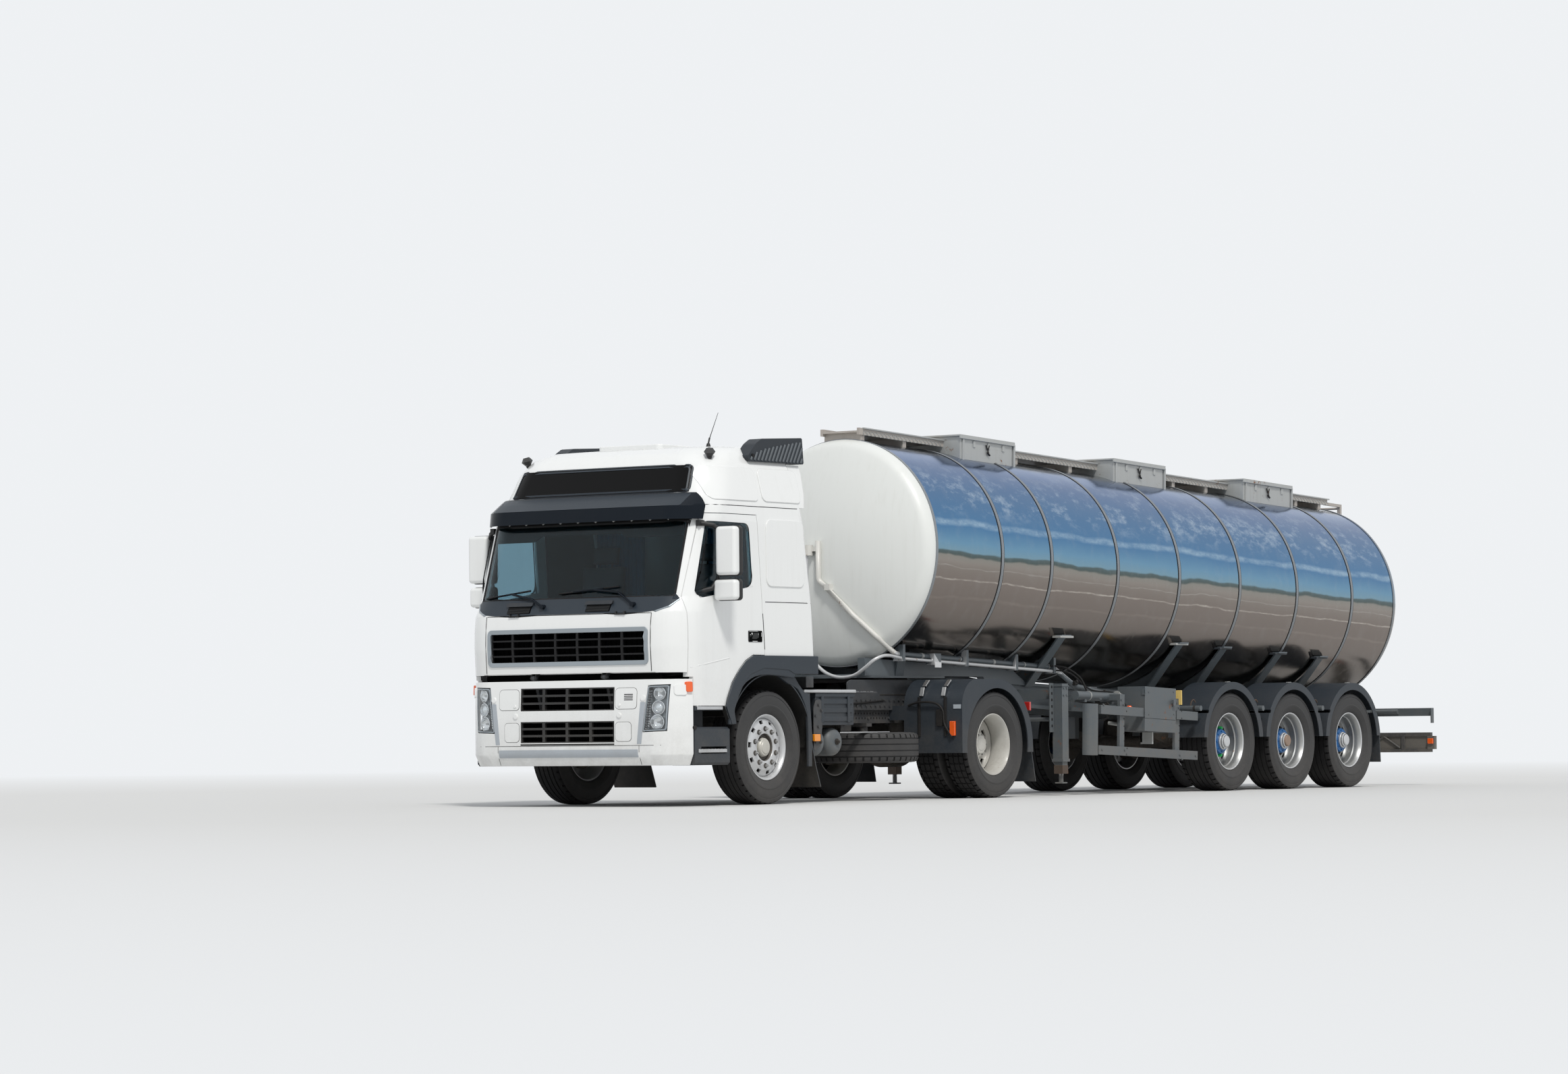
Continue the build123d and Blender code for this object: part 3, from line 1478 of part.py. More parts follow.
def rear_bumper():
    """Underrun bumper, lamp bars and hose carrier behind the trailer."""
    x = rail_rear
    beams = [
        block(x - 60, x - 10, -1190, 1190, z0, z1) for z0, z1 in ((545, 590), (368, 405))
    ]
    back = block(x - 32, x - 26, -1150, 1150, 400, 550)
    props = []
    for side in (-1, 1):
        leg_in = rail_y + rail_width / 2 + seat_gap
        leg = side_prism(
            [
                (x + 95, 830), (x, 830), (x - 60, 600), (x - 60, 368), (x - 12, 368),
                (x + 10, 560), (x + 95, 690),
            ],
            leg_in,
            leg_in + 15,
        )
        if side < 0:
            leg = mirrored(leg)
        ends = block(x - 62, x - 8, side * 1150, side * 1240, 400, 550)
        props += [leg, ends]
    bar_z = axis_z(x) - rail_top
    tube = rod_y(x - 40, bar_z - 20, 28, -770, 770)
    tray = block(x - 80, x - 60, -1200, 1200, bar_z - 70, bar_z + 20)
    ends = [block(x - 80, x - 20, side * 1188, side * 1200, bar_z - 150, bar_z + 20) for side in (-1, 1)]
    link = [block(x - 80, x - seat_gap, side * 450 - 35, side * 450 + 35, bar_z - 110, bar_z - 20)
            for side in (-1, 1)]
    uprights = [block(x - 62, x - 20, side * 450 - 30, side * 450 + 30, 380, bar_z - 60)
                for side in (-1, 1)]
    return fused(beams[0], back, beams[1], *props, *uprights, tube, *link, tray, *ends)


def pieces():
    """Every piece by its node name."""
    named = {
        "tractor_frame": tractor_frame(),
        "front_axle": front_axle(),
        "drive_axle": drive_axle(),
        "powertrain": powertrain(),
        "fifth_wheel": fifth_wheel(),
        "fuel_tank": fuel_tank(),
        "silencer": silencer(),
        "battery_box": battery_box(),
        "air_tanks": air_tanks(),
        "spare_wheel": spare_wheel(),
        "front_bumper": front_bumper(),
        "bumper_grilles": bumper_grilles(),
        "tractor_lamps": tractor_lamps(),
        "cab_steps": cab_steps(),
        "front_mudguards": front_mudguards(),
        "drive_mudguards": drive_mudguards(),
        "tie_rod": tie_rod(),
        "cab_shell": cab_shell(),
        "front_hatch": front_hatch(),
        "upper_grille": upper_grille(),
        "roof_front_panel": roof_front_panel(),
        "sun_visor": sun_visor(),
        "windscreen": windscreen(),
        "cab_cowl": cab_cowl(),
        "arch_trims": arch_trims(),
        "roof_deflectors": roof_deflectors(),
        "dashboard": dashboard(),
        "seats_and_bunk": Compound([*seats().solids(), *bunk().solids()]),
        "tank": tank(),
        "trailer_frame": trailer_frame(),
        "walkway": walkway(),
        "landing_legs": landing_legs(),
        "side_guards": side_guards(),
        "valve_cabinet": valve_cabinet(),
        "cabinet_door": cabinet_door(),
        "tank_pipes": tank_pipes(),
        "trailer_axles": trailer_axles(),
        "trailer_mudguards": trailer_mudguards(),
        "rear_bumper": rear_bumper(),
    }
    for name, shape in (
        ("door", door()),
        ("door_glass", door_glass()),
        ("mirrors", mirror_set()),
        ("knuckle", knuckle()),
        ("front_wheel", front_wheel()),
        ("drive_wheels", drive_wheels()),
    ):
        named[name + "_left"] = shape
        named[name + "_right"] = mirrored(shape)
    for row, x in enumerate(trailer_axle_x):
        wheel = trailer_wheel(x)
        named[f"trailer_wheel_{row + 1}_left"] = wheel
        named[f"trailer_wheel_{row + 1}_right"] = mirrored(wheel)
    for row in range(len(hatch_rows)):
        named[f"hatch_lid_{row + 1}"] = hatch_lid(row)
    return named


def main():
    named = pieces()
    boxes = [shape.bounding_box() for shape in named.values()]
    middle = (min(box.min.X for box in boxes) + max(box.max.X for box in boxes)) / 2
    os.makedirs("parts", exist_ok=True)
    for name, shape in named.items():
        export_step(Pos(-middle, 0, 0) * shape, os.path.join("parts", name + ".step"))
    print("middle of the lorry behind the front axle", round(-middle, 3))


if __name__ == "__main__":
    main()
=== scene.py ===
"""A tractor with a tank semi-trailer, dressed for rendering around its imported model."""

import json
import math

import bmesh
import bpy
from mathutils import Matrix, Vector
from mathutils.bvhtree import BVHTree

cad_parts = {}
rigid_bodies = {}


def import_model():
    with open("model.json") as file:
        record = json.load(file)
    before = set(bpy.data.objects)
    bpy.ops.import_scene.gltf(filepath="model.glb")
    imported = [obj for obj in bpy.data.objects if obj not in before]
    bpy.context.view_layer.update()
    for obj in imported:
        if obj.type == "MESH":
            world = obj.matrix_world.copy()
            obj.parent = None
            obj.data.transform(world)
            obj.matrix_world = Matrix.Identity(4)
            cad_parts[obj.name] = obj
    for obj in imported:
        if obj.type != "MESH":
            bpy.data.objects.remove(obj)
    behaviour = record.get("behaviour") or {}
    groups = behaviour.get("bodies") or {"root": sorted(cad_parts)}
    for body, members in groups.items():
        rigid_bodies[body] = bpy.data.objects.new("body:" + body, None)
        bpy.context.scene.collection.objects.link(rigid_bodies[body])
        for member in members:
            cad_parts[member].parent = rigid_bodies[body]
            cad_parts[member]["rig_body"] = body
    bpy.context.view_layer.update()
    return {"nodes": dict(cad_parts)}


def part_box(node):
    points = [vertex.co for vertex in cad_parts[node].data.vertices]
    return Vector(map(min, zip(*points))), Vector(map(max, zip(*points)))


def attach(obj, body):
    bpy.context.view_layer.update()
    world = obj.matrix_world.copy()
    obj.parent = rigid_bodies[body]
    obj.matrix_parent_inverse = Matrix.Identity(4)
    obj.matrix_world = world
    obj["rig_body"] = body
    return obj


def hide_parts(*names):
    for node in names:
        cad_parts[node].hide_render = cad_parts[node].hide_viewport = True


bl_info = {
    "name": "Tanker lorry",
    "version": (1, 0, 0),
    "blender": (4, 5, 0),
    "location": "View3D > Sidebar > Tanker lorry",
    "description": "Dresses the packed tanker lorry with detailed pieces and finishes",
    "category": "Object",
}

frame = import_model()
NODES = frame["nodes"]

HUB_HEIGHT = TYRE_RADIUS = 0.518
# Distance from the middle of the front axle back to the middle of the lorry
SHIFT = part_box("front_wheel_left")[0].x + TYRE_RADIUS
DRIVE_AXLE = -3.696
NUT_CIRCLE = 0.1675
TYRE_STEPS = 168
AXIS_X, AXIS_Z = -2.94, 2.39
# The tank's axis falls to the rear and passes through this point
TANK_AXIS = Vector((SHIFT + AXIS_X, 0, AXIS_Z))
TANK_SLOPE = math.radians(2.22)
TRAILER_AXLES = (-8.343, -9.654, -10.965)

MATERIALS = {}
GROUPS = {}
SURFACES = {}
SIDES = ((1, "left"), (-1, "right"))


class LorryColours(bpy.types.PropertyGroup):
    """Colours that a user may change."""

    cab: bpy.props.FloatVectorProperty(
        name="Cab paint", description="Colour of the cab's panels", subtype="COLOR", default=(0.87, 0.88, 0.87)
    )
    plastic: bpy.props.FloatVectorProperty(
        name="Dark plastic", description="Mudguards, trims and visor", subtype="COLOR", default=(0.024, 0.033, 0.044)
    )
    chassis: bpy.props.FloatVectorProperty(
        name="Trailer frame", description="Paint of the trailer's frame", subtype="COLOR", default=(0.085, 0.105, 0.12)
    )
    steel: bpy.props.FloatVectorProperty(
        name="Tank steel", description="Polished sheet of the tank", subtype="COLOR", default=(0.62, 0.63, 0.63)
    )
    dust: bpy.props.FloatVectorProperty(
        name="Road dust", description="Dust low on every piece", subtype="COLOR", default=(0.21, 0.18, 0.145)
    )


class LorrySizes(bpy.types.PropertyGroup):
    """Sizes that a user may change."""

    edge: bpy.props.FloatProperty(
        name="Edge radius", description="Rounding of sheet and plastic edges", default=0.003, unit="LENGTH"
    )
    tank_radius: bpy.props.FloatProperty(
        name="Tank radius", description="Radius of the tank's shell", default=1.105, unit="LENGTH"
    )
    tread_depth: bpy.props.FloatProperty(
        name="Tread depth", description="Depth of the grooves round the tyres", default=0.01, unit="LENGTH"
    )


def at(x, y, z):
    """A point measured from the middle of the front axle on the ground."""
    return Vector((x + SHIFT, y, z))


def tank_matrix():
    """Turns and moves a piece drawn about the origin's X axis onto the tank's axis."""
    return (
        Matrix.Translation(TANK_AXIS) @ Matrix.Rotation(-TANK_SLOPE, 4, "Y") @ Matrix.Translation((-TANK_AXIS.x, 0, 0))
    )


def tank_level(x):
    """Height of the tank's axis at x, which is measured from the front axle."""
    return AXIS_Z + (x - AXIS_X) * math.tan(TANK_SLOPE)


# Shader groups and materials


def new_group(name, outputs, **inputs):
    """An empty shader group; an input's kind follows from its default, and only Color is a colour output."""
    group = bpy.data.node_groups.new(name, "ShaderNodeTree")
    for socket, default in inputs.items():
        kind = "NodeSocketFloat" if isinstance(default, float) else "NodeSocketColor"
        group.interface.new_socket(socket, in_out="INPUT", socket_type=kind).default_value = default
    for socket in outputs:
        kind = "NodeSocketColor" if socket == "Color" else "NodeSocketFloat"
        group.interface.new_socket(socket, in_out="OUTPUT", socket_type=kind)
    return group, group.nodes.new("NodeGroupInput"), group.nodes.new("NodeGroupOutput")


def own_place(tree):
    """Places in a piece's own frame, for patterns that stay with it."""
    return tree.nodes.new("ShaderNodeTexCoord").outputs["Object"]


def add(tree, kind, **settings):
    """A node of one kind; settings name its properties or its input sockets."""
    node = tree.nodes.new(kind)
    for key, value in settings.items():
        if hasattr(node, key):
            setattr(node, key, value)
        else:
            node.inputs[key.replace("_", " ")].default_value = value
    return node


def join(tree, source, target):
    """Links an output socket to an input socket."""
    tree.links.new(source, target)


def mixed(tree, factor, first, second):
    """A colour mix; each argument is a socket or a value."""
    node = tree.nodes.new("ShaderNodeMix")
    node.data_type = "RGBA"
    for socket, value in ((node.inputs[0], factor), (node.inputs[6], first), (node.inputs[7], second)):
        if isinstance(value, bpy.types.NodeSocket):
            tree.links.new(value, socket)
        else:
            socket.default_value = value
    return node.outputs[2]


def math_node(tree, operation, first, second=None, clamp=False):
    """A number worked out from sockets or values."""
    node = tree.nodes.new("ShaderNodeMath")
    node.operation = operation
    node.use_clamp = clamp
    for socket, value in zip(node.inputs, (first, second)):
        if isinstance(value, bpy.types.NodeSocket):
            tree.links.new(value, socket)
        elif value is not None:
            socket.default_value = value
    return node.outputs[0]


def noise(tree, vector, scale, detail, roughness=0.6):
    """Fractal noise over a vector."""
    node = add(tree, "ShaderNodeTexNoise", Scale=scale, Detail=detail, Roughness=roughness)
    join(tree, vector, node.inputs["Vector"])
    return node.outputs["Fac"]


def ramp(tree, factor, low, high):
    """Stretches the range from low to high to the range from 0 to 1."""
    node = tree.nodes.new("ShaderNodeMapRange")
    node.inputs["From Min"].default_value = low
    node.inputs["From Max"].default_value = high
    join(tree, factor, node.inputs["Value"])
    return node.outputs["Result"]


def stretched(tree, vector, scale):
    """The vector scaled by three factors."""
    node = add(tree, "ShaderNodeMapping")
    node.inputs["Scale"].default_value = scale
    join(tree, vector, node.inputs["Vector"])
    return node.outputs["Vector"]


def road_dust_group():
    """Dust that thickens towards the ground and in patches; also dulls the finish."""
    group, given, out = new_group(
        "road_dust", ("Color", "Roughness", "Mask"), Color=(0.5, 0.5, 0.5, 1), Roughness=0.4, Dust=(0.2, 0.17, 0.14, 1),
        Amount=0.4, Height=1.0
    )
    place = own_place(group)
    split = group.nodes.new("ShaderNodeSeparateXYZ")
    join(group, place, split.inputs[0])
    low = math_node(group, "DIVIDE", split.outputs["Z"], given.outputs["Height"])
    low = math_node(group, "SUBTRACT", 1.15, low, clamp=True)
    low = math_node(group, "POWER", low, 1.4)
    patches = ramp(group, noise(group, place, 5.0, 5.0), 0.34, 0.66)
    fine = ramp(group, noise(group, place, 46.0, 3.0), 0.3, 0.75)
    cover = math_node(group, "MULTIPLY", patches, 0.55)
    cover = math_node(group, "ADD", cover, math_node(group, "MULTIPLY", fine, 0.35))
    cover = math_node(group, "ADD", cover, 0.15)
    mask = math_node(group, "MULTIPLY", math_node(group, "MULTIPLY", cover, low), given.outputs["Amount"])
    mask = math_node(group, "MINIMUM", mask, 0.92)
    join(group, mixed(group, mask, given.outputs["Color"], given.outputs["Dust"]), out.inputs["Color"])
    rough = math_node(group, "MULTIPLY", math_node(group, "SUBTRACT", 0.85, given.outputs["Roughness"]), mask)
    rough = math_node(group, "ADD", given.outputs["Roughness"], rough)
    join(group, rough, out.inputs["Roughness"])
    join(group, mask, out.inputs["Mask"])
    return group


def streaks_group():
    """Dirty runs down upright sheet, and faint blotches."""
    group, given, out = new_group(
        "streaks", ("Color", "Mask"), Color=(0.8, 0.8, 0.8, 1), Stain=(0.3, 0.25, 0.18, 1), Amount=0.2
    )
    place = own_place(group)
    runs = noise(group, stretched(group, place, (9.0, 9.0, 0.45)), 2.4, 5.0)
    blotch = noise(group, place, 1.6, 3.0)
    mask = math_node(group, "MULTIPLY", ramp(group, runs, 0.5, 0.78), ramp(group, blotch, 0.35, 0.7))
    mask = math_node(group, "MULTIPLY", mask, given.outputs["Amount"], clamp=True)
    join(group, mixed(group, mask, given.outputs["Color"], given.outputs["Stain"]), out.inputs["Color"])
    join(group, mask, out.inputs["Mask"])
    return group


def grain_group():
    """Moulded or cast surface grain as a height."""
    group, given, out = new_group("grain", ("Height",), Scale=400.0)
    place = own_place(group)
    fine = group.nodes.new("ShaderNodeTexNoise")
    fine.inputs["Detail"].default_value = 2.0
    join(group, place, fine.inputs["Vector"])
    join(group, given.outputs["Scale"], fine.inputs["Scale"])
    coarse = noise(group, place, 24.0, 3.0)
    height = math_node(group, "ADD", fine.outputs["Fac"], math_node(group, "MULTIPLY", coarse, 0.4))
    join(group, height, out.inputs["Height"])
    return group


def rust_group():
    """Rust spots that break through a finish."""
    group, given, out = new_group(
        "rust", ("Color", "Roughness", "Mask"), Color=(0.5, 0.5, 0.5, 1), Roughness=0.4, Amount=0.5
    )
    place = own_place(group)
    spots = math_node(group, "MULTIPLY", noise(group, place, 3.1, 6.0, 0.7), noise(group, place, 14.0, 5.0, 0.7))
    edge = math_node(group, "SUBTRACT", 0.42, math_node(group, "MULTIPLY", given.outputs["Amount"], 0.18))
    mask = math_node(group, "MULTIPLY", math_node(group, "SUBTRACT", spots, edge), 14.0, clamp=True)
    shade = mixed(group, noise(group, place, 60.0, 2.0), (0.16, 0.055, 0.02, 1), (0.3, 0.13, 0.05, 1))
    join(group, mixed(group, mask, given.outputs["Color"], shade), out.inputs["Color"])
    rough = math_node(group, "SUBTRACT", 0.85, given.outputs["Roughness"])
    rough = math_node(group, "MULTIPLY", rough, mask)
    join(group, math_node(group, "ADD", given.outputs["Roughness"], rough), out.inputs["Roughness"])
    join(group, mask, out.inputs["Mask"])
    return group


def placed(tree, name, **values):
    """A shader group placed in a material, with its own values."""
    if name not in GROUPS:
        GROUPS[name] = {
            "road_dust": road_dust_group, "streaks": streaks_group, "grain": grain_group, "rust": rust_group
        }[name]()
    node = tree.nodes.new("ShaderNodeGroup")
    node.node_tree = GROUPS[name]
    for key, value in values.items():
        node.inputs[key].default_value = value
    return node


def new_material(name):
    """An empty material with its node tree and its shader."""
    material = bpy.data.materials.new(name)
    material.use_nodes = True
    return material, material.node_tree, material.node_tree.nodes["Principled BSDF"]


def bumped(tree, shader, height, strength, distance=0.002):
    """Raises a surface by a height socket."""
    bump = add(tree, "ShaderNodeBump", Strength=strength, Distance=distance)
    join(tree, height, bump.inputs["Height"])
    join(tree, bump.outputs["Normal"], shader.inputs["Normal"])


def finish(
    name, color, roughness, metallic=0.0, coat=0.0, dust=0.3, height=1.0, rust=0.0, stain=0.0,
    stain_color=(0.3, 0.25, 0.18, 1), grain=0.0, grain_scale=400.0, dust_color=None, specular=0.5
):
    """A worn finish: base colour with stains, rust, dust and surface grain."""
    material, tree, shader = new_material(name)
    shader.inputs["Metallic"].default_value = metallic
    shader.inputs["Coat Weight"].default_value = coat
    shader.inputs["Coat Roughness"].default_value = 0.08
    shader.inputs["Specular IOR Level"].default_value = specular
    tone = dust_color or bpy.context.scene.lorry_colours.dust
    last = placed(
        tree, "road_dust", Color=(*color, 1), Roughness=roughness, Dust=(*tone, 1), Amount=dust, Height=height
    )
    if stain:
        runs = placed(tree, "streaks", Color=(*color, 1), Stain=stain_color, Amount=stain)
        join(tree, runs.outputs["Color"], last.inputs["Color"])
    if rust:
        spots = placed(tree, "rust", Amount=rust)
        join(tree, last.outputs["Color"], spots.inputs["Color"])
        join(tree, last.outputs["Roughness"], spots.inputs["Roughness"])
        last = spots
    join(tree, last.outputs["Color"], shader.inputs["Base Color"])
    join(tree, last.outputs["Roughness"], shader.inputs["Roughness"])
    if grain:
        skin = placed(tree, "grain", Scale=grain_scale)
        bumped(tree, shader, skin.outputs["Height"], grain)
    return material


def tank_steel_painted_reflections():
    """Polished sheet with painted reflections: sky tones painted above, ground tones below, reflected clouds and bright
    reflected lines; also water marks.
    """
    material, tree, shader = new_material("tank_steel_painted_reflections")
    shader.inputs["Metallic"].default_value = 1.0
    place = own_place(tree)
    turned_place = add(tree, "ShaderNodeMapping", vector_type="TEXTURE")
    turned_place.inputs["Location"].default_value = TANK_AXIS
    turned_place.inputs["Rotation"].default_value = (0, -TANK_SLOPE, 0)
    join(tree, place, turned_place.inputs["Vector"])
    along = turned_place.outputs["Vector"]
    split = tree.nodes.new("ShaderNodeSeparateXYZ")
    join(tree, along, split.inputs[0])
    # A wavy height for the painted reflection's horizon.
    reflection_ripple = noise(tree, stretched(tree, along, (0.9, 0.4, 2.0)), 1.5, 3.0)
    reflection_ripple = math_node(tree, "MULTIPLY", math_node(tree, "SUBTRACT", reflection_ripple, 0.5), 0.1)
    level = math_node(tree, "ADD", split.outputs["Z"], reflection_ripple)
    # Colours by height round the tank: a painted reflection of the sky above and the ground below.
    reflection_ramp = tree.nodes.new("ShaderNodeValToRGB")
    reflection_stops = (
        (-1.1, (0.06, 0.052, 0.045)), (-0.8, (0.13, 0.108, 0.092)), (-0.5, (0.2, 0.165, 0.145)),
        (-0.26, (0.235, 0.195, 0.172)), (-0.1, (0.27, 0.235, 0.205)), (-0.045, (0.24, 0.225, 0.195)),
        (-0.03, (0.045, 0.072, 0.066)), (0.0, (0.06, 0.1, 0.105)), (0.015, (0.165, 0.31, 0.4)),
        (0.1, (0.12, 0.285, 0.43)), (0.24, (0.045, 0.18, 0.36)), (0.6, (0.04, 0.145, 0.31)),
        (0.85, (0.016, 0.095, 0.27)), (0.98, (0.012, 0.11, 0.33)), (1.06, (0.2, 0.24, 0.28))
    )
    elements = reflection_ramp.color_ramp.elements
    while len(elements) < len(reflection_stops):
        elements.new(0.5)
    for stop, (height, color) in zip(elements, reflection_stops):
        stop.position = (height + 1.12) / 2.24
        stop.color = (*color, 1)
    join(tree, ramp(tree, level, -1.12, 1.12), reflection_ramp.inputs["Fac"])
    painted_reflection = reflection_ramp.outputs["Color"]
    reflected_wisps = noise(tree, stretched(tree, along, (1.6, 1.0, 3.4)), 2.6, 7.0, 0.72)
    cloud_reflection_belt = math_node(
        tree, "MULTIPLY", ramp(tree, split.outputs["Z"], 0.32, 0.52), ramp(tree, split.outputs["Z"], 0.98, 0.66)
    )
    reflected_clouds = math_node(tree, "MULTIPLY", ramp(tree, reflected_wisps, 0.5, 0.76), cloud_reflection_belt, clamp=True)
    painted_reflection = mixed(tree, math_node(tree, "MULTIPLY", reflected_clouds, 0.75), painted_reflection, (0.52, 0.62, 0.72, 1))
    # Bright lines along the shell: painted reflections.
    for height, width, strength, color in (
        (0.285, 0.042, 0.75, (0.34, 0.49, 0.62, 1)), (-0.145, 0.008, 0.55, (0.46, 0.43, 0.4, 1)),
        (-0.262, 0.011, 0.95, (0.54, 0.49, 0.44, 1)), (-0.43, 0.016, 0.3, (0.36, 0.31, 0.27, 1))
    ):
        gap = math_node(tree, "ABSOLUTE", math_node(tree, "SUBTRACT", level, height))
        line = math_node(tree, "MULTIPLY", ramp(tree, gap, width, width * 0.3), strength, clamp=True)
        line = math_node(tree, "MULTIPLY", line, ramp(tree, reflected_wisps, 0.28, 0.62), clamp=True)
        painted_reflection = mixed(tree, line, painted_reflection, color)
    marks = noise(tree, stretched(tree, along, (1.0, 1.0, 0.6)), 9.0, 7.0)
    haze = ramp(tree, marks, 0.52, 0.9)
    # Most of the colour is the painted reflection, with only a little of the base steel colour.
    base = tuple(bpy.context.scene.lorry_colours.steel)
    plain = mixed(tree, 0.94, (*base, 1), painted_reflection)
    plain = mixed(tree, math_node(tree, "MULTIPLY", haze, 0.12), plain, (0.55, 0.56, 0.56, 1))
    last = placed(tree, "road_dust", Dust=(0.17, 0.145, 0.12, 1), Amount=0.3, Height=1.45)
    join(tree, plain, last.inputs["Color"])
    rough = math_node(tree, "ADD", 0.15, math_node(tree, "MULTIPLY", haze, 0.16))
    join(tree, rough, last.inputs["Roughness"])
    join(tree, last.outputs["Color"], shader.inputs["Base Color"])
    join(tree, last.outputs["Roughness"], shader.inputs["Roughness"])
    waves = noise(tree, stretched(tree, along, (0.8, 1.6, 1.6)), 1.1, 2.0)
    bumped(tree, shader, waves, 0.25, 0.02)
    return material


def plain_glass(name, tint, roughness, ior):
    """Clear or tinted glass."""
    material, tree, shader = new_material(name)
    shader.inputs["Transmission Weight"].default_value = 1.0
    shader.inputs["IOR"].default_value = ior
    shader.inputs["Specular IOR Level"].default_value = 0.28
    last = placed(
        tree, "road_dust", Color=(*tint, 1), Roughness=roughness, Amount=0.1, Height=3.4, Dust=(0.35, 0.33, 0.3, 1)
    )
    join(tree, last.outputs["Color"], shader.inputs["Base Color"])
    shader.inputs["Roughness"].default_value = roughness
    return material


def tyre_rubber():
    """Rubber with fine rings on its sidewall, dust in the tread and a grey bloom."""
    material = finish(
        "tyre_rubber", (0.028, 0.028, 0.029), 0.62, dust=0.45, height=1.1, dust_color=(0.105, 0.096, 0.088)
    )
    tree = material.node_tree
    place = own_place(tree)
    fine = noise(tree, stretched(tree, place, (1.0, 3.0, 1.0)), 120.0, 3.0)
    bumped(tree, tree.nodes["Principled BSDF"], fine, 0.35)
    return material


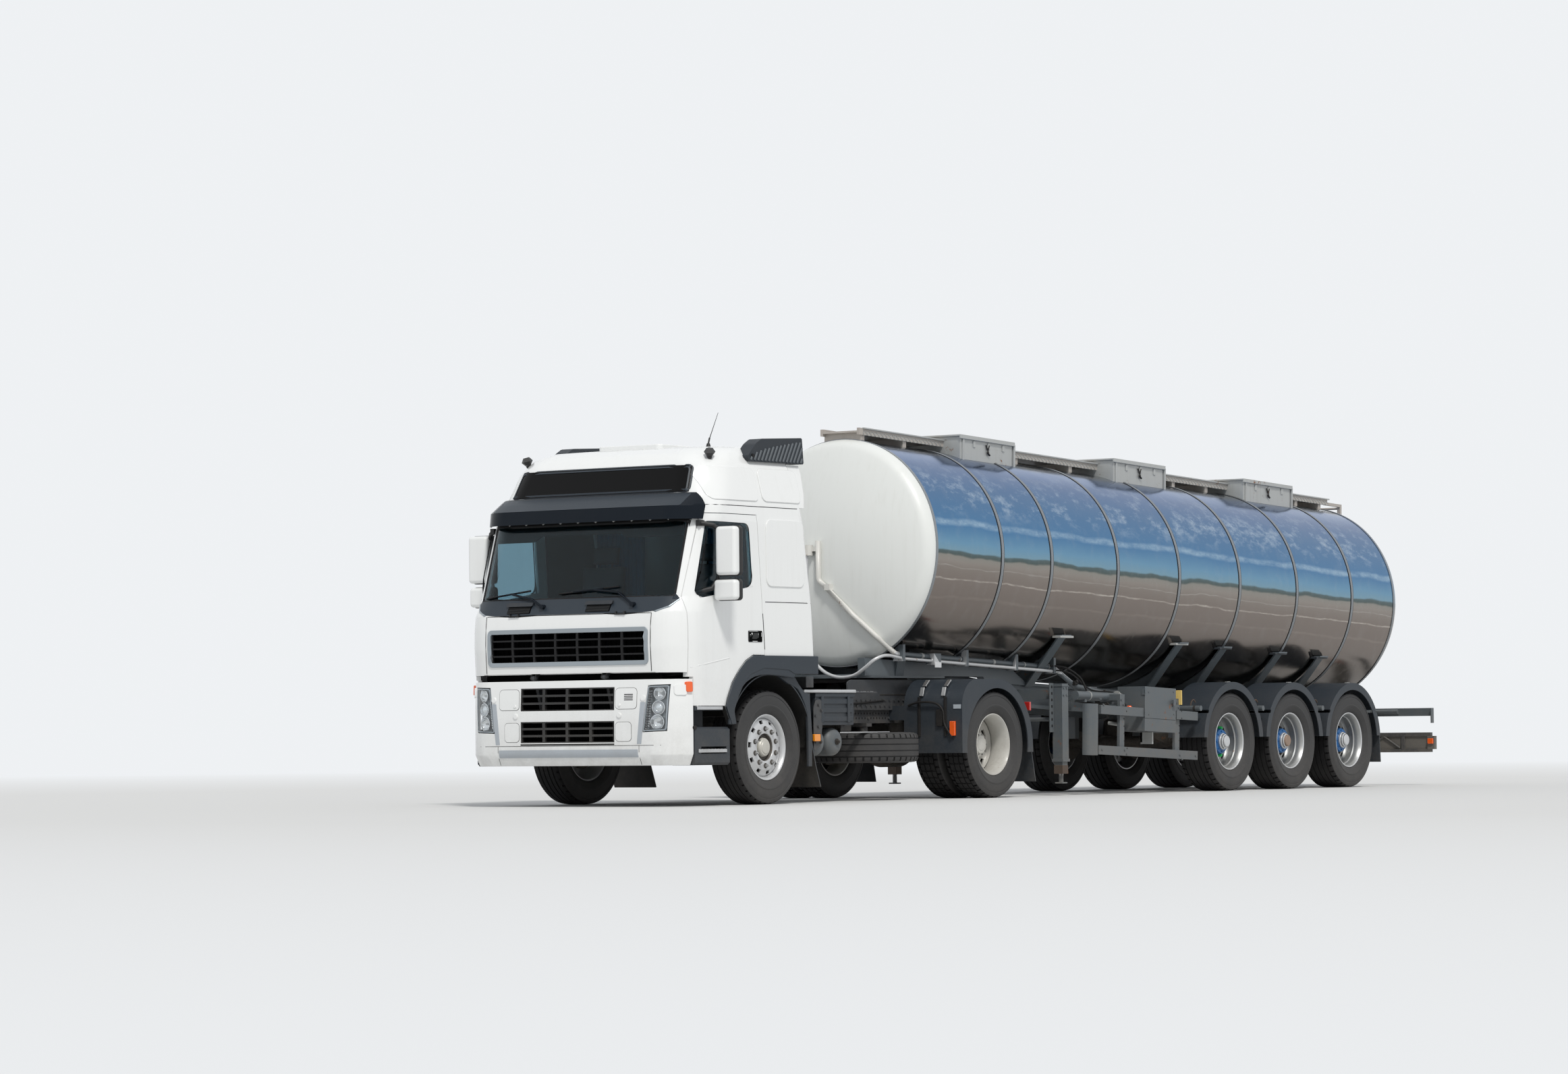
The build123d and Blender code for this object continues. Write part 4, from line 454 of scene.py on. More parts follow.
def palette(name):
    """The finish of each kind of piece, made when it is first asked for."""
    if name in MATERIALS:
        return MATERIALS[name]
    colours = bpy.context.scene.lorry_colours
    cab, plastic, chassis = tuple(colours.cab), tuple(colours.plastic), tuple(colours.chassis)
    recipes = {
        "cab_paint": (cab, 0.22, dict(coat=0.6, dust=0.28, height=1.5, stain=0.1, stain_color=(0.45, 0.42, 0.36, 1))),
        "bumper_paint": (
            cab, 0.25, dict(coat=0.5, dust=0.42, height=0.95, stain=0.12, stain_color=(0.4, 0.37, 0.32, 1))
        ),
        "head_paint": (
            (0.8, 0.815, 0.79), 0.4,
            dict(dust=0.42, height=1.6, stain=0.2, stain_color=(0.52, 0.52, 0.45, 1), dust_color=(0.42, 0.42, 0.36))
        ),
        "dark_plastic": (plastic, 0.45, dict(dust=0.3, height=1.25, grain=0.25, specular=0.35)),
        "ribbed_plastic": ((0.02, 0.026, 0.034), 0.5, dict(dust=0.2, height=3.4, grain=0.3, specular=0.35)),
        "rib_grey": ((0.095, 0.11, 0.125), 0.5, dict(dust=0.2, height=3.4, grain=0.3, specular=0.35)),
        "gloss_plastic": ((0.005, 0.009, 0.015), 0.2, dict(dust=0.06, height=3.0, specular=0.14)),
        "black_plastic": ((0.012, 0.0125, 0.013), 0.5, dict(dust=0.25, height=1.2, grain=0.3)),
        "black_gloss": ((0.0035, 0.0034, 0.0036), 0.16, dict(dust=0.02, height=3.0, specular=0.12)),
        "black_rubber": ((0.01, 0.01, 0.011), 0.6, dict(dust=0.15, height=1.4, specular=0.25)),
        "curtain_cloth": ((0.05, 0.15, 0.23), 0.9, dict(dust=0.02, height=3.0, grain=0.5, specular=0.1)),
        "pipe_white": ((0.72, 0.71, 0.67), 0.35, dict(dust=0.2, height=2.2, rust=0.42, stain=0.3)),
        "pipe_silver": ((0.58, 0.59, 0.6), 0.34, dict(metallic=0.35, dust=0.3, height=1.8, rust=0.2)),
        "hub_green": ((0.03, 0.66, 0.16), 0.5, dict(dust=0.1, height=1.1)),
        "silver_trim": ((0.33, 0.37, 0.4), 0.32, dict(metallic=0.5, coat=0.3, dust=0.12, height=1.5)),
        "grille_black": ((0.007, 0.007, 0.008), 0.4, dict(dust=0.12, height=1.4, specular=0.25)),
        "cab_lining": ((0.13, 0.135, 0.14), 0.9, dict(dust=0.02, height=3.0, grain=0.4)),
        # Darker rubber with less dust for the tread: painted shade.
        "shaded_tread_rubber": (
            (0.012, 0.012, 0.013), 0.75, dict(dust=0.22, height=1.0, dust_color=(0.07, 0.062, 0.055), specular=0.3)
        ),
        "cap_brown": ((0.34, 0.24, 0.18), 0.5, dict(metallic=0.3, dust=0.3, height=1.1, rust=0.5)),
        "cap_cream": ((0.6, 0.585, 0.53), 0.42, dict(metallic=0.2, dust=0.3, height=1.0, stain=0.25, rust=0.15)),
        "rusty_iron": ((0.085, 0.06, 0.045), 0.65, dict(metallic=0.2, dust=0.1, height=1.1, rust=0.5)),
        "amber_lens": ((0.92, 0.3, 0.006), 0.16, dict(coat=0.7, dust=0.1, height=1.3)),
        "end_panel": ((0.115, 0.11, 0.1), 0.6, dict(dust=0.6, height=1.1, rust=0.3)),
        # Pale blue-grey: painted shading and road reflection on the bumper's bevels; also the reflectors' own grey.
        "grey_strip": ((0.42, 0.46, 0.5), 0.3, dict(coat=0.3, dust=0.35, height=0.9)),
        "frame_paint": ((0.028, 0.034, 0.042), 0.5, dict(dust=0.75, height=1.3, rust=0.25, grain=0.3)),
        "trailer_paint": (chassis, 0.42, dict(dust=0.6, height=1.5, rust=0.28, grain=0.15, grain_scale=120.0)),
        "cast_iron": (
            (0.022, 0.021, 0.021), 0.65,
            dict(metallic=0.3, dust=0.85, height=1.1, rust=0.45, grain=0.6, grain_scale=160.0)
        ),
        "box_steel": (
            (0.47, 0.48, 0.47), 0.48,
            dict(
                metallic=0.35, dust=0.25, height=4.2, rust=0.42, stain=0.35, stain_color=(0.22, 0.2, 0.17, 1),
                grain=0.15, grain_scale=90.0, dust_color=(0.36, 0.34, 0.3)
            )
        ),
        "band_steel": ((0.27, 0.29, 0.31), 0.34, dict(metallic=0.7, dust=0.4, height=2.2, stain=0.3)),
        "kerb_steel": (
            (0.47, 0.43, 0.39), 0.5,
            dict(
                metallic=0.2, dust=0.25, height=4.2, rust=0.3, stain=0.35, stain_color=(0.2, 0.17, 0.15, 1), grain=0.15,
                grain_scale=90.0, dust_color=(0.36, 0.33, 0.29)
            )
        ),
        # Near-black that stands for shade: in hand holes, behind grilles and intake slats, behind the handle, in the
        # arches and in the gap under the hatch.
        "core_black": ((0.0015, 0.0015, 0.0017), 0.9, dict(dust=0.03, height=1.2, specular=0.05)),
        "nut_steel": ((0.22, 0.22, 0.21), 0.42, dict(metallic=0.8, dust=0.35, height=1.1, rust=0.2)),
        "hub_dark": ((0.13, 0.125, 0.12), 0.5, dict(metallic=0.5, dust=0.6, height=1.1, rust=0.3)),
        "leather": ((0.05, 0.053, 0.06), 0.6, dict(dust=0.03, height=3.0, grain=0.3)),
        "rim_silver": (
            (0.62, 0.63, 0.64), 0.3, dict(metallic=0.45, coat=0.2, dust=0.22, height=1.1, stain=0.2, rust=0.1)
        ),
        "rim_white": ((0.6, 0.59, 0.55), 0.38, dict(coat=0.1, dust=0.5, height=1.2, stain=0.25, rust=0.2)),
        "rim_trailer": ((0.4, 0.41, 0.41), 0.34, dict(metallic=0.7, dust=0.4, height=1.2, stain=0.3, rust=0.15)),
        "hub_blue": ((0.003, 0.11, 0.33), 0.4, dict(dust=0.14, height=1.1)),
        "steel": ((0.5, 0.5, 0.5), 0.34, dict(metallic=0.9, dust=0.4, height=1.2, rust=0.25)),
        "chrome": ((0.8, 0.81, 0.82), 0.08, dict(metallic=1.0, dust=0.05, height=1.5)),
        "aluminium": ((0.6, 0.61, 0.62), 0.34, dict(metallic=0.85, dust=0.45, height=1.2, stain=0.2)),
        "chrome_dull": ((0.66, 0.67, 0.68), 0.28, dict(metallic=0.8, dust=0.2, height=1.0, rust=0.1)),
        "mirror_glass": ((0.8, 0.83, 0.85), 0.03, dict(metallic=1.0, dust=0.04, height=3.0)),
        "orange_lens": ((0.88, 0.12, 0.012), 0.16, dict(coat=0.7, dust=0.1, height=1.3)),
        "red_lens": ((0.48, 0.012, 0.01), 0.16, dict(coat=0.7, dust=0.25, height=1.2)),
        "white_lens": ((0.72, 0.73, 0.74), 0.15, dict(coat=0.7, dust=0.15, height=1.2)),
        "yellow_plate": ((0.86, 0.62, 0.2), 0.4, dict(dust=0.3, height=1.3)),
        "cloth": ((0.085, 0.09, 0.102), 0.85, dict(dust=0.05, height=1.5, grain=0.8, grain_scale=260.0))
    }
    glasses = {"window_glass": ((0.36, 0.5, 0.56), 0.02, 1.28), "lamp_glass": ((0.93, 0.95, 0.96), 0.01, 1.45)}
    if name in recipes:
        color, roughness, details = recipes[name]
        material = finish(name, color, roughness, **details)
    elif name in glasses:
        material = plain_glass(name, *glasses[name])
    else:
        material = {"tank_steel_painted_reflections": tank_steel_painted_reflections, "tyre_rubber": tyre_rubber}[name]()
    MATERIALS[name] = material
    return material


# Building pieces


def new_piece(name, bm, body, finishes, node=(), smooth=40, recalc=True, edge=0, cuts=2):
    """A finished piece from a bmesh; it rides on a body, may stand for CAD nodes and have soft edges."""
    if recalc:
        bmesh.ops.recalc_face_normals(bm, faces=bm.faces)
    mesh = bpy.data.meshes.new(name)
    bm.to_mesh(mesh)
    bm.free()
    for kind in [finishes] if isinstance(finishes, str) else finishes:
        mesh.materials.append(palette(kind))
    mesh.shade_smooth()
    mesh.set_sharp_from_angle(angle=math.radians(smooth))
    piece = bpy.data.objects.new(name, mesh)
    bpy.context.scene.collection.objects.link(piece)
    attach(piece, body)
    nodes = [node] if isinstance(node, str) else list(node)
    if nodes:
        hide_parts(*nodes)
    if edge:
        soft_edges(piece, edge, cuts)
    return piece


def merged_copy(node):
    """A bmesh of a CAD node with its triangles merged into flat faces."""
    bm = bmesh.new()
    bm.from_mesh(NODES[node].data)
    bmesh.ops.remove_doubles(bm, verts=bm.verts, dist=0.00002)
    bmesh.ops.dissolve_limit(bm, angle_limit=math.radians(0.03), verts=bm.verts, edges=bm.edges)
    return bm


def surface(node):
    """A tree for finding points on a CAD node's surface."""
    if node not in SURFACES:
        bm = bmesh.new()
        bm.from_mesh(NODES[node].data)
        SURFACES[node] = BVHTree.FromBMesh(bm)
        bm.free()
    return SURFACES[node]


def first_hit(nodes, start, direction):
    """The nearest point that a ray meets on some CAD nodes."""
    hits = [surface(node).ray_cast(start, direction) for node in nodes]
    hits = [hit for hit in hits if hit[0] is not None]
    return min(hits, key=lambda hit: hit[3])[0] if hits else None


def from_front(nodes, y, z):
    """Where a level line from ahead of the lorry first meets the CAD pieces."""
    return first_hit(nodes, Vector((20, y, z)), Vector((-1, 0, 0)))


def wrap_front(bm, nodes):
    """Moves points along X so that their x is measured from the front surface."""
    last = None
    for vert in bm.verts:
        hit = from_front(nodes, vert.co.y, vert.co.z)
        last = hit.x if hit else last
        vert.co.x += last


def wrap_side(bm, nodes, side):
    """Moves points along Y so that their y is measured out from the side surface."""
    last = 1.245
    for vert in bm.verts:
        hit = first_hit(nodes, Vector((vert.co.x, 3 * side, vert.co.z)), Vector((0, -side, 0)))
        last = abs(hit.y) if hit else last
        vert.co.y = side * (last + vert.co.y)


def rounded_plate(bm, corners, axis, low, high, radius=0.0, material=0):
    """A plate with rounded corners. corners are (u, v) pairs in the plane across axis."""
    order = {"X": lambda u, v: (low, u, v), "Y": lambda u, v: (u, low, v), "Z": lambda u, v: (u, v, low)}
    verts = [bm.verts.new(order[axis](u, v)) for u, v in corners]
    face = bm.faces.new(verts)
    if radius:
        rounded = bmesh.ops.bevel(
            bm, geom=verts, offset=radius, segments=5, affect="VERTICES", profile=0.5, material=-1
        )
        face = max(
            rounded["faces"] + [f for f in bm.faces if f.is_valid and f.verts[0] in rounded["verts"]],
            key=lambda f: f.calc_area()
        )
    face.material_index = material
    span = {"X": Vector((high - low, 0, 0)), "Y": Vector((0, high - low, 0)), "Z": Vector((0, 0, high - low))}
    grown = bmesh.ops.extrude_face_region(bm, geom=[face], use_keep_orig=True)
    tops = [item for item in grown["geom"] if isinstance(item, bmesh.types.BMVert)]
    bmesh.ops.translate(bm, verts=tops, vec=span[axis])
    paint(tops, material)


def paint(verts, material):
    """Gives the faces at some points their material."""
    for face in {f for vert in verts for f in vert.link_faces}:
        face.material_index = material


def slab(bm, low, high, material=0, turn=None):
    """A box between two corners, turned about its middle if turn is given."""
    low, high = Vector(low), Vector(high)
    matrix = Matrix.Translation((low + high) / 2)
    if turn:
        matrix = matrix @ turn
    matrix = matrix @ Matrix.Diagonal((*[abs(v) for v in high - low], 1))
    made = bmesh.ops.create_cube(bm, size=1.0, matrix=matrix)
    paint(made["verts"], material)


def rod(bm, start, end, radius, segments, material=0, end_radius=None):
    """A round bar or cone between two points."""
    start, end = Vector(start), Vector(end)
    run = end - start
    turn = run.to_track_quat("Z", "Y").to_matrix().to_4x4()
    made = bmesh.ops.create_cone(
        bm, cap_ends=True, segments=segments, radius1=radius, radius2=radius if end_radius is None else end_radius,
        depth=run.length, matrix=Matrix.Translation((start + end) / 2) @ turn
    )
    paint(made["verts"], material)


def ball(bm, centre, radius, segments, material=0):
    """A ball."""
    made = bmesh.ops.create_uvsphere(
        bm, u_segments=segments, v_segments=segments // 2, radius=radius, matrix=Matrix.Translation(centre)
    )
    paint(made["verts"], material)


def turned(bm, profile, matrix, steps, material=0):
    """A form turned about X from (x, radius) points, then placed; the profile is open or closed."""
    verts = [bm.verts.new((x, 0, r)) for x, r in profile]
    edges = [bm.edges.new(pair) for pair in zip(verts, verts[1:])]
    before = set(bm.faces)
    bmesh.ops.spin(bm, geom=verts + edges, cent=(0, 0, 0), axis=(1, 0, 0), angle=math.tau, steps=steps, use_merge=True)
    faces = [f for f in bm.faces if f not in before]
    points = list({v for f in faces for v in f.verts})
    bmesh.ops.remove_doubles(bm, verts=points, dist=0.00005)
    faces = [f for f in faces if f.is_valid]
    points = list({v for f in faces for v in f.verts})
    for face in faces:
        face.material_index = material
    bmesh.ops.transform(bm, matrix=matrix, verts=points)


def hub_matrix(x, y, side):
    """Places a wheel drawn about X, its outer face at +X, on a hub; y is its middle plane."""
    turn = Matrix.Rotation(math.radians(90 * side), 4, "Z")
    return Matrix.Translation((x + SHIFT, side * y, HUB_HEIGHT)) @ turn


def soft_edges(piece, width, segments):
    """Rounds a piece's sharp edges and keeps its flats flat."""
    bevel = piece.modifiers.new("edges", "BEVEL")
    bevel.width = width
    bevel.segments = segments
    bevel.limit_method = "ANGLE"
    bevel.angle_limit = math.radians(40)
    bevel.use_clamp_overlap = True
    bevel.harden_normals = False
    weights = piece.modifiers.new("flats", "WEIGHTED_NORMAL")
    weights.keep_sharp = True


def dressed(node, kind, edge, pick=None):
    """A CAD node's own shape with soft edges; pick chooses a face's finish from its middle."""
    bm = merged_copy(node)
    if pick:
        bm.normal_update()
        for face in bm.faces:
            face.material_index = pick(face.calc_center_median() - Vector((SHIFT, 0, 0)), face.normal)
    new_piece(node + "_dressed", bm, NODES[node]["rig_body"], kind, node=node, smooth=35, recalc=False, edge=edge)


# Operators, one for each piece or group of like pieces, and the functions that they call


def seen_directly(tree):
    """1 for what the camera sees, also in gloss and through glass."""
    path = tree.nodes.new("ShaderNodeLightPath")
    seen = math_node(tree, "MAXIMUM", path.outputs["Is Camera Ray"], path.outputs["Is Glossy Ray"])
    return math_node(tree, "MAXIMUM", seen, path.outputs["Is Transmission Ray"])


def blend_shaders(tree, factor, first, second, output):
    """Sends a blend of two shaders to an output node."""
    mix = tree.nodes.new("ShaderNodeMixShader")
    join(tree, factor, mix.inputs[0])
    join(tree, first.outputs[0], mix.inputs[1])
    join(tree, second.outputs[0], mix.inputs[2])
    join(tree, mix.outputs[0], tree.nodes[output].inputs["Surface"])


def pale_floor(context):
    """A pale floor that fades into the background."""
    bm = bmesh.new()
    bmesh.ops.create_circle(bm, cap_ends=True, segments=96, radius=140)
    mesh = bpy.data.meshes.new("floor")
    bm.to_mesh(mesh)
    bm.free()
    floor = bpy.data.objects.new("floor", mesh)
    context.scene.collection.objects.link(floor)
    material, tree, shader = new_material("pale_floor")
    shader.inputs["Base Color"].default_value = (0.7, 0.7, 0.69, 1)
    shader.inputs["Roughness"].default_value = 0.9
    glow = add(tree, "ShaderNodeEmission", Strength=1.0)
    glow.inputs["Color"].default_value = (0.86, 0.88, 0.9, 1)
    place = own_place(tree)
    length = add(tree, "ShaderNodeVectorMath", operation="LENGTH")
    join(tree, place, length.inputs[0])
    fade = ramp(tree, length.outputs["Value"], 14.0, 46.0)
    blend = math_node(tree, "MULTIPLY", fade, seen_directly(tree))
    blend_shaders(tree, blend, shader, glow, "Material Output")
    mesh.materials.append(material)


def soft_light(context):
    """An even sky with one soft sun from the camera's side."""
    world = bpy.data.worlds.new("pale_world")
    world.use_nodes = True
    tree = world.node_tree
    ground = tree.nodes["Background"]
    ground.inputs["Color"].default_value = (0.92, 0.95, 1.0, 1)
    ground.inputs["Strength"].default_value = 0.55
    shown = add(tree, "ShaderNodeBackground", Strength=1.0)
    shown.inputs["Color"].default_value = (0.86, 0.88, 0.9, 1)
    blend_shaders(tree, seen_directly(tree), ground, shown, "World Output")
    context.scene.world = world
    sun = bpy.data.lights.new("sun", "SUN")
    sun.energy = 1.9
    sun.angle = math.radians(9)
    sun.color = (1.0, 0.98, 0.94)
    lamp = bpy.data.objects.new("sun", sun)
    lamp.rotation_euler = Vector((0.62, 0.72, 1.15)).to_track_quat("Z", "Y").to_euler()
    context.scene.collection.objects.link(lamp)


class LORRY_OT_stage(bpy.types.Operator):
    """Camera at the photograph's view, pale floor and soft light"""

    bl_idname = "lorry.stage"
    bl_label = "Stage"

    def execute(self, context):
        yaw, pitch, roll = math.radians(35.152), math.radians(2.424), math.radians(-0.5653)
        ahead = Vector((-math.cos(yaw) * math.cos(pitch), -math.sin(yaw) * math.cos(pitch), math.sin(pitch)))
        level = ahead.cross(Vector((0, 0, 1))).normalized()
        over = level.cross(ahead)
        right = level * math.cos(roll) + over * math.sin(roll)
        up = over * math.cos(roll) - level * math.sin(roll)
        data = bpy.data.cameras.new("camera")
        data.sensor_width = 36
        data.lens = 108.55
        data.clip_end = 300
        camera = bpy.data.objects.new("camera", data)
        context.scene.collection.objects.link(camera)
        matrix = Matrix((right, up, -ahead)).transposed().to_4x4()
        matrix.translation = at(34.9647, 25.9819, 0.6076)
        camera.matrix_world = matrix
        context.scene.camera = camera
        pale_floor(context)
        soft_light(context)
        context.scene.view_settings.view_transform = "Standard"
        return {"FINISHED"}


def head_pipes():
    """The tank's pipes; the loop under the front head runs in one soft curve."""
    bm = merged_copy("tank_pipes")
    bm.normal_update()
    loop = []
    for face in bm.faces:
        spot = face.calc_center_median() - Vector((SHIFT, 0, 0))
        face.material_index = pipe_finish(spot, face.normal)
        if spot.x > -2.735 and spot.z < 1.5:
            loop.append(face)
    bmesh.ops.delete(bm, geom=loop, context="FACES")
    hose(
        bm,
        [
            at(-2.52, -0.141, 1.52), at(-2.52, -0.125, 1.43), at(-2.517, -0.06, 1.325), at(-2.515, 0.05, 1.232),
            at(-2.515, 0.175, 1.184), at(-2.515, 0.3, 1.177), at(-2.52, 0.41, 1.2), at(-2.53, 0.515, 1.266),
            at(-2.565, 0.6, 1.34), at(-2.65, 0.645, 1.377), at(-2.76, 0.653, 1.38)
        ], 0.017, 14, 2
    )
    new_piece(
        "tank_pipes_dressed", bm, "trailer", ("trailer_paint", "pipe_white", "pipe_silver"), node="tank_pipes",
        recalc=False
    )


def shell_finish(spot, out):
    """Paint; black on faces that face down low on the cab, on the arch faces and on the rim in the gap under the hatch,
    as painted shade; black also at the hinge lugs and in two bands by the windscreen; lined inside.
    """
    outward = math.copysign(1, spot.y) * out.y
    lugs_and_gap_shade = spot.x > 1.3 and (spot.z < 1.213 and abs(spot.y) < 0.945 or (1.68 < spot.z < 1.75 and abs(spot.y) < 0.8))
    brow = spot.x > 0.95 and abs(spot.y) < 1.1 and (2.515 < spot.z < 2.61 or 1.85 < spot.z < 1.885)
    arch = spot.z < 1.36 and -0.6 < spot.x < 1.2 and outward < 0.6
    # Black here is painted shade on the downward faces, the arch faces and the rim in the hatch gap.
    if lugs_and_gap_shade or brow or arch or (out.z < -0.5 and spot.z < 1.9):
        return 1
    lined = outward < -0.5 and abs(spot.y) > 1.0
    lined = lined or (out.x > 0.5 and spot.x < -0.55) or (out.z < -0.5 and spot.z > 3.0)
    return 2 if lined else 0


def walkway_finish(spot, out):
    """Grey boxes round the hatches, beige kerbs between them."""
    return int(any(end - 0.03 < spot.x < start + 0.03 for start, end in BOX_ROWS))


def pipe_finish(spot, out):
    """Dark along the tank, white down its head, silver on the looped and lower pipes."""
    level = spot.z - tank_level(spot.x)
    if spot.x > -2.94:
        return 2 if spot.z < 1.42 or (spot.y < -0.12 and spot.z < 2.34) else 1
    return 2 if spot.x > -5.9 and spot.y > 0.638 and level < -1.012 and level > -1.06 else 0


class LORRY_OT_plain(bpy.types.Operator):
    """CAD pieces whose own shape is right, with soft edges and worn finishes"""

    bl_idname = "lorry.plain"
    bl_label = "Plain pieces"

    def execute(self, context):
        edge = context.scene.lorry_sizes.edge
        rows = (
            ("door_left", "cab_paint", edge), ("door_right", "cab_paint", edge), ("front_bumper", "bumper_paint", edge),
            ("upper_grille", "grille_black", edge), ("bumper_grilles", "black_plastic", edge),
            ("cab_steps", "dark_plastic", edge * 2), ("windscreen", "window_glass", 0),
            ("door_glass_left", "window_glass", 0), ("door_glass_right", "window_glass", 0),
            ("roof_front_panel", "black_gloss", edge), ("sun_visor", "gloss_plastic", edge),
            ("arch_trims", "dark_plastic", edge * 2), ("roof_deflectors", "ribbed_plastic", edge * 3),
            ("dashboard", "black_plastic", edge), ("tractor_frame", "frame_paint", edge),
            ("front_axle", "cast_iron", edge), ("drive_axle", "cast_iron", edge), ("powertrain", "cast_iron", edge),
            ("fifth_wheel", "cast_iron", edge), ("fuel_tank", "aluminium", edge), ("silencer", "steel", edge),
            ("battery_box", "dark_plastic", edge), ("air_tanks", "trailer_paint", 0),
            ("drive_mudguards", "dark_plastic", edge * 2), ("tie_rod", "cast_iron", edge),
            ("knuckle_left", "cast_iron", edge), ("knuckle_right", "cast_iron", edge),
            ("trailer_frame", "trailer_paint", edge), ("landing_legs", "trailer_paint", edge),
            ("side_guards", "trailer_paint", edge * 2), ("valve_cabinet", "trailer_paint", edge),
            ("cabinet_door", "trailer_paint", edge), ("trailer_axles", "cast_iron", edge),
            ("trailer_mudguards", "dark_plastic", edge), ("hatch_lid_1", "box_steel", edge),
            ("hatch_lid_2", "box_steel", edge), ("hatch_lid_3", "box_steel", edge)
        )
        for node, kind, width in rows:
            dressed(node, kind, width)
        dressed(
            "front_hatch", ("cab_paint", "black_plastic"), edge,
            pick=lambda spot, out: int(spot.z > 1.7 and spot.x > 1.44)
        )
        dressed("cab_shell", ("cab_paint", "black_plastic", "cab_lining"), edge, pick=shell_finish)
        dressed("walkway", ("kerb_steel", "box_steel"), edge, pick=walkway_finish)
        dressed(
            "rear_bumper", ("trailer_paint", "end_panel", "frame_paint"), edge,
            pick=lambda spot, out: 0 if spot.z > 0.62 else 1 if 0.41 < spot.z < 0.54 else 2
        )
        dressed(
            "front_mudguards", ("black_plastic", "dark_plastic"), edge,
            pick=lambda spot, out: int(abs(spot.y) > 1.1 and spot.z > 0.43 and spot.x < 0.1)
        )
        head_pipes()
        return {"FINISHED"}


FRONT_RIM = -2.9
REAR_RIM = -12.21
SEAM_BANDS = (-4.08, -4.99, -6.26, -7.49, -8.75, -9.99, -11.23)


def dished_head(radius):
    """Points (distance ahead of the rim, radius) of a dished head, rim first."""
    crown, start = 3.0, 1.01
    turn = math.asin(start / crown)
    knuckle = (radius - start) / (1 - math.sin(turn))
    points = []
    for step in range(9):
        angle = math.radians(90) + (turn - math.radians(90)) * step / 8
        points.append((knuckle * math.cos(angle), radius - knuckle + knuckle * math.sin(angle)))
    edge = knuckle * math.cos(turn)
    for step in range(1, 15):
        angle = turn * (1 - step / 14)
        points.append((edge + crown * (math.cos(angle) - math.cos(turn)), crown * math.sin(angle)))
    return points


class LORRY_OT_tank(bpy.types.Operator):
    """Polished shell with white front head, dark seam bands and rims"""

    bl_idname = "lorry.tank"
    bl_label = "Tank"

    def execute(self, context):
        radius = context.scene.lorry_sizes.tank_radius
        bm = bmesh.new()
        place = tank_matrix()
        front = [(FRONT_RIM + dx + SHIFT, r) for dx, r in dished_head(radius)]
        rear = [(REAR_RIM - dx + SHIFT, r) for dx, r in dished_head(radius)]
        stations = [REAR_RIM + (FRONT_RIM - REAR_RIM) * step / 10 for step in range(11)]
        turned(bm, [(x + SHIFT, radius) for x in stations], place, steps=128)
        turned(bm, front, place, steps=128, material=1)
        turned(bm, rear, place, steps=128)
        for x in SEAM_BANDS:
            profile = [
                (-0.021, radius - 0.002), (-0.021, radius + 0.005), (-0.014, radius + 0.008), (-0.006, radius + 0.004),
                (0.006, radius + 0.004), (0.014, radius + 0.008), (0.021, radius + 0.005), (0.021, radius - 0.002)
            ]
            turned(bm, [(x + SHIFT + dx, r) for dx, r in profile], place, steps=128, material=2)
            for edge in (-0.026, 0.026):
                profile = [
                    (-0.006, radius - 0.002), (-0.004, radius + 0.003), (0.004, radius + 0.003), (0.006, radius - 0.002)
                ]
                turned(bm, [(x + edge + SHIFT + dx, r) for dx, r in profile], place, steps=128, material=3)
        for x in (FRONT_RIM - 0.008, REAR_RIM + 0.008):
            profile = [
                (-0.016, radius - 0.002), (-0.016, radius + 0.007), (0.016, radius + 0.007), (0.016, radius - 0.006)
            ]
            turned(bm, [(x + SHIFT + dx, r) for dx, r in profile], place, steps=128, material=2)
        new_piece(
            "tank_shell", bm, "trailer", ("tank_steel_painted_reflections", "head_paint", "band_steel", "black_rubber"), node="tank",
            smooth=28
        )
        return {"FINISHED"}


def tyre_profile(width, grooves, depth):
    """(x, radius) points of a tyre from its outer bead round to its inner bead."""
    half = width / 2
    side = [
        (half - 0.048, 0.2868), (half - 0.047, 0.3), (half - 0.034, 0.306), (half - 0.016, 0.33), (half - 0.004, 0.366),
        (half - 0.0005, 0.372), (half, 0.378), (half - 0.0005, 0.384), (half - 0.003, 0.388), (half - 0.002, 0.425),
        (half - 0.004, 0.452), (half - 0.01, 0.468), (half - 0.006, 0.472), (half - 0.01, 0.487), (half - 0.018, 0.503),
        (half - 0.03, 0.512)
    ]
    crown = [(half - 0.042, 0.5145)]
    for y in grooves:
        crown += [
            (y + 0.006, TYRE_RADIUS), (y + 0.0045, TYRE_RADIUS - depth), (y - 0.0045, TYRE_RADIUS - depth),
            (y - 0.006, TYRE_RADIUS)
        ]
    return side + crown + [(-x, r) for x, r in reversed(side + crown[:1])]


def cut_slits(bm, faces, centre, depth):
    """Pushes single faces of a tread in towards the wheel's axis, with upright walls."""
    made = bmesh.ops.extrude_discrete_faces(bm, faces=faces)
    for face in made["faces"]:
        for vert in face.verts:
            out = Vector((vert.co.x - centre.x, 0, vert.co.z - centre.z)).normalized()
            vert.co -= out * depth


def tyre(name, wheel, x, y, side, width, grooves, depth, blocks=False):
    """One tyre; blocks cuts its ribs into blocks."""
    bm = bmesh.new()
    turned(bm, tyre_profile(width, grooves, depth), hub_matrix(x, y, side), steps=TYRE_STEPS)
    centre = at(x, side * y, HUB_HEIGHT)
    slit_tread(bm, centre, width, blocks)
    # The tread faces take the darker rubber: painted shade on the tread.
    for face in bm.faces:
        spot = face.calc_center_median() - centre
        face.material_index = int(math.hypot(spot.x, spot.z) > 0.499 and abs(spot.y) < width / 2 - 0.014)
    new_piece(name, bm, wheel, ("tyre_rubber", "shaded_tread_rubber"), smooth=30)


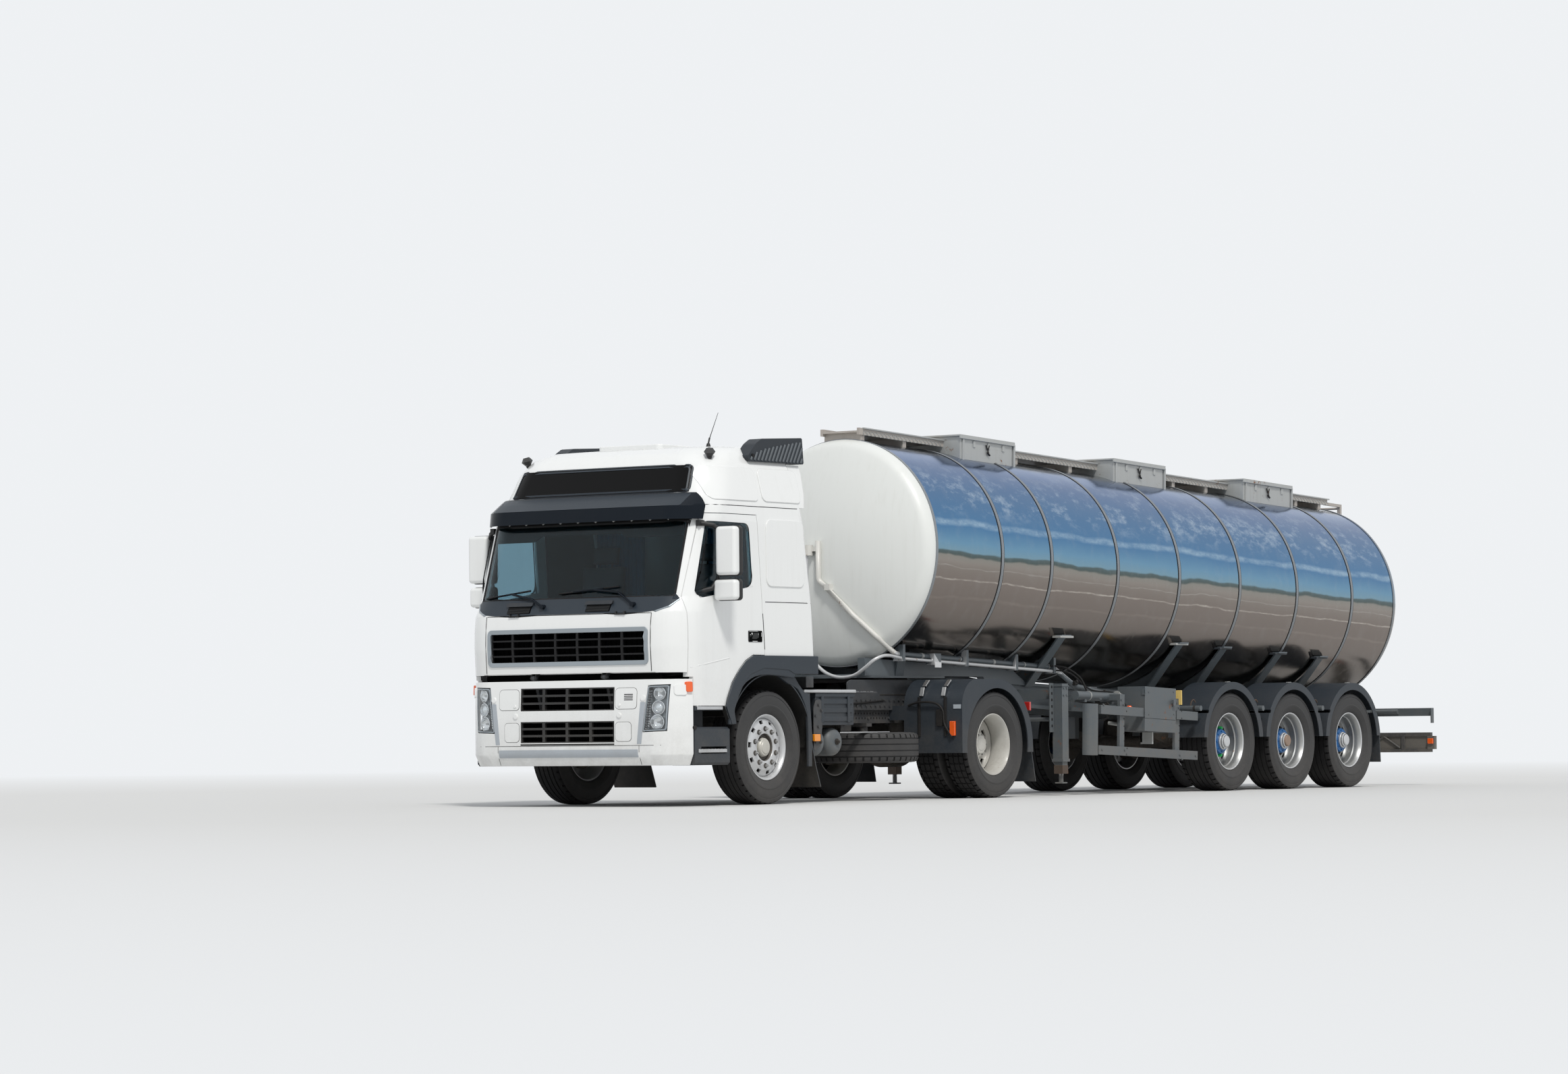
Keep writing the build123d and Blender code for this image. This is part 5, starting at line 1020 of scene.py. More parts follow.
def slit_tread(bm, centre, width, blocks=False):
    """Slits across the shoulders and, on block tread, across the ribs."""
    chosen = []
    for face in bm.faces:
        middle = face.calc_center_median()
        away = abs(middle.y - centre.y)
        radius = math.hypot(middle.x - centre.x, middle.z - centre.z)
        turn = math.atan2(middle.z - centre.z, middle.x - centre.x) / math.tau * TYRE_STEPS
        number = int(turn // 1)
        shoulder = away > width / 2 - 0.056 and radius > 0.5
        rib = radius > 0.5165 and away <= width / 2 - 0.056 and face.calc_area() > 0.0002
        if shoulder and number % 4 == 0 or (blocks and rib and number % 4 == 2):
            chosen.append(face)
    cut_slits(bm, chosen, centre, 0.008)


BLOCK_GROOVES = (0.085, 0.03, -0.03, -0.085)


def spare_wheel():
    """The spare wheel lying flat below its hanger."""
    bm = bmesh.new()
    upright = Matrix.Rotation(math.radians(90), 4, "Z")
    flat = Matrix.Translation(at(-2.3, 0.65, 0.5)) @ Matrix.Rotation(math.radians(90), 4, "X")
    turned(bm, tyre_profile(0.29, BLOCK_GROOVES, 0.011), upright, steps=TYRE_STEPS)
    slit_tread(bm, Vector((0, 0, 0)), 0.29)
    bmesh.ops.transform(bm, matrix=flat, verts=bm.verts)
    new_piece("spare_tyre", bm, "tractor", "tyre_rubber", smooth=30)
    bm = bmesh.new()
    profile = [
        (-0.11, 0.2995), (-0.11, 0.287), (-0.08, 0.268), (0.0, 0.262), (0.08, 0.268), (0.104, 0.285), (0.112, 0.2955),
        (0.108, 0.2995)
    ]
    turned(bm, profile, upright, steps=96)
    disc = [(0.06, 0.263), (0.034, 0.248), (0.008, 0.205), (0.008, 0.14), (0.014, 0.112), (0.014, 0.085)]
    turned(bm, disc, upright, steps=96)
    for number in range(10):
        turn = math.tau * number / 10
        rod(
            bm, (NUT_CIRCLE * math.cos(turn), 0.004, NUT_CIRCLE * math.sin(turn)),
            (NUT_CIRCLE * math.cos(turn), 0.01, NUT_CIRCLE * math.sin(turn)), 0.014, 14, 1
        )
    bmesh.ops.transform(bm, matrix=flat, verts=bm.verts)
    rod(bm, at(-2.3, 0.65, 0.5), at(-2.3, 0.65, 0.712), 0.036, 24, 2)
    slab(bm, at(-2.345, 0.44, 0.7), at(-2.255, 0.71, 0.732), 2)
    new_piece(
        "spare_rim", bm, "tractor", ("rim_white", "black_rubber", "frame_paint"), node="spare_wheel",
        smooth=32
    )


class LORRY_OT_tyres(bpy.types.Operator):
    """Tyres with ribbed tread, slits and stepped sidewalls"""

    bl_idname = "lorry.tyres"
    bl_label = "Tyres"

    def execute(self, context):
        depth = context.scene.lorry_sizes.tread_depth
        rib, broad = (0.075, 0.026, -0.026, -0.075), (0.118, 0.06, 0.0, -0.06, -0.118)
        for side, label in SIDES:
            wheel = "front_wheel_" + label
            tyre(wheel + "_tyre", wheel, 0, 1.02, side, 0.32, rib, depth)
            wheel = "drive_wheels_" + label
            tyre(wheel + "_outer_tyre", wheel, DRIVE_AXLE, 1.105, side, 0.29, BLOCK_GROOVES, depth * 1.2, blocks=True)
            tyre(wheel + "_inner_tyre", wheel, DRIVE_AXLE, 0.76, side, 0.29, BLOCK_GROOVES, depth * 1.2, blocks=True)
            for number, x in enumerate(TRAILER_AXLES, 1):
                wheel = f"trailer_wheel_{number}_{label}"
                tyre(wheel + "_tyre", wheel, x, 1.025, side, 0.38, broad, depth)
        spare_wheel()
        return {"FINISHED"}


def hand_holes(bm, centre, ring, share, push):
    """Ten recesses round the wheel, in a ring of its disc between two radii, drawn near-black as painted shade in the
    holes.
    """
    chosen = []
    for face in bm.faces:
        middle = face.calc_center_median()
        radius = math.hypot(middle.x - centre.x, middle.z - centre.z)
        if not (ring[0] < radius < ring[1] and abs(face.normal.y) > 0.35 and middle.y * push > 0):
            continue
        if abs(middle.y - centre.y) > 0.2:
            continue
        turn = math.atan2(middle.z - centre.z, middle.x - centre.x) / math.tau % 1.0
        if turn * 10 % 1.0 < share:
            chosen.append(face)
    grown = bmesh.ops.extrude_face_region(bm, geom=chosen)
    verts = [item for item in grown["geom"] if isinstance(item, bmesh.types.BMVert)]
    faces = [item for item in grown["geom"] if isinstance(item, bmesh.types.BMFace)]
    bmesh.ops.delete(bm, geom=chosen, context="FACES")
    bmesh.ops.translate(bm, verts=verts, vec=(0, -0.016 * push, 0))
    # The recesses take the near-black: painted shade.
    for face in faces:
        face.material_index = 1


def wheel_nuts(bm, x, y, side, material, length=0.024, stud=0.012, washer=None):
    """Ten wheel nuts with washers and studs, y out to the disc's face."""
    for number in range(10):
        angle = math.tau * (number + 0.5) / 10
        spot = at(x + NUT_CIRCLE * math.cos(angle), side * y, HUB_HEIGHT + NUT_CIRCLE * math.sin(angle))
        out = Vector((0, side, 0))
        rod(bm, spot, spot + out * 0.005, 0.024, 18, material if washer is None else washer)
        rod(bm, spot + out * 0.004, spot + out * length, 0.0165, 6, material)
        rod(bm, spot + out * length, spot + out * (length + stud), 0.0095, 12, material)


def rim_lip(lip):
    """The rolled outer edge that every pressed rim ends with, as (x, radius) points."""
    return [(lip + 0.001, 0.29), (lip + 0.002, 0.2955), (lip, 0.2995), (lip - 0.01, 0.3005)]


def steer_rim(wheel, side):
    """A silver steer rim with a ring of slots and a stepped hub."""
    bm = bmesh.new()
    middle, lip = 1.02, 0.125
    face = lip - 0.018
    profile = [
        (-lip, 0.299), (-lip - 0.002, 0.292), (-lip + 0.002, 0.286), (-0.08, 0.268), (0.02, 0.262), (0.07, 0.264),
        (0.092, 0.268), (lip - 0.016, 0.276), (lip - 0.004, 0.284), *rim_lip(lip)
    ]
    turned(bm, profile, hub_matrix(0, middle, side), steps=120)
    disc = [
        (0.06, 0.264), (0.082, 0.262), (0.09, 0.254), (0.094, 0.246), (0.099, 0.228), (face, 0.214),
        (face + 0.003, 0.206), (face + 0.003, 0.134), (face, 0.127), (face - 0.006, 0.123), (face - 0.045, 0.119),
        (face - 0.052, 0.112), (face - 0.052, 0.092), (face - 0.03, 0.088), (face - 0.006, 0.082),
        (face + 0.002, 0.074), (face + 0.004, 0.06), (face + 0.01, 0.056), (face + 0.012, 0.03), (face + 0.012, 0.0)
    ]
    turned(bm, disc, hub_matrix(0, middle, side), steps=120)
    bmesh.ops.recalc_face_normals(bm, faces=bm.faces)
    hand_holes(bm, at(0, side * middle, HUB_HEIGHT), (0.215, 0.247), 0.3, side)
    wheel_nuts(bm, 0, middle + face + 0.002, side, 2, washer=4)
    for face in bm.faces:
        spot = face.calc_center_median() - at(0, 0, HUB_HEIGHT)
        radius = math.hypot(spot.x, spot.z)
        if face.material_index == 0 and 0.0885 < radius < 0.1235:
            face.material_index = 3
        if face.material_index == 0 and radius < 0.0885:
            face.material_index = 5
    new_piece(
        wheel + "_rim", bm, wheel, ("rim_silver", "core_black", "steel", "hub_dark", "cast_iron", "cap_cream"),
        node=wheel, smooth=32, recalc=False
    )


def drive_rim(wheel, side):
    """A deep pale drive rim with hand holes, and its inner twin."""
    bm = bmesh.new()
    outer, inner, lip = 1.105, 0.76, 0.11
    for y in (outer, inner):
        profile = [
            (-lip, 0.299), (-lip, 0.287), (-lip + 0.03, 0.268), (0.0, 0.262), (lip - 0.03, 0.268), (lip - 0.006, 0.285),
            *rim_lip(lip)
        ]
        turned(bm, profile, hub_matrix(DRIVE_AXLE, y, side), steps=120)
    joint = (outer + inner) / 2 - outer
    disc = [
        (joint + 0.085, 0.263), (joint + 0.06, 0.259), (joint + 0.044, 0.248), (joint + 0.024, 0.226),
        (joint + 0.014, 0.205), (joint + 0.013, 0.134), (joint + 0.014, 0.126), (joint + 0.12, 0.119),
        (joint + 0.128, 0.112), (joint + 0.133, 0.092), (joint + 0.142, 0.086), (joint + 0.143, 0.06),
        (joint + 0.146, 0.056), (joint + 0.146, 0.0)
    ]
    turned(bm, disc, hub_matrix(DRIVE_AXLE, outer, side), steps=120)
    bmesh.ops.recalc_face_normals(bm, faces=bm.faces)
    hand_holes(bm, at(DRIVE_AXLE, side * outer, HUB_HEIGHT), (0.222, 0.252), 0.5, side)
    wheel_nuts(bm, DRIVE_AXLE, outer + joint + 0.012, side, 2)
    for number in range(10):
        angle = math.tau * number / 10
        spot = at(
            DRIVE_AXLE + 0.101 * math.cos(angle), side * (outer + joint + 0.128), HUB_HEIGHT + 0.101 * math.sin(angle)
        )
        rod(bm, spot, spot + Vector((0, side * 0.01, 0)), 0.0085, 6, 2)
    new_piece(
        wheel + "_rims", bm, wheel, ("rim_white", "core_black", "nut_steel"), node=wheel, smooth=32,
        recalc=False
    )


def trailer_rim(wheel, x, side):
    """A deep trailer rim with a painted hub and a bright cap."""
    bm = bmesh.new()
    middle, lip = 1.025, 0.155
    disc_x = lip - 0.19
    profile = [
        (-lip, 0.299), (-lip, 0.287), (-lip + 0.03, 0.268), (-0.06, 0.262), (disc_x + 0.03, 0.262),
        (lip - 0.105, 0.262), (lip - 0.096, 0.255), (lip - 0.086, 0.255), (lip - 0.076, 0.264), (lip - 0.05, 0.266),
        (lip - 0.022, 0.272), (lip - 0.006, 0.285), *rim_lip(lip)
    ]
    turned(bm, profile, hub_matrix(x, middle, side), steps=120)
    disc = [
        (disc_x + 0.04, 0.262), (disc_x + 0.02, 0.257), (disc_x + 0.006, 0.246), (disc_x + 0.002, 0.222),
        (disc_x, 0.212), (disc_x, 0.124)
    ]
    turned(bm, disc, hub_matrix(x, middle, side), steps=120)
    bmesh.ops.recalc_face_normals(bm, faces=bm.faces)
    hand_holes(bm, at(x, side * middle, HUB_HEIGHT), (0.219, 0.248), 0.45, side)
    hub = [
        (disc_x - 0.002, 0.158), (disc_x + 0.012, 0.15), (disc_x + 0.022, 0.138), (disc_x + 0.084, 0.13),
        (disc_x + 0.094, 0.124), (disc_x + 0.098, 0.084)
    ]
    turned(bm, hub, hub_matrix(x, middle, side), steps=72, material=3)
    cap = [
        (disc_x + 0.094, 0.084), (disc_x + 0.1, 0.087), (disc_x + 0.118, 0.086), (disc_x + 0.122, 0.078),
        (disc_x + 0.128, 0.075), (disc_x + 0.142, 0.074), (disc_x + 0.147, 0.064), (disc_x + 0.16, 0.061),
        (disc_x + 0.166, 0.052), (disc_x + 0.167, 0.0)
    ]
    turned(bm, cap, hub_matrix(x, middle, side), steps=72, material=2)
    wheel_nuts(bm, x, middle + disc_x, side, 6, length=0.02, stud=0.008)
    for number in range(8):
        angle = math.tau * number / 8
        spot = at(x + 0.105 * math.cos(angle), side * (middle + disc_x + 0.095), HUB_HEIGHT + 0.105 * math.sin(angle))
        rod(bm, spot, spot + Vector((0, side * 0.01, 0)), 0.0075, 6, 3)
    if x == TRAILER_AXLES[0]:
        for turn in (1.85, -1.75):
            spot = at(x + 0.146 * math.cos(turn), side * (middle + disc_x + 0.02), HUB_HEIGHT + 0.146 * math.sin(turn))
            rod(bm, spot, spot + Vector((0, side * 0.05, 0)), 0.019, 16, 5)
            rod(bm, spot + Vector((0, side * 0.048, 0)), spot + Vector((0, side * 0.06, 0)), 0.013, 12, 5)
    centre = at(x, 0, HUB_HEIGHT)
    for face in bm.faces:
        spot = face.calc_center_median() - centre
        if face.material_index == 0 and math.hypot(spot.x, spot.z) > 0.283:
            face.material_index = 4
        if face.material_index == 2 and math.hypot(spot.x, spot.z) < 0.063 and x == TRAILER_AXLES[1]:
            face.material_index = 7
    new_piece(
        wheel + "_rim", bm, wheel,
        ("rim_trailer", "core_black", "chrome_dull", "hub_blue", "rim_silver", "hub_green", "cast_iron", "cap_brown"),
        node=wheel, smooth=32, recalc=False
    )


class LORRY_OT_rims(bpy.types.Operator):
    """Pressed rims with nuts, hand holes, hubs and caps"""

    bl_idname = "lorry.rims"
    bl_label = "Rims"

    def execute(self, context):
        for side, label in SIDES:
            steer_rim("front_wheel_" + label, side)
            drive_rim("drive_wheels_" + label, side)
            for number, x in enumerate(TRAILER_AXLES, 1):
                trailer_rim(f"trailer_wheel_{number}_{label}", x, side)
        return {"FINISHED"}


def ring(bm, corners, axis, radius, width, low, high, cuts=5):
    """A flat frame with rounded corners along an outline of (u, v) pairs, from low to high on axis."""
    order = {"X": lambda u, v: (low, u, v), "Y": lambda u, v: (u, low, v), "Z": lambda u, v: (u, v, low)}
    before = set(bm.faces)
    verts = [bm.verts.new(order[axis](u, v)) for u, v in corners]
    face = bm.faces.new(verts)
    if radius:
        rounded = bmesh.ops.bevel(
            bm, geom=verts, offset=radius, segments=5, affect="VERTICES", profile=0.5, material=-1
        )
        face = max({f for v in rounded["verts"] for f in v.link_faces}, key=lambda f: f.calc_area())
    made = bmesh.ops.inset_region(bm, faces=[face], thickness=width, use_even_offset=True, use_boundary=True)
    faces = made["faces"]
    bmesh.ops.delete(bm, geom=[face], context="FACES")
    long_edges = list({e for f in faces for e in f.edges if e.calc_length() > 0.12 and len(e.link_faces) == 1})
    bmesh.ops.subdivide_edges(bm, edges=long_edges, cuts=cuts, use_grid_fill=True)
    faces = [f for f in bm.faces if f not in before]
    grown = bmesh.ops.extrude_face_region(bm, geom=faces, use_keep_orig=True)
    tops = [item for item in grown["geom"] if isinstance(item, bmesh.types.BMVert)]
    span = {"X": (high - low, 0, 0), "Y": (0, high - low, 0), "Z": (0, 0, high - low)}[axis]
    bmesh.ops.translate(bm, verts=tops, vec=span)


def plate(bm, corners, axis, low, high, radius, material=0, pitch=0.08):
    """A rounded plate cut into small faces so that it can follow a bowed surface."""
    before = set(bm.verts)
    rounded_plate(bm, corners, axis, low, high, radius, material=material)
    for direction in ((0, 1, 0), (1, 0, 0), (0, 0, 1)):
        verts = [v for v in bm.verts if v not in before]
        line = Vector(direction)
        if "XYZ".index(axis) == direction.index(1):
            continue
        span = [v.co.dot(line) for v in verts]
        low_end, high_end = min(span), max(span)
        count = int((high_end - low_end) / pitch)
        for step in range(1, count + 1):
            spot = low_end + (high_end - low_end) * step / (count + 1)
            verts = [v for v in bm.verts if v not in before]
            faces = list({f for v in verts for f in v.link_faces})
            edges = list({e for v in verts for e in v.link_edges})
            bmesh.ops.bisect_plane(bm, geom=verts + edges + faces, plane_co=line * spot, plane_no=line)
    return [v for v in bm.verts if v not in before]


def box_corners(low_u, high_u, low_v, high_v):
    """The four corners of a rectangle as (u, v) pairs."""
    return [(low_u, low_v), (high_u, low_v), (high_u, high_v), (low_u, high_v)]


def moved(corners):
    """Outline points measured from the front axle, moved into the lorry's own frame."""
    return [(u + SHIFT, v) for u, v in corners]


def follow(bm, points, nodes, ahead, stand, radius, material=0, segments=6):
    """A bar along a surface through some points; ahead is the way that the surface faces."""
    ahead = Vector(ahead)
    last = None
    for start, end in zip(points, points[1:]):
        count = max(1, int((end - start).length / 0.08))
        for step in range(count + 1):
            hit = first_hit(nodes, start.lerp(end, step / count) + ahead * 20, -ahead)
            if hit is None or (last and (hit + ahead * stand - last).length > 0.2):
                last = None
                continue
            spot = hit + ahead * stand
            if last and (spot - last).length > 0.001:
                rod(bm, last, spot, radius, segments, material)
            last = spot


def window_outline():
    """The door window's outline, each corner rounded by its own radius; CORNER_STEPS + 1 points a corner."""
    points = []
    for number, radius in enumerate(WINDOW_RADII):
        corner = Vector(WINDOW[number])
        before = Vector(WINDOW[number - 1]) - corner
        after = Vector(WINDOW[(number + 1) % len(WINDOW)]) - corner
        room = 0.46 * min(before.length, after.length)
        reach = min(radius / math.tan(before.angle(after) / 2), room)
        start, end = corner + before.normalized() * reach, corner + after.normalized() * reach
        for step in range(CORNER_STEPS + 1):
            share = step / CORNER_STEPS
            points.append(tuple(start * (1 - share) ** 2 + corner * 2 * share * (1 - share) + end * share ** 2))
    return points


def front_seams():
    """Dark seams beside the hatch and the seal round the windscreen."""
    bm = bmesh.new()
    for side in (1, -1):
        follow(
            bm, [Vector((0, side * 0.932, 1.205)), Vector((0, side * 0.932, 1.722))], ["cab_shell"], (1, 0, 0), 0.0,
            0.0032
        )
    new_piece("hatch_seams", bm, "cab", "black_rubber")
    bm = bmesh.new()
    ring(
        bm, [(-1.095, 1.862), (1.095, 1.862), (1.089, 2.546), (-1.089, 2.546)], "X", 0.03, 0.016, -0.002, 0.004, cuts=9
    )
    wrap_front(bm, ["windscreen", "cab_shell"])
    new_piece("windscreen_seal", bm, "cab", "black_rubber")


def shaded_grille_cores():
    """Radiator cores behind the grilles, drawn near-black as painted shade, and a near-black backing that paints the
    shade in the gap under the hatch.
    """
    bm = bmesh.new()
    face = at(1.385, 0, 0).x
    slab(bm, (face, -0.92, 1.205), (face + 0.004, 0.92, 1.64))
    for step in range(30):
        y = -0.855 + step * 0.058
        slab(bm, (face + 0.003, y, 1.255), (face + 0.012, y + 0.02, 1.595))
    # A near-black backing behind the gap under the hatch: painted shade.
    slab(bm, (face - 0.02, -0.985, 1.085), (face - 0.012, 0.985, 1.206))
    new_piece("upper_core", bm, "cab", "core_black", smooth=30)
    bm = bmesh.new()
    face = at(1.262, 0, 0).x
    slab(bm, (face - 0.008, -0.8, 0.5), (face, 0.8, 1.115))
    for step in range(38):
        y = -0.55 + step * 0.029
        slab(bm, (face - 0.001, y, 0.57), (face + 0.006, y + 0.012, 1.08))
    new_piece("lower_core", bm, "tractor", "core_black", smooth=30)


def cowl_strip():
    """Dark strip under the windscreen with two slatted intakes and hoods; a silver rod along its edge is a painted
    highlight and the intakes' near-black backs are painted shade.
    """
    bm = bmesh.new()
    half = [(0.82, 1.726), (0.97, 1.74), (1.07, 1.78), (1.13, 1.845), (1.138, 1.892), (1.088, 1.892), (1.088, 1.866)]
    plate(bm, half + [(-y, z) for y, z in reversed(half)], "X", 0.0, 0.006, 0, pitch=0.06)
    wrap_front(bm, ["cab_shell"])
    new_piece("cowl_strip", bm, "cab", "dark_plastic", node="cab_cowl")
    # A silver rod along the cowl's edge: a painted highlight.
    bm = bmesh.new()
    for side in (1, -1):
        trim = [Vector((0, y * side, z - 0.006)) for y, z in half[:4]]
        follow(bm, trim, ["cab_shell"], (1, 0, 0), 0.002, 0.009, segments=8)
    new_piece("cowl_highlight_trims", bm, "cab", "silver_trim")
    bm = bmesh.new()
    for middle in (-0.565, 0.335):
        # The near-black back of each intake: painted shade behind the slats.
        plate(bm, box_corners(middle - 0.135, middle + 0.135, 1.742, 1.808), "X", 0.004, 0.008, 0.008, 1)
        for row in range(6):
            z = 1.747 + row * 0.0105
            plate(bm, box_corners(middle - 0.128, middle + 0.128, z, z + 0.005), "X", 0.007, 0.014, 0.002)
        plate(bm, box_corners(middle - 0.15, middle + 0.15, 1.808, 1.842), "X", 0.004, 0.03, 0.012, 2)
    wrap_front(bm, ["cab_shell"])
    new_piece("cowl_intakes", bm, "cab", ("black_plastic", "core_black", "ribbed_plastic"), smooth=30)


def wipers():
    """Two wipers parked along the foot of the windscreen."""
    bm = bmesh.new()
    for points in (
        ((0.717, 1.8), (0.52, 1.915), (0.24, 1.942), (-0.15, 1.914), (0.51, 1.966)),
        ((-0.29, 1.8), (-0.44, 1.872), (-0.7, 1.924), (-1.01, 1.89), (-0.49, 1.95))
    ):
        pivot, elbow, middle, low, high = (Vector((0, y, z)) for y, z in points)
        glass = ["windscreen", "cab_shell"]
        follow(bm, [pivot, elbow, middle], glass, (1, 0, 0), 0.034, 0.01, segments=8)
        follow(bm, [low, high], glass, (1, 0, 0), 0.014, 0.0085, 1, 6)
        follow(bm, [low.lerp(high, 0.25), low.lerp(high, 0.75)], glass, (1, 0, 0), 0.026, 0.007, segments=6)
        hub = first_hit(glass, pivot + Vector((20, 0, 0)), Vector((-1, 0, 0)))
        rod(bm, hub + Vector((0.004, 0, 0)), hub + Vector((0.048, 0, 0)), 0.021, 20)
    new_piece("wipers", bm, "cab", ("gloss_plastic", "black_rubber"))


def roof_panel():
    """Narrow dark frame round the black roof panel."""
    bm = bmesh.new()
    corners = [(-1.01, 2.803), (1.01, 2.803), (0.97, 3.064), (-0.97, 3.064)]
    ring(bm, corners, "X", 0.05, 0.032, -0.003, 0.006, cuts=9)
    wrap_front(bm, ["roof_front_panel", "cab_shell"])
    new_piece("roof_panel_frame", bm, "cab", "dark_plastic", edge=0.003)


def visor_band():
    """Matt upper band of the sun visor."""
    low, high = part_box("sun_visor")
    bm = bmesh.new()
    middle = low.z + (high.z - low.z) * 0.5
    plate(bm, box_corners(-1.06, 1.06, middle, high.z - 0.01), "X", -0.001, 0.004, 0.012)
    wrap_front(bm, ["sun_visor"])
    new_piece("visor_band", bm, "cab", "dark_plastic")


class LORRY_OT_cab_front(bpy.types.Operator):
    """Grille frame, seams, cowl vents, wiper arms and roof panel frame"""

    bl_idname = "lorry.cab_front"
    bl_label = "Cab front"

    def execute(self, context):
        bm = bmesh.new()
        ring(bm, box_corners(-0.905, 0.905, 1.262, 1.598), "X", 0.045, 0.04, -0.004, 0.01)
        wrap_front(bm, ["front_hatch", "upper_grille"])
        new_piece("grille_frame", bm, "hatch", "silver_trim", edge=0.006, cuts=3)
        front_seams()
        shaded_grille_cores()
        cowl_strip()
        wipers()
        roof_panel()
        visor_band()
        return {"FINISHED"}


def bumper_cap(bm, y, z, radius):
    """A low round cap on the bumper."""
    rod(bm, (-0.002, y, z), (0.006, y, z), radius, 28)
    rod(bm, (0.005, y, z), (0.01, y, z), radius * 0.92, 28, end_radius=radius * 0.72)


def panel_gap(bm, corners):
    """The dark gap round a panel."""
    us, vs = [c[0] for c in corners], [c[1] for c in corners]
    grown = box_corners(min(us) - 0.003, max(us) + 0.003, min(vs) - 0.003, max(vs) + 0.003)
    ring(bm, grown, "X", 0.037, 0.004, -0.001, 0.0012, cuts=4)


class LORRY_OT_bumper(bpy.types.Operator):
    """Panels, caps, slots, seams and painted shade strips of the front bumper"""

    bl_idname = "lorry.bumper"
    bl_label = "Bumper"

    def execute(self, context):
        bm = bmesh.new()
        for side in (1, -1):
            panel = box_corners(0.545 * side, 0.775 * side, 0.872, 1.056)
            plate(bm, panel, "X", -0.001, 0.0035, 0.035)
            panel = box_corners(0.545 * side, 0.715 * side, 0.585, 0.755)
            plate(bm, panel, "X", -0.001, 0.0035, 0.035)
            for y, z, radius in ((0.843, 0.965, 0.029), (0.585, 0.815, 0.028)):
                bumper_cap(bm, y * side, z, radius)
            bumper_cap(bm, 0.59 * side, 0.905, 0.016)
        wrap_front(bm, ["front_bumper"])
        new_piece("bumper_panels", bm, "tractor", "bumper_paint", edge=0.0015)
        bm = bmesh.new()
        for side in (1, -1):
            panel_gap(bm, box_corners(0.545 * side, 0.775 * side, 0.872, 1.056))
            panel_gap(bm, box_corners(0.545 * side, 0.715 * side, 0.585, 0.755))
            seam = box_corners(0.795 * side, 0.799 * side, 0.375, 0.546)
            plate(bm, seam, "X", -0.001, 0.001, 0.001)
        plate(bm, box_corners(-1.02, 1.02, 0.545, 0.549), "X", -0.001, 0.001, 0.001)
        plate(bm, box_corners(-0.53, 0.53, 0.553, 0.566), "X", -0.001, 0.002, 0.003)
        for row in range(4):
            z = 0.948 + row * 0.016
            plate(bm, box_corners(0.64, 0.735, z, z + 0.008), "X", -0.001, 0.0045, 0.003)
        wrap_front(bm, ["front_bumper"])
        new_piece("bumper_seams", bm, "tractor", "black_rubber")
        # Pale blue-grey strips under the grilles and beside the headlamps: painted shading and road reflection on
        # downward-facing bevels.
        bm = bmesh.new()
        plate(bm, box_corners(-0.785, 0.785, 0.442, 0.512), "X", -0.003, 0.0035, 0.004, pitch=0.022)
        for side in (1, -1):
            plate(
                bm, [(0.775 * side, 0.56), (0.822 * side, 0.56), (0.868 * side, 0.93), (0.815 * side, 0.93)], "X",
                -0.001, 0.0025, 0.004
            )
        wrap_front(bm, ["front_bumper"])
        new_piece("bumper_shade_strips", bm, "tractor", "grey_strip", edge=0.001)
        return {"FINISHED"}


LAMP_NODES = ["tractor_lamps", "front_bumper"]
LAMP_OUTLINE = ((0.838, 0.67), (1.066, 0.68), (1.088, 1.077), (0.896, 1.07))


def lamp_inside(label, side, corners):
    """The chromed tray with two bowls, a projector and a ribbed indicator."""
    bm = bmesh.new()
    plate(bm, corners, "X", -0.075, -0.07, 0.02, pitch=0.05)
    wrap_front(bm, LAMP_NODES)
    spots = ((0.985, 1.005, 0.052), (0.975, 0.88, 0.056), (0.962, 0.752, 0.06))
    for number, (y, z, radius) in enumerate(spots):
        hit = from_front(LAMP_NODES, y * side, z)
        place = Matrix.Translation((hit.x - 0.066, y * side, z)) @ Matrix.Rotation(math.radians(14 * side), 4, "Z")
        bowl = [
            (0.04, radius + 0.006), (0.042, radius), (0.03, radius * 0.94), (0.014, radius * 0.78),
            (0.004, radius * 0.55), (0.0, radius * 0.3), (0.0, 0.0)
        ]
        turned(bm, bowl, place, steps=48, material=1)
        if number == 1:
            dome = [
                (0.03, radius * 0.62), (0.036, radius * 0.6), (0.044, radius * 0.45), (0.049, radius * 0.22),
                (0.05, 0.0)
            ]
            turned(bm, dome, place, steps=36, material=3)
            turned(
                bm, [(0.0, radius * 0.7), (0.034, radius * 0.66), (0.034, radius * 0.6), (0.0, radius * 0.6)], place,
                steps=36, material=1
            )
        else:
            bulb = [(0.0, 0.01), (0.026, 0.009), (0.034, 0.004), (0.035, 0.0)]
            turned(bm, bulb, place, steps=20, material=2)
    for row in range(16):
        z = 0.7 + row * 0.022
        y = (0.865 + (z - 0.7) * 0.105) * side
        hit = from_front(LAMP_NODES, y, z)
        slab(
            bm, (hit.x - 0.06, y - 0.022, z - 0.008), (hit.x - 0.028, y + 0.022, z + 0.008), 1,
            turn=Matrix.Rotation(math.radians(20), 4, "Y")
        )
    new_piece(
        "headlamp_inside_" + label, bm, "tractor", ("silver_trim", "chrome", "white_lens", "mirror_glass"), smooth=35
    )


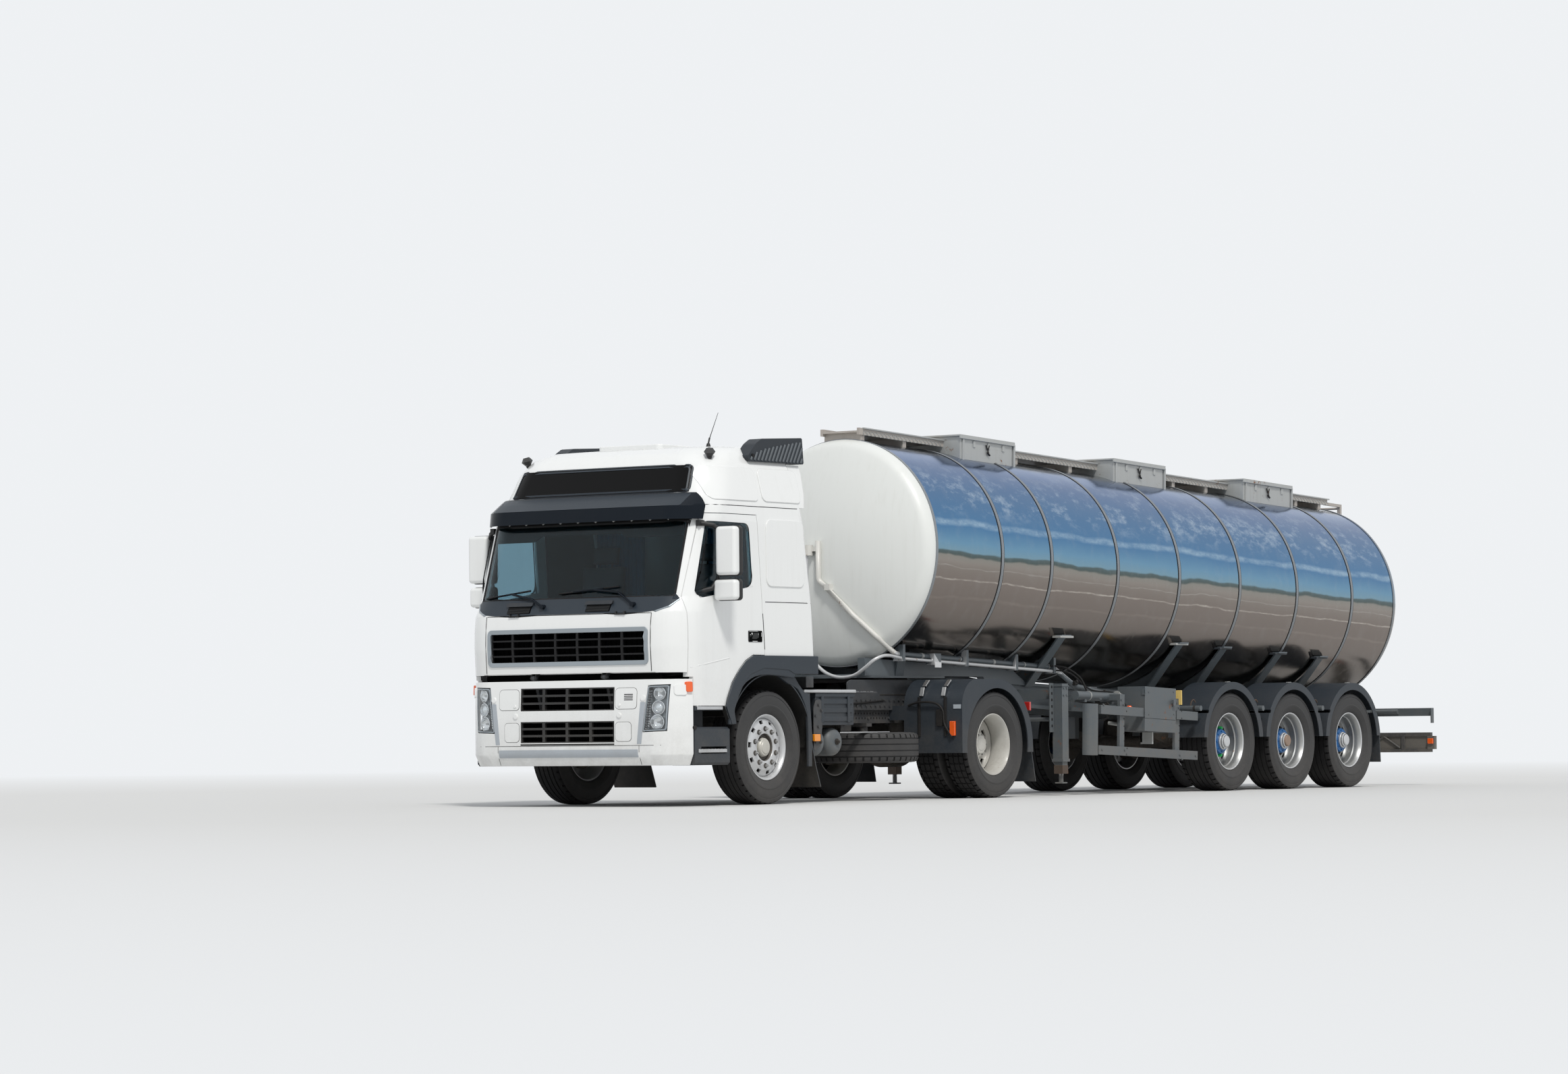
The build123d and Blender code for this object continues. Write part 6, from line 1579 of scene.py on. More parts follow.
def small_lamps():
    """Turn lamps on pale bases beside the bumper, and the tractor's tail lamps."""
    for side, label in SIDES:
        bm = bmesh.new()
        corners = moved(box_corners(1.29, 1.372, 0.99, 1.082))
        plate(bm, corners, "Y", -0.004, 0.014, 0.018, pitch=0.03)
        wrap_side(bm, ["front_bumper"], side)
        new_piece("turn_lamp_base_" + label, bm, "tractor", "bumper_paint")
        bm = bmesh.new()
        corners = moved(box_corners(1.246, 1.296, 1.016, 1.107))
        plate(bm, corners, "Y", -0.004, 0.026, 0.012, pitch=0.03)
        wrap_side(bm, ["front_bumper"], side)
        new_piece("turn_lamp_" + label, bm, "tractor", "orange_lens", edge=0.004)
        bm = bmesh.new()
        slab(bm, at(-4.6, side * 0.345, 0.77), at(-4.563, side * 0.425, 0.96))
        new_piece("tail_lamp_box_" + label, bm, "tractor", "black_plastic", edge=0.006)
        bm = bmesh.new()
        for row, low in enumerate((0.778, 0.836, 0.894)):
            slab(bm, at(-4.606, side * 0.352, low), at(-4.598, side * 0.418, low + 0.054), material=(1, 0, 2)[row])
        new_piece("tail_lamp_" + label, bm, "tractor", ("red_lens", "orange_lens", "white_lens"), edge=0.003)


class LORRY_OT_headlamps(bpy.types.Operator):
    """Headlamps with reflectors, projector lens and clear covers"""

    bl_idname = "lorry.headlamps"
    bl_label = "Headlamps"

    def execute(self, context):
        for side, label in SIDES:
            corners = [(y * side, z) for y, z in LAMP_OUTLINE]
            bm = bmesh.new()
            plate(bm, corners, "X", -0.004, 0.0, 0.02, pitch=0.04)
            wrap_front(bm, LAMP_NODES)
            new_piece(
                "headlamp_cover_" + label, bm, "tractor", "lamp_glass", node="tractor_lamps",
                smooth=50
            )
            bm = bmesh.new()
            ring(bm, corners, "X", 0.02, 0.01, -0.012, 0.002, cuts=6)
            wrap_front(bm, LAMP_NODES)
            new_piece("headlamp_rim_" + label, bm, "tractor", "silver_trim")
            lamp_inside(label, side, corners)
        small_lamps()
        return {"FINISHED"}


WINDOW = ((0.33, 1.968), (1.11, 1.85), (1.165, 1.9), (0.972, 2.54), (0.38, 2.534))
CORNER_STEPS = 6
WINDOW_RADII = (0.11, 0.07, 0.025, 0.04, 0.085)
ARCH_LIP = (
    (0.722, 0.725), (0.706, 0.845), (0.645, 1.024), (0.535, 1.17), (0.39, 1.25), (0.186, 1.262), (-0.17, 1.262),
    (-0.3, 1.19), (-0.3, 1.152), (-0.273, 1.143), (-0.12, 1.158), (-0.027, 1.164), (0.11, 1.17), (0.233, 1.167),
    (0.32, 1.154), (0.385, 1.134), (0.455, 1.104), (0.51, 1.066), (0.575, 0.98), (0.637, 0.862), (0.662, 0.725)
)


def lean_out(bm, side):
    """Moves a flat piece out to the leaning upper side of the cab."""
    levels = (
        (2.66, 1.23), (2.7, 1.225), (2.8, 1.204), (2.9, 1.179), (3.0, 1.155), (3.05, 1.142), (3.1, 1.118), (3.15, 1.091)
    )
    for vert in bm.verts:
        for (z0, y0), (z1, y1) in zip(levels, levels[1:]):
            if z0 <= vert.co.z <= z1:
                share = (vert.co.z - z0) / (z1 - z0)
                vert.co.y = side * (vert.co.y + y0 + (y1 - y0) * share)
                break


def side_seams(side, label):
    """Seams along the cab's side, in the door gap, and the crease low on the door."""
    bm = bmesh.new()
    shell = ["cab_shell"]
    out = Vector((0, side, 0))
    for points in (((-0.6, 1.83), (0.14, 1.83)), ((-0.56, 2.69), (1.0, 2.69))):
        follow(bm, [at(x, 0, z) for x, z in points], shell, out, -0.0005, 0.0034)
    gap = ((1.27, 1.16), (1.27, 1.85), (1.003, 2.613), (0.254, 2.613), (0.153, 1.4))
    follow(bm, [at(x, 0, z) for x, z in gap], ["door_" + label, "cab_shell"], out, 0.0, 0.0027)
    new_piece("side_seams_" + label, bm, "cab", "black_rubber")
    bm = bmesh.new()
    follow(bm, [at(1.245, 0, 1.236), at(0.7, 0, 1.32)], ["door_" + label], out, -0.006, 0.009, segments=12)
    new_piece("door_crease_" + label, bm, "door_" + label, "cab_paint", smooth=60)


def deflector_ribs():
    """Slanting ribs on the outer faces of the roof deflectors, under a smooth curved edge."""
    bm = bmesh.new()
    for side in (1, -1):
        for number in range(18):
            points = []
            for step in range(50):
                z = 3.118 + step * 0.0045
                x = -0.575 + number * 0.056 - (z - 3.118) * 0.57
                share = min(1.0, max(0.0, (0.205 - x) / 0.8))
                if -0.6 < x < 0.215 and z < 3.128 + 0.185 * math.sqrt(share):
                    points.append(at(x, side * 1.15, z))
            if len(points) > 3:
                rod(bm, points[0], points[-1], 0.0105, 6)
    new_piece("deflector_ribs", bm, "cab", "rib_grey")
    for side, label in SIDES:
        bm = bmesh.new()
        rod(bm, at(0.185, side * 1.148, 3.158), at(0.185, side * 1.163, 3.158), 0.017, 20)
        new_piece("deflector_plug_" + label, bm, "cab", "black_rubber")


def roof_fittings():
    """Marker lamps, antenna and a roof hatch."""
    for side, label in SIDES:
        bm = bmesh.new()
        hit = first_hit(["cab_shell"], Vector((0.68 + SHIFT, side * 1.03, 4)), Vector((0, 0, -1)))
        foot = hit - Vector((0, 0, 0.01))
        neck = foot + Vector((0.006, side * 0.006, 0.022))
        tip = foot + Vector((0.014, side * 0.012, 0.056))
        rod(bm, foot, neck, 0.024, 5, end_radius=0.028)
        rod(bm, neck, tip, 0.028, 5, end_radius=0.056)
        rod(bm, tip, tip + Vector((0.008, side * 0.006, 0.036)), 0.056, 5, end_radius=0.03)
        new_piece("marker_lamp_" + label, bm, "cab", "black_plastic")
    bm = bmesh.new()
    hit = first_hit(["cab_shell"], Vector((0.38 + SHIFT, 0.8, 4)), Vector((0, 0, -1)))
    spot = hit - Vector((0, 0, 0.006))
    rod(bm, spot, spot + Vector((0, 0, 0.034)), 0.024, 20, end_radius=0.014)
    rod(bm, spot + Vector((0, 0, 0.03)), spot + Vector((-0.02, 0, 0.085)), 0.008, 12)
    rod(bm, spot + Vector((-0.02, 0, 0.08)), spot + Vector((-0.155, 0, 0.32)), 0.004, 8, end_radius=0.002)
    new_piece("antenna_base", bm, "cab", "black_plastic")
    bm = bmesh.new()
    rounded_plate(bm, moved(box_corners(-0.16, 0.52, -0.36, 0.36)), "Z", 3.225, 3.284, 0.05)
    new_piece("roof_hatch", bm, "cab", "cab_paint", edge=0.008, cuts=3)


class LORRY_OT_cab_sides(bpy.types.Operator):
    """Window seals, seams, embossed panels, handles and roof fittings"""

    bl_idname = "lorry.cab_sides"
    bl_label = "Cab sides"

    def execute(self, context):
        for side, label in SIDES:
            door = "door_" + label
            outline = window_outline()
            bm = bmesh.new()
            ring(bm, moved(outline), "Y", 0, 0.026, -0.001, 0.012, cuts=6)
            wrap_side(bm, ["door_glass_" + label], side)
            new_piece("window_seal_" + label, bm, door, "black_rubber", edge=0.002)
            bm = bmesh.new()
            for number, corner in enumerate(WINDOW):
                first = number * (CORNER_STEPS + 1)
                arc = moved([corner] + outline[first:first + CORNER_STEPS + 1])
                rounded_plate(bm, arc, "Y", 0.002, 0.0135)
            wrap_side(bm, ["door_glass_" + label], side)
            new_piece("window_corners_" + label, bm, door, "cab_paint")
            bm = bmesh.new()
            # The near-black plate behind the handle: painted shade in its recess.
            plate(bm, moved(box_corners(0.198, 0.408, 1.468, 1.566)), "Y", -0.001, 0.001, 0.012, 1)
            ring(bm, moved(box_corners(0.196, 0.41, 1.466, 1.568)), "Y", 0.012, 0.01, -0.001, 0.004, cuts=2)
            plate(bm, moved(box_corners(0.222, 0.335, 1.492, 1.548)), "Y", 0.001, 0.01, 0.01)
            plate(bm, moved(box_corners(0.35, 0.392, 1.5, 1.542)), "Y", 0.001, 0.006, 0.008)
            wrap_side(bm, [door, "cab_shell"], side)
            new_piece("handle_plate_" + label, bm, door, ("black_plastic", "core_black"))
            bm = bmesh.new()
            for low_x, high_x, low_z, high_z, radius in (
                (-0.468, 0.12, 1.972, 2.578, 0.07), (0.19, 0.88, 2.74, 3.045, 0.06)
            ):
                corners = moved(box_corners(low_x, high_x, low_z, high_z))
                plate(bm, corners, "Y", -0.001, 0.011, radius)
            wrap_side(bm, ["cab_shell"], side)
            new_piece("side_embosses_" + label, bm, "cab", "cab_paint", edge=0.01, cuts=3)
            bm = bmesh.new()
            plate(bm, moved(box_corners(-0.475, 0.13, 2.74, 3.045)), "Y", -0.001, 0.011, 0.06)
            lean_out(bm, side)
            new_piece("rear_emboss_" + label, bm, "cab", "cab_paint", edge=0.01, cuts=3)
            bm = bmesh.new()
            plate(
                bm,
                moved([(-0.38, 2.7), (-0.516, 2.7), (-0.553, 2.83), (-0.574, 3.02), (-0.582, 3.096), (-0.38, 3.096)]),
                "Y", -0.055, -0.002, 0.0
            )
            lean_out(bm, side)
            new_piece("cab_rear_wing_" + label, bm, "cab", "cab_paint", edge=0.012, cuts=3)
            side_seams(side, label)
            bm = bmesh.new()
            low, high = sorted((side * 1.226, side * 1.259))
            rounded_plate(bm, moved(ARCH_LIP), "Y", low, high)
            new_piece("arch_lip_" + label, bm, "cab", "dark_plastic", edge=0.01, cuts=3)
            bm = bmesh.new()
            place = at(1.215, side * 1.236, 0.7)
            rod(bm, place - Vector((0, side * 0.02, 0)), place + Vector((0, side * 0.006, 0)), 0.019, 24)
            new_piece("bumper_plug_" + label, bm, "tractor", "black_rubber")
        roof_fittings()
        deflector_ribs()
        return {"FINISHED"}


def mirror_shell(bm, side, y0, y1, z0, z1, x0, x1):
    """An upright rounded box."""
    corners = box_corners(y0 * side, y1 * side, z0, z1)
    rounded_plate(bm, corners, "X", x0 + SHIFT, x1 + SHIFT, 0.035)


def mirror_arms(label, side):
    """Upper and lower arms from the door to the housings."""
    bm = bmesh.new()
    points = [
        (at(1.02, side * 1.175, 2.52), at(0.955, side * 1.265, 2.5), 0.021),
        (at(0.955, side * 1.265, 2.5), at(0.925, side * 1.3, 2.46), 0.019),
        (at(1.105, side * 1.175, 1.9), at(0.985, side * 1.262, 1.935), 0.022),
        (at(0.985, side * 1.262, 1.935), at(0.92, side * 1.285, 2.02), 0.02),
        (at(0.92, side * 1.285, 2.02), at(0.915, side * 1.285, 2.48), 0.016)
    ]
    for start, end, radius in points:
        rod(bm, start, end, radius, 16)
        ball(bm, end, radius, 16)
    slab(bm, at(0.985, side * 1.15, 2.494), at(1.06, side * 1.19, 2.545))
    slab(bm, at(1.07, side * 1.15, 1.862), at(1.15, side * 1.19, 1.93))
    new_piece(
        "mirror_arms_" + label, bm, "door_" + label, "black_plastic", node="mirrors_" + label
    )


class LORRY_OT_mirrors(bpy.types.Operator):
    """Mirror housings with pale covers, glasses and arms"""

    bl_idname = "lorry.mirrors"
    bl_label = "Mirrors"

    def execute(self, context):
        for side, label in SIDES:
            bm = bmesh.new()
            mirror_shell(bm, side, 1.298, 1.52, 2.05, 2.485, 0.895, 0.985)
            mirror_shell(bm, side, 1.268, 1.515, 1.83, 2.012, 0.89, 0.975)
            new_piece("mirror_covers_" + label, bm, "door_" + label, "cab_paint", edge=0.03, cuts=5)
            bm = bmesh.new()
            mirror_shell(bm, side, 1.262, 1.526, 2.044, 2.491, 0.862, 0.915)
            mirror_shell(bm, side, 1.258, 1.521, 1.824, 2.018, 0.86, 0.91)
            new_piece(
                "mirror_backs_" + label, bm, "door_" + label, "black_plastic", edge=0.014, cuts=4
            )
            bm = bmesh.new()
            mirror_shell(bm, side, 1.28, 1.508, 2.062, 2.473, 0.858, 0.866)
            mirror_shell(bm, side, 1.276, 1.503, 1.842, 2.0, 0.856, 0.864)
            new_piece("mirror_glasses_" + label, bm, "door_" + label, "mirror_glass")
            mirror_arms(label, side)
        return {"FINISHED"}


def hose(bm, points, radius, segments=12, material=0):
    """A smooth hose through some points."""
    points = [Vector(point) for point in points]
    ends = [points[0] * 2 - points[1], *points, points[-1] * 2 - points[-2]]
    path = []
    for number in range(1, len(ends) - 2):
        p0, p1, p2, p3 = ends[number - 1:number + 3]
        for step in range(8):
            t = step / 8
            path.append(
                0.5 * (
                    2 * p1 + (p2 - p0) * t + (2 * p0 - 5 * p1 + 4 * p2 - p3) * t * t
                    + (3 * p1 - p0 - 3 * p2 + p3) * t ** 3
                )
            )
    path.append(points[-1])
    for start, end in zip(path, path[1:]):
        rod(bm, start, end, radius, segments, material)
        ball(bm, end, radius, segments, material)


def bolt(bm, spot, out, size, material=0):
    """A hexagon head with its washer, standing on a face."""
    spot, out = Vector(spot), Vector(out)
    rod(bm, spot - out * 0.002, spot + out * size * 0.25, size * 1.35, 16, material)
    rod(bm, spot, spot + out * size * 0.95, size, 6, material)


def side_face(nodes, x, z, side):
    """The outermost y of some CAD nodes at a place on one side."""
    hit = first_hit(nodes, Vector((x + SHIFT, 3 * side, z)), Vector((0, -side, 0)))
    return hit.y if hit else side * 1.2


def frame_holes():
    """Punched holes and bolts along the frame rails."""
    bm = bmesh.new()
    for side in (1, -1):
        for column in range(58):
            x = -1.3 - column * 0.05
            for row in range(5):
                z = 0.782 + row * 0.045
                y = side * 0.4255
                spot = at(x + row % 2 * 0.012, y, z)
                out = Vector((0, side, 0))
                if (column * 3 + row) % 7 == 0:
                    bolt(bm, spot, out, 0.011, 1)
                else:
                    rod(bm, spot, spot + out * 0.0015, 0.0095, 14, 0)
    new_piece("frame_holes", bm, "tractor", ("black_rubber", "frame_paint"))


def battery_fittings():
    """Lid and straps of the battery box, with brackets, bosses, a marker lamp and hoses near it."""
    bm = bmesh.new()
    slab(bm, at(-1.508, 0.486, 0.975), at(-0.862, 1.092, 1.012))
    slab(bm, at(-1.42, 1.088, 0.74), at(-1.38, 1.098, 0.985))
    slab(bm, at(-0.99, 1.088, 0.74), at(-0.95, 1.098, 0.985))
    new_piece("battery_lid", bm, "tractor", "dark_plastic", edge=0.006, cuts=3)
    bm = bmesh.new()
    rounded_plate(
        bm,
        moved(
            [(-0.93, 0.52), (-0.822, 0.48), (-0.822, 0.88), (-0.86, 0.95), (-0.945, 0.95), (-0.99, 0.88), (-0.96, 0.7)]
        ), "Y", 1.09, 1.096, 0.018
    )
    for x, z in ((-0.85, 0.56), (-0.85, 0.8), (-0.9, 0.9), (-0.945, 0.85), (-0.895, 0.7)):
        bolt(bm, at(x, 1.096, z), (0, 1, 0), 0.012)
    new_piece("tank_bracket", bm, "tractor", "frame_paint")
    bm = bmesh.new()
    for x in (-0.93, -1.222):
        rod(bm, at(x, 1.08, 0.56), at(x, 1.1, 0.56), 0.02, 6)
        rod(bm, at(x, 1.07, 0.56), at(x, 1.084, 0.56), 0.03, 20)
        rod(bm, at(x, 1.098, 0.56), at(x, 1.11, 0.56), 0.01, 12)
    new_piece("tank_bosses", bm, "tractor", "cast_iron")
    bm = bmesh.new()
    slab(bm, at(-0.895, 1.097, 0.566), at(-0.797, 1.124, 0.632))
    new_piece("side_marker_front", bm, "tractor", "amber_lens", edge=0.006, cuts=3)
    bm = bmesh.new()
    slab(bm, at(-2.28, 0.9, 0.64), at(-1.45, 0.96, 0.652))
    new_piece("carrier_strip", bm, "tractor", "aluminium", edge=0.003)
    bm = bmesh.new()
    hose(
        bm,
        [at(-1.5, 0.6, 0.9), at(-1.62, 0.64, 0.86), at(-1.74, 0.62, 0.78), at(-1.9, 0.58, 0.8), at(-2.05, 0.52, 0.88)],
        0.012
    )
    hose(bm, [at(-1.45, 0.5, 0.93), at(-1.8, 0.5, 0.95), at(-2.3, 0.48, 0.92), at(-2.9, 0.47, 0.95)], 0.009)
    hose(bm, [at(-0.93, 1.0, 0.7), at(-1.0, 0.98, 0.76), at(-1.1, 0.94, 0.79)], 0.008)
    for x in (-1.62, -1.72, -1.82):
        rod(bm, at(x, 0.43, 0.86), at(x, 0.52, 0.86), 0.028, 20)
        rod(bm, at(x, 0.52, 0.86), at(x, 0.55, 0.86), 0.016, 12)
    new_piece("frame_hoses", bm, "tractor", "black_rubber")
    bm = bmesh.new()
    for x0, z0, x1, z1 in ((-1.58, 0.98, -2.02, 0.72), (-2.02, 0.72, -2.1, 0.98)):
        rod(bm, at(x0, 0.62, z0), at(x1, 0.62, z1), 0.016, 4)
    rounded_plate(
        bm, moved([(-2.14, 0.66), (-1.96, 0.66), (-2.0, 0.8), (-2.08, 0.96), (-2.14, 0.96)]), "Y", 0.6, 0.612, 0.012
    )
    rod(bm, at(-2.05, 0.43, 0.84), at(-2.05, 0.66, 0.84), 0.034, 24)
    rod(bm, at(-2.05, 0.66, 0.84), at(-2.05, 0.7, 0.84), 0.022, 24)
    new_piece("carrier_bracket", bm, "tractor", "frame_paint")


def front_guards():
    """Slate flanges on the rear of the front mudguards, and near-black liners inside the arches that paint the shade
    there.
    """
    flange = (
        (-0.16, 1.149), (-0.285, 1.096), (-0.377, 1.069), (-0.439, 1.043), (-0.485, 0.998), (-0.546, 0.909),
        (-0.588, 0.819), (-0.598, 0.658), (-0.602, 0.336), (-0.655, 0.336), (-0.662, 0.52), (-0.656, 0.7),
        (-0.64, 0.85), (-0.628, 1.004), (-0.55, 1.012), (-0.455, 1.09), (-0.4, 1.15), (-0.3, 1.172), (-0.16, 1.172)
    )
    liner = ((-0.64, 0.9), (0.6, 0.9), (0.56, 1.09), (0.52, 1.176), (-0.64, 1.176))
    for side, label in SIDES:
        bm = bmesh.new()
        low, high = sorted((side * 1.164, side * 1.192))
        rounded_plate(bm, moved(flange), "Y", low, high)
        new_piece("guard_flange_" + label, bm, "tractor", "dark_plastic", edge=0.006, cuts=3)
        # A near-black liner inside the arch: painted shade.
        bm = bmesh.new()
        low, high = sorted((side * 0.5, side * 0.508))
        rounded_plate(bm, moved(liner), "Y", low, high, 0.02)
        new_piece("arch_shade_liner_" + label, bm, "tractor", "core_black")


def mudguard_fittings():
    """Clips, hose, marker, reflector and tail lamp on the drive mudguards."""
    front = -3.064
    for side, label in SIDES:
        bm = bmesh.new()
        for y in (0.8, 1.05):
            for x, z, turn in ((-3.155, 1.112, 0.72), (-3.083, 1.03, 1.25)):
                spot = at(x, side * y, z)
                matrix = Matrix.Rotation(turn, 4, "Y")
                slab(bm, spot - Vector((0.045, 0.022, 0.008)), spot + Vector((0.045, 0.022, 0.008)), 0, matrix)
        new_piece("mudguard_clips_" + label, bm, "tractor", "steel", edge=0.003)
        bm = bmesh.new()
        hose(
            bm,
            [
                at(front + 0.012, side * 0.66, 0.9), at(front + 0.035, side * 0.8, 0.93),
                at(front + 0.03, side * 0.98, 0.92), at(front + 0.022, side * 1.06, 0.85),
                at(front + 0.022, side * 1.08, 0.72), at(front + 0.022, side * 1.16, 0.6)
            ], 0.011
        )
        for y in (0.78, 1.08):
            slab(bm, at(front - 0.005, side * y - 0.014, 0.6), at(front + 0.014, side * y + 0.014, 0.98))
        slab(bm, at(front - 0.004, side * 1.02 - 0.035, 0.7), at(front + 0.026, side * 1.02 + 0.035, 0.86))
        new_piece("mudguard_hose_" + label, bm, "tractor", "black_rubber", edge=0.003)
        bm = bmesh.new()
        slab(bm, at(front, side * 1.17 - 0.03, 0.605), at(front + 0.03, side * 1.17 + 0.03, 0.745))
        new_piece("mudguard_marker_" + label, bm, "tractor", "orange_lens", edge=0.006, cuts=3)
        bm = bmesh.new()
        slab(bm, at(front - 0.004, side * 1.215 - 0.042, 0.865), at(front + 0.006, side * 1.215 + 0.042, 0.905))
        new_piece("mudguard_reflector_" + label, bm, "tractor", "grey_strip")
        bm = bmesh.new()
        slab(bm, at(-4.315, side * 1.225 - 0.04, 0.845), at(-4.285, side * 1.225 + 0.04, 0.93))
        new_piece("mudguard_tail_" + label, bm, "tractor", "red_lens", edge=0.006, cuts=3)


def step_treads():
    """Bright treads on the cab steps."""
    bm = bmesh.new()
    for side in (1, -1):
        for low, high, y0, y1, z in ((0.805, 1.19, 1.13, 1.243, 0.858), (0.745, 1.17, 1.17, 1.243, 0.478)):
            lo = at(low, min(side * y0, side * y1), z)
            hi = at(high, max(side * y0, side * y1), z + 0.03)
            slab(bm, lo, hi)
            for number in range(9):
                x = low + 0.02 + number * (high - low - 0.04) / 8
                slab(
                    bm, at(x - 0.006, min(side * y0, side * y1) + 0.006, z + 0.029),
                    at(x + 0.006, max(side * y0, side * y1) - 0.006, z + 0.033)
                )
    new_piece("step_treads", bm, "tractor", "aluminium", edge=0.002)


def catwalk():
    """Edge, wing and tread of the catwalk, the beam behind the cab and the coupling's side plates."""
    bm = bmesh.new()
    for number in range(42):
        x = -0.665 - number * 0.02
        rod(bm, at(x, 1.096, 1.02), at(x - 0.02, 1.096, 1.036), 0.01, 8)
        rod(bm, at(x, 1.096, 1.036), at(x - 0.02, 1.096, 1.02), 0.01, 8)
    new_piece("catwalk_braid", bm, "tractor", "aluminium")
    bm = bmesh.new()
    slab(bm, at(-1.505, 0.838, 1.012), at(-0.665, 1.096, 1.028))
    for brace in (-0.7, -0.78):
        slab(bm, at(brace - 0.012, 0.46, 0.93), at(brace + 0.012, 1.08, 1.013))
    new_piece("catwalk_wing", bm, "tractor", "frame_paint", edge=0.004)
    bm = bmesh.new()
    for column in range(24):
        for row in range(18):
            x, y = -0.84 - column * 0.06, -0.36 + row * 0.068
            turn = Matrix.Rotation(math.radians(45 if (column + row) % 2 else -45), 4, "Z")
            slab(bm, at(x - 0.016, y - 0.004, 1.029), at(x + 0.016, y + 0.004, 1.033), 0, turn)
    new_piece("catwalk_tread", bm, "tractor", "aluminium")
    bm = bmesh.new()
    slab(bm, at(-0.842, -1.085, 1.062), at(-0.722, 1.085, 1.162))
    for side in (1, -1):
        slab(bm, at(-0.822, side * 0.43 - 0.06, 1.02), at(-0.742, side * 0.43 + 0.06, 1.064))
        rod(bm, at(-0.782, side * 0.72, 1.028), at(-0.782, side * 0.72, 1.07), 0.04, 20)
        for y in (0.3, 0.56, 0.98):
            bolt(bm, at(-0.842, side * y, 1.112), (-1, 0, 0), 0.012)
    new_piece("cab_rear_beam", bm, "tractor", "frame_paint", edge=0.006)
    bm = bmesh.new()
    for side in (1, -1):
        low, high = sorted((side * 0.452, side * 0.466))
        rounded_plate(
            bm, moved([(-2.3, 0.86), (-2.3, 1.125), (-2.36, 1.15), (-3.4, 1.15), (-3.48, 1.08), (-3.48, 0.86)]), "Y",
            low, high, 0.02
        )
        for number in range(14):
            for z in (0.9, 0.955):
                bolt(bm, at(-2.37 - number * 0.08, side * 0.466, z), (0, side, 0), 0.011)
    new_piece("coupling_side_plates", bm, "tractor", "frame_paint")


class LORRY_OT_tractor_sides(bpy.types.Operator):
    """Frame holes, box and mudguard fittings, near-black liners that paint shade in the arches, treads and the catwalk
    """

    bl_idname = "lorry.tractor_sides"
    bl_label = "Tractor sides"

    def execute(self, context):
        frame_holes()
        battery_fittings()
        front_guards()
        mudguard_fittings()
        step_treads()
        catwalk()
        return {"FINISHED"}


def saddle_strips():
    """Pale edges on top of the saddles' arms."""
    bm = bmesh.new()
    for x, reach in ((-5.5, 0.86), (-7.78, 0.89), (-8.69, 0.89), (-9.88, 0.89), (-10.8, 0.89)):
        for side in (1, -1):
            hit = first_hit(["trailer_frame"], Vector((x + SHIFT, side * reach, 3.0)), Vector((0, 0, -1)))
            if not hit:
                continue
            z = hit.z
            slab(
                bm, at(x - 0.125, side * 0.905 - 0.05, z - 0.006), at(x + 0.125, side * 0.905 + 0.05, z + 0.016),
                int(x < -8.0)
            )
    new_piece("saddle_strips", bm, "trailer", ("box_steel", "frame_paint"), edge=0.003)


def leg_fittings():
    """Punched brackets, bolts and feet of the landing legs."""
    bm = bmesh.new()
    for side in (1, -1):
        slab(bm, at(-5.212, side * 0.96 - 0.006, 0.63), at(-5.14, side * 0.96 + 0.006, 1.12))
        for row in range(7):
            z = 0.68 + row * 0.065
            slab(bm, at(-5.188, side * 0.96 - 0.008, z), at(-5.164, side * 0.96 + 0.008, z + 0.026), 1)
        for x, z in ((-5.25, 1.07), (-5.31, 1.07), (-5.25, 1.0), (-5.31, 1.0)):
            bolt(bm, at(x, side * 1.058, z), (0, side, 0), 0.011)
        slab(bm, at(-5.345, side * 1.0 - 0.066, 1.085), at(-5.215, side * 1.0 + 0.066, 1.098))
        rod(bm, at(-5.28, side * 1.0, 0.225), at(-5.28, side * 1.0, 0.135), 0.03, 4, 2, end_radius=0.012)
        slab(bm, at(-5.332, side * 1.0 - 0.052, 0.215), at(-5.228, side * 1.0 + 0.052, 0.3), 3)
    new_piece("leg_fittings", bm, "trailer", ("trailer_paint", "black_rubber", "steel", "rusty_iron"), edge=0.002)


def guard_bolts():
    """Bolt heads and holes of the side guards."""
    bm = bmesh.new()
    for side in (1, -1):
        for x, z in (
            (-5.72, 0.96), (-5.78, 0.9), (-6.18, 0.95), (-6.22, 0.9), (-7.28, 0.92), (-7.32, 0.87), (-5.74, 0.45),
            (-6.18, 0.44), (-6.22, 0.4), (-7.28, 0.38), (-7.32, 0.34), (-7.6, 0.37)
        ):
            y = side_face(["side_guards"], x, z, side)
            bolt(bm, at(x, y, z), (0, side, 0), 0.0095)
        for x in (-6.2, -7.3):
            for row in range(6):
                z = 0.46 + row * 0.075
                y = side_face(["side_guards"], x, z, side)
                rod(bm, at(x - 0.028, y, z), at(x - 0.028, y + side * 0.0015, z), 0.008, 12, 1)
    new_piece("guard_bolts", bm, "trailer", ("trailer_paint", "black_rubber"))


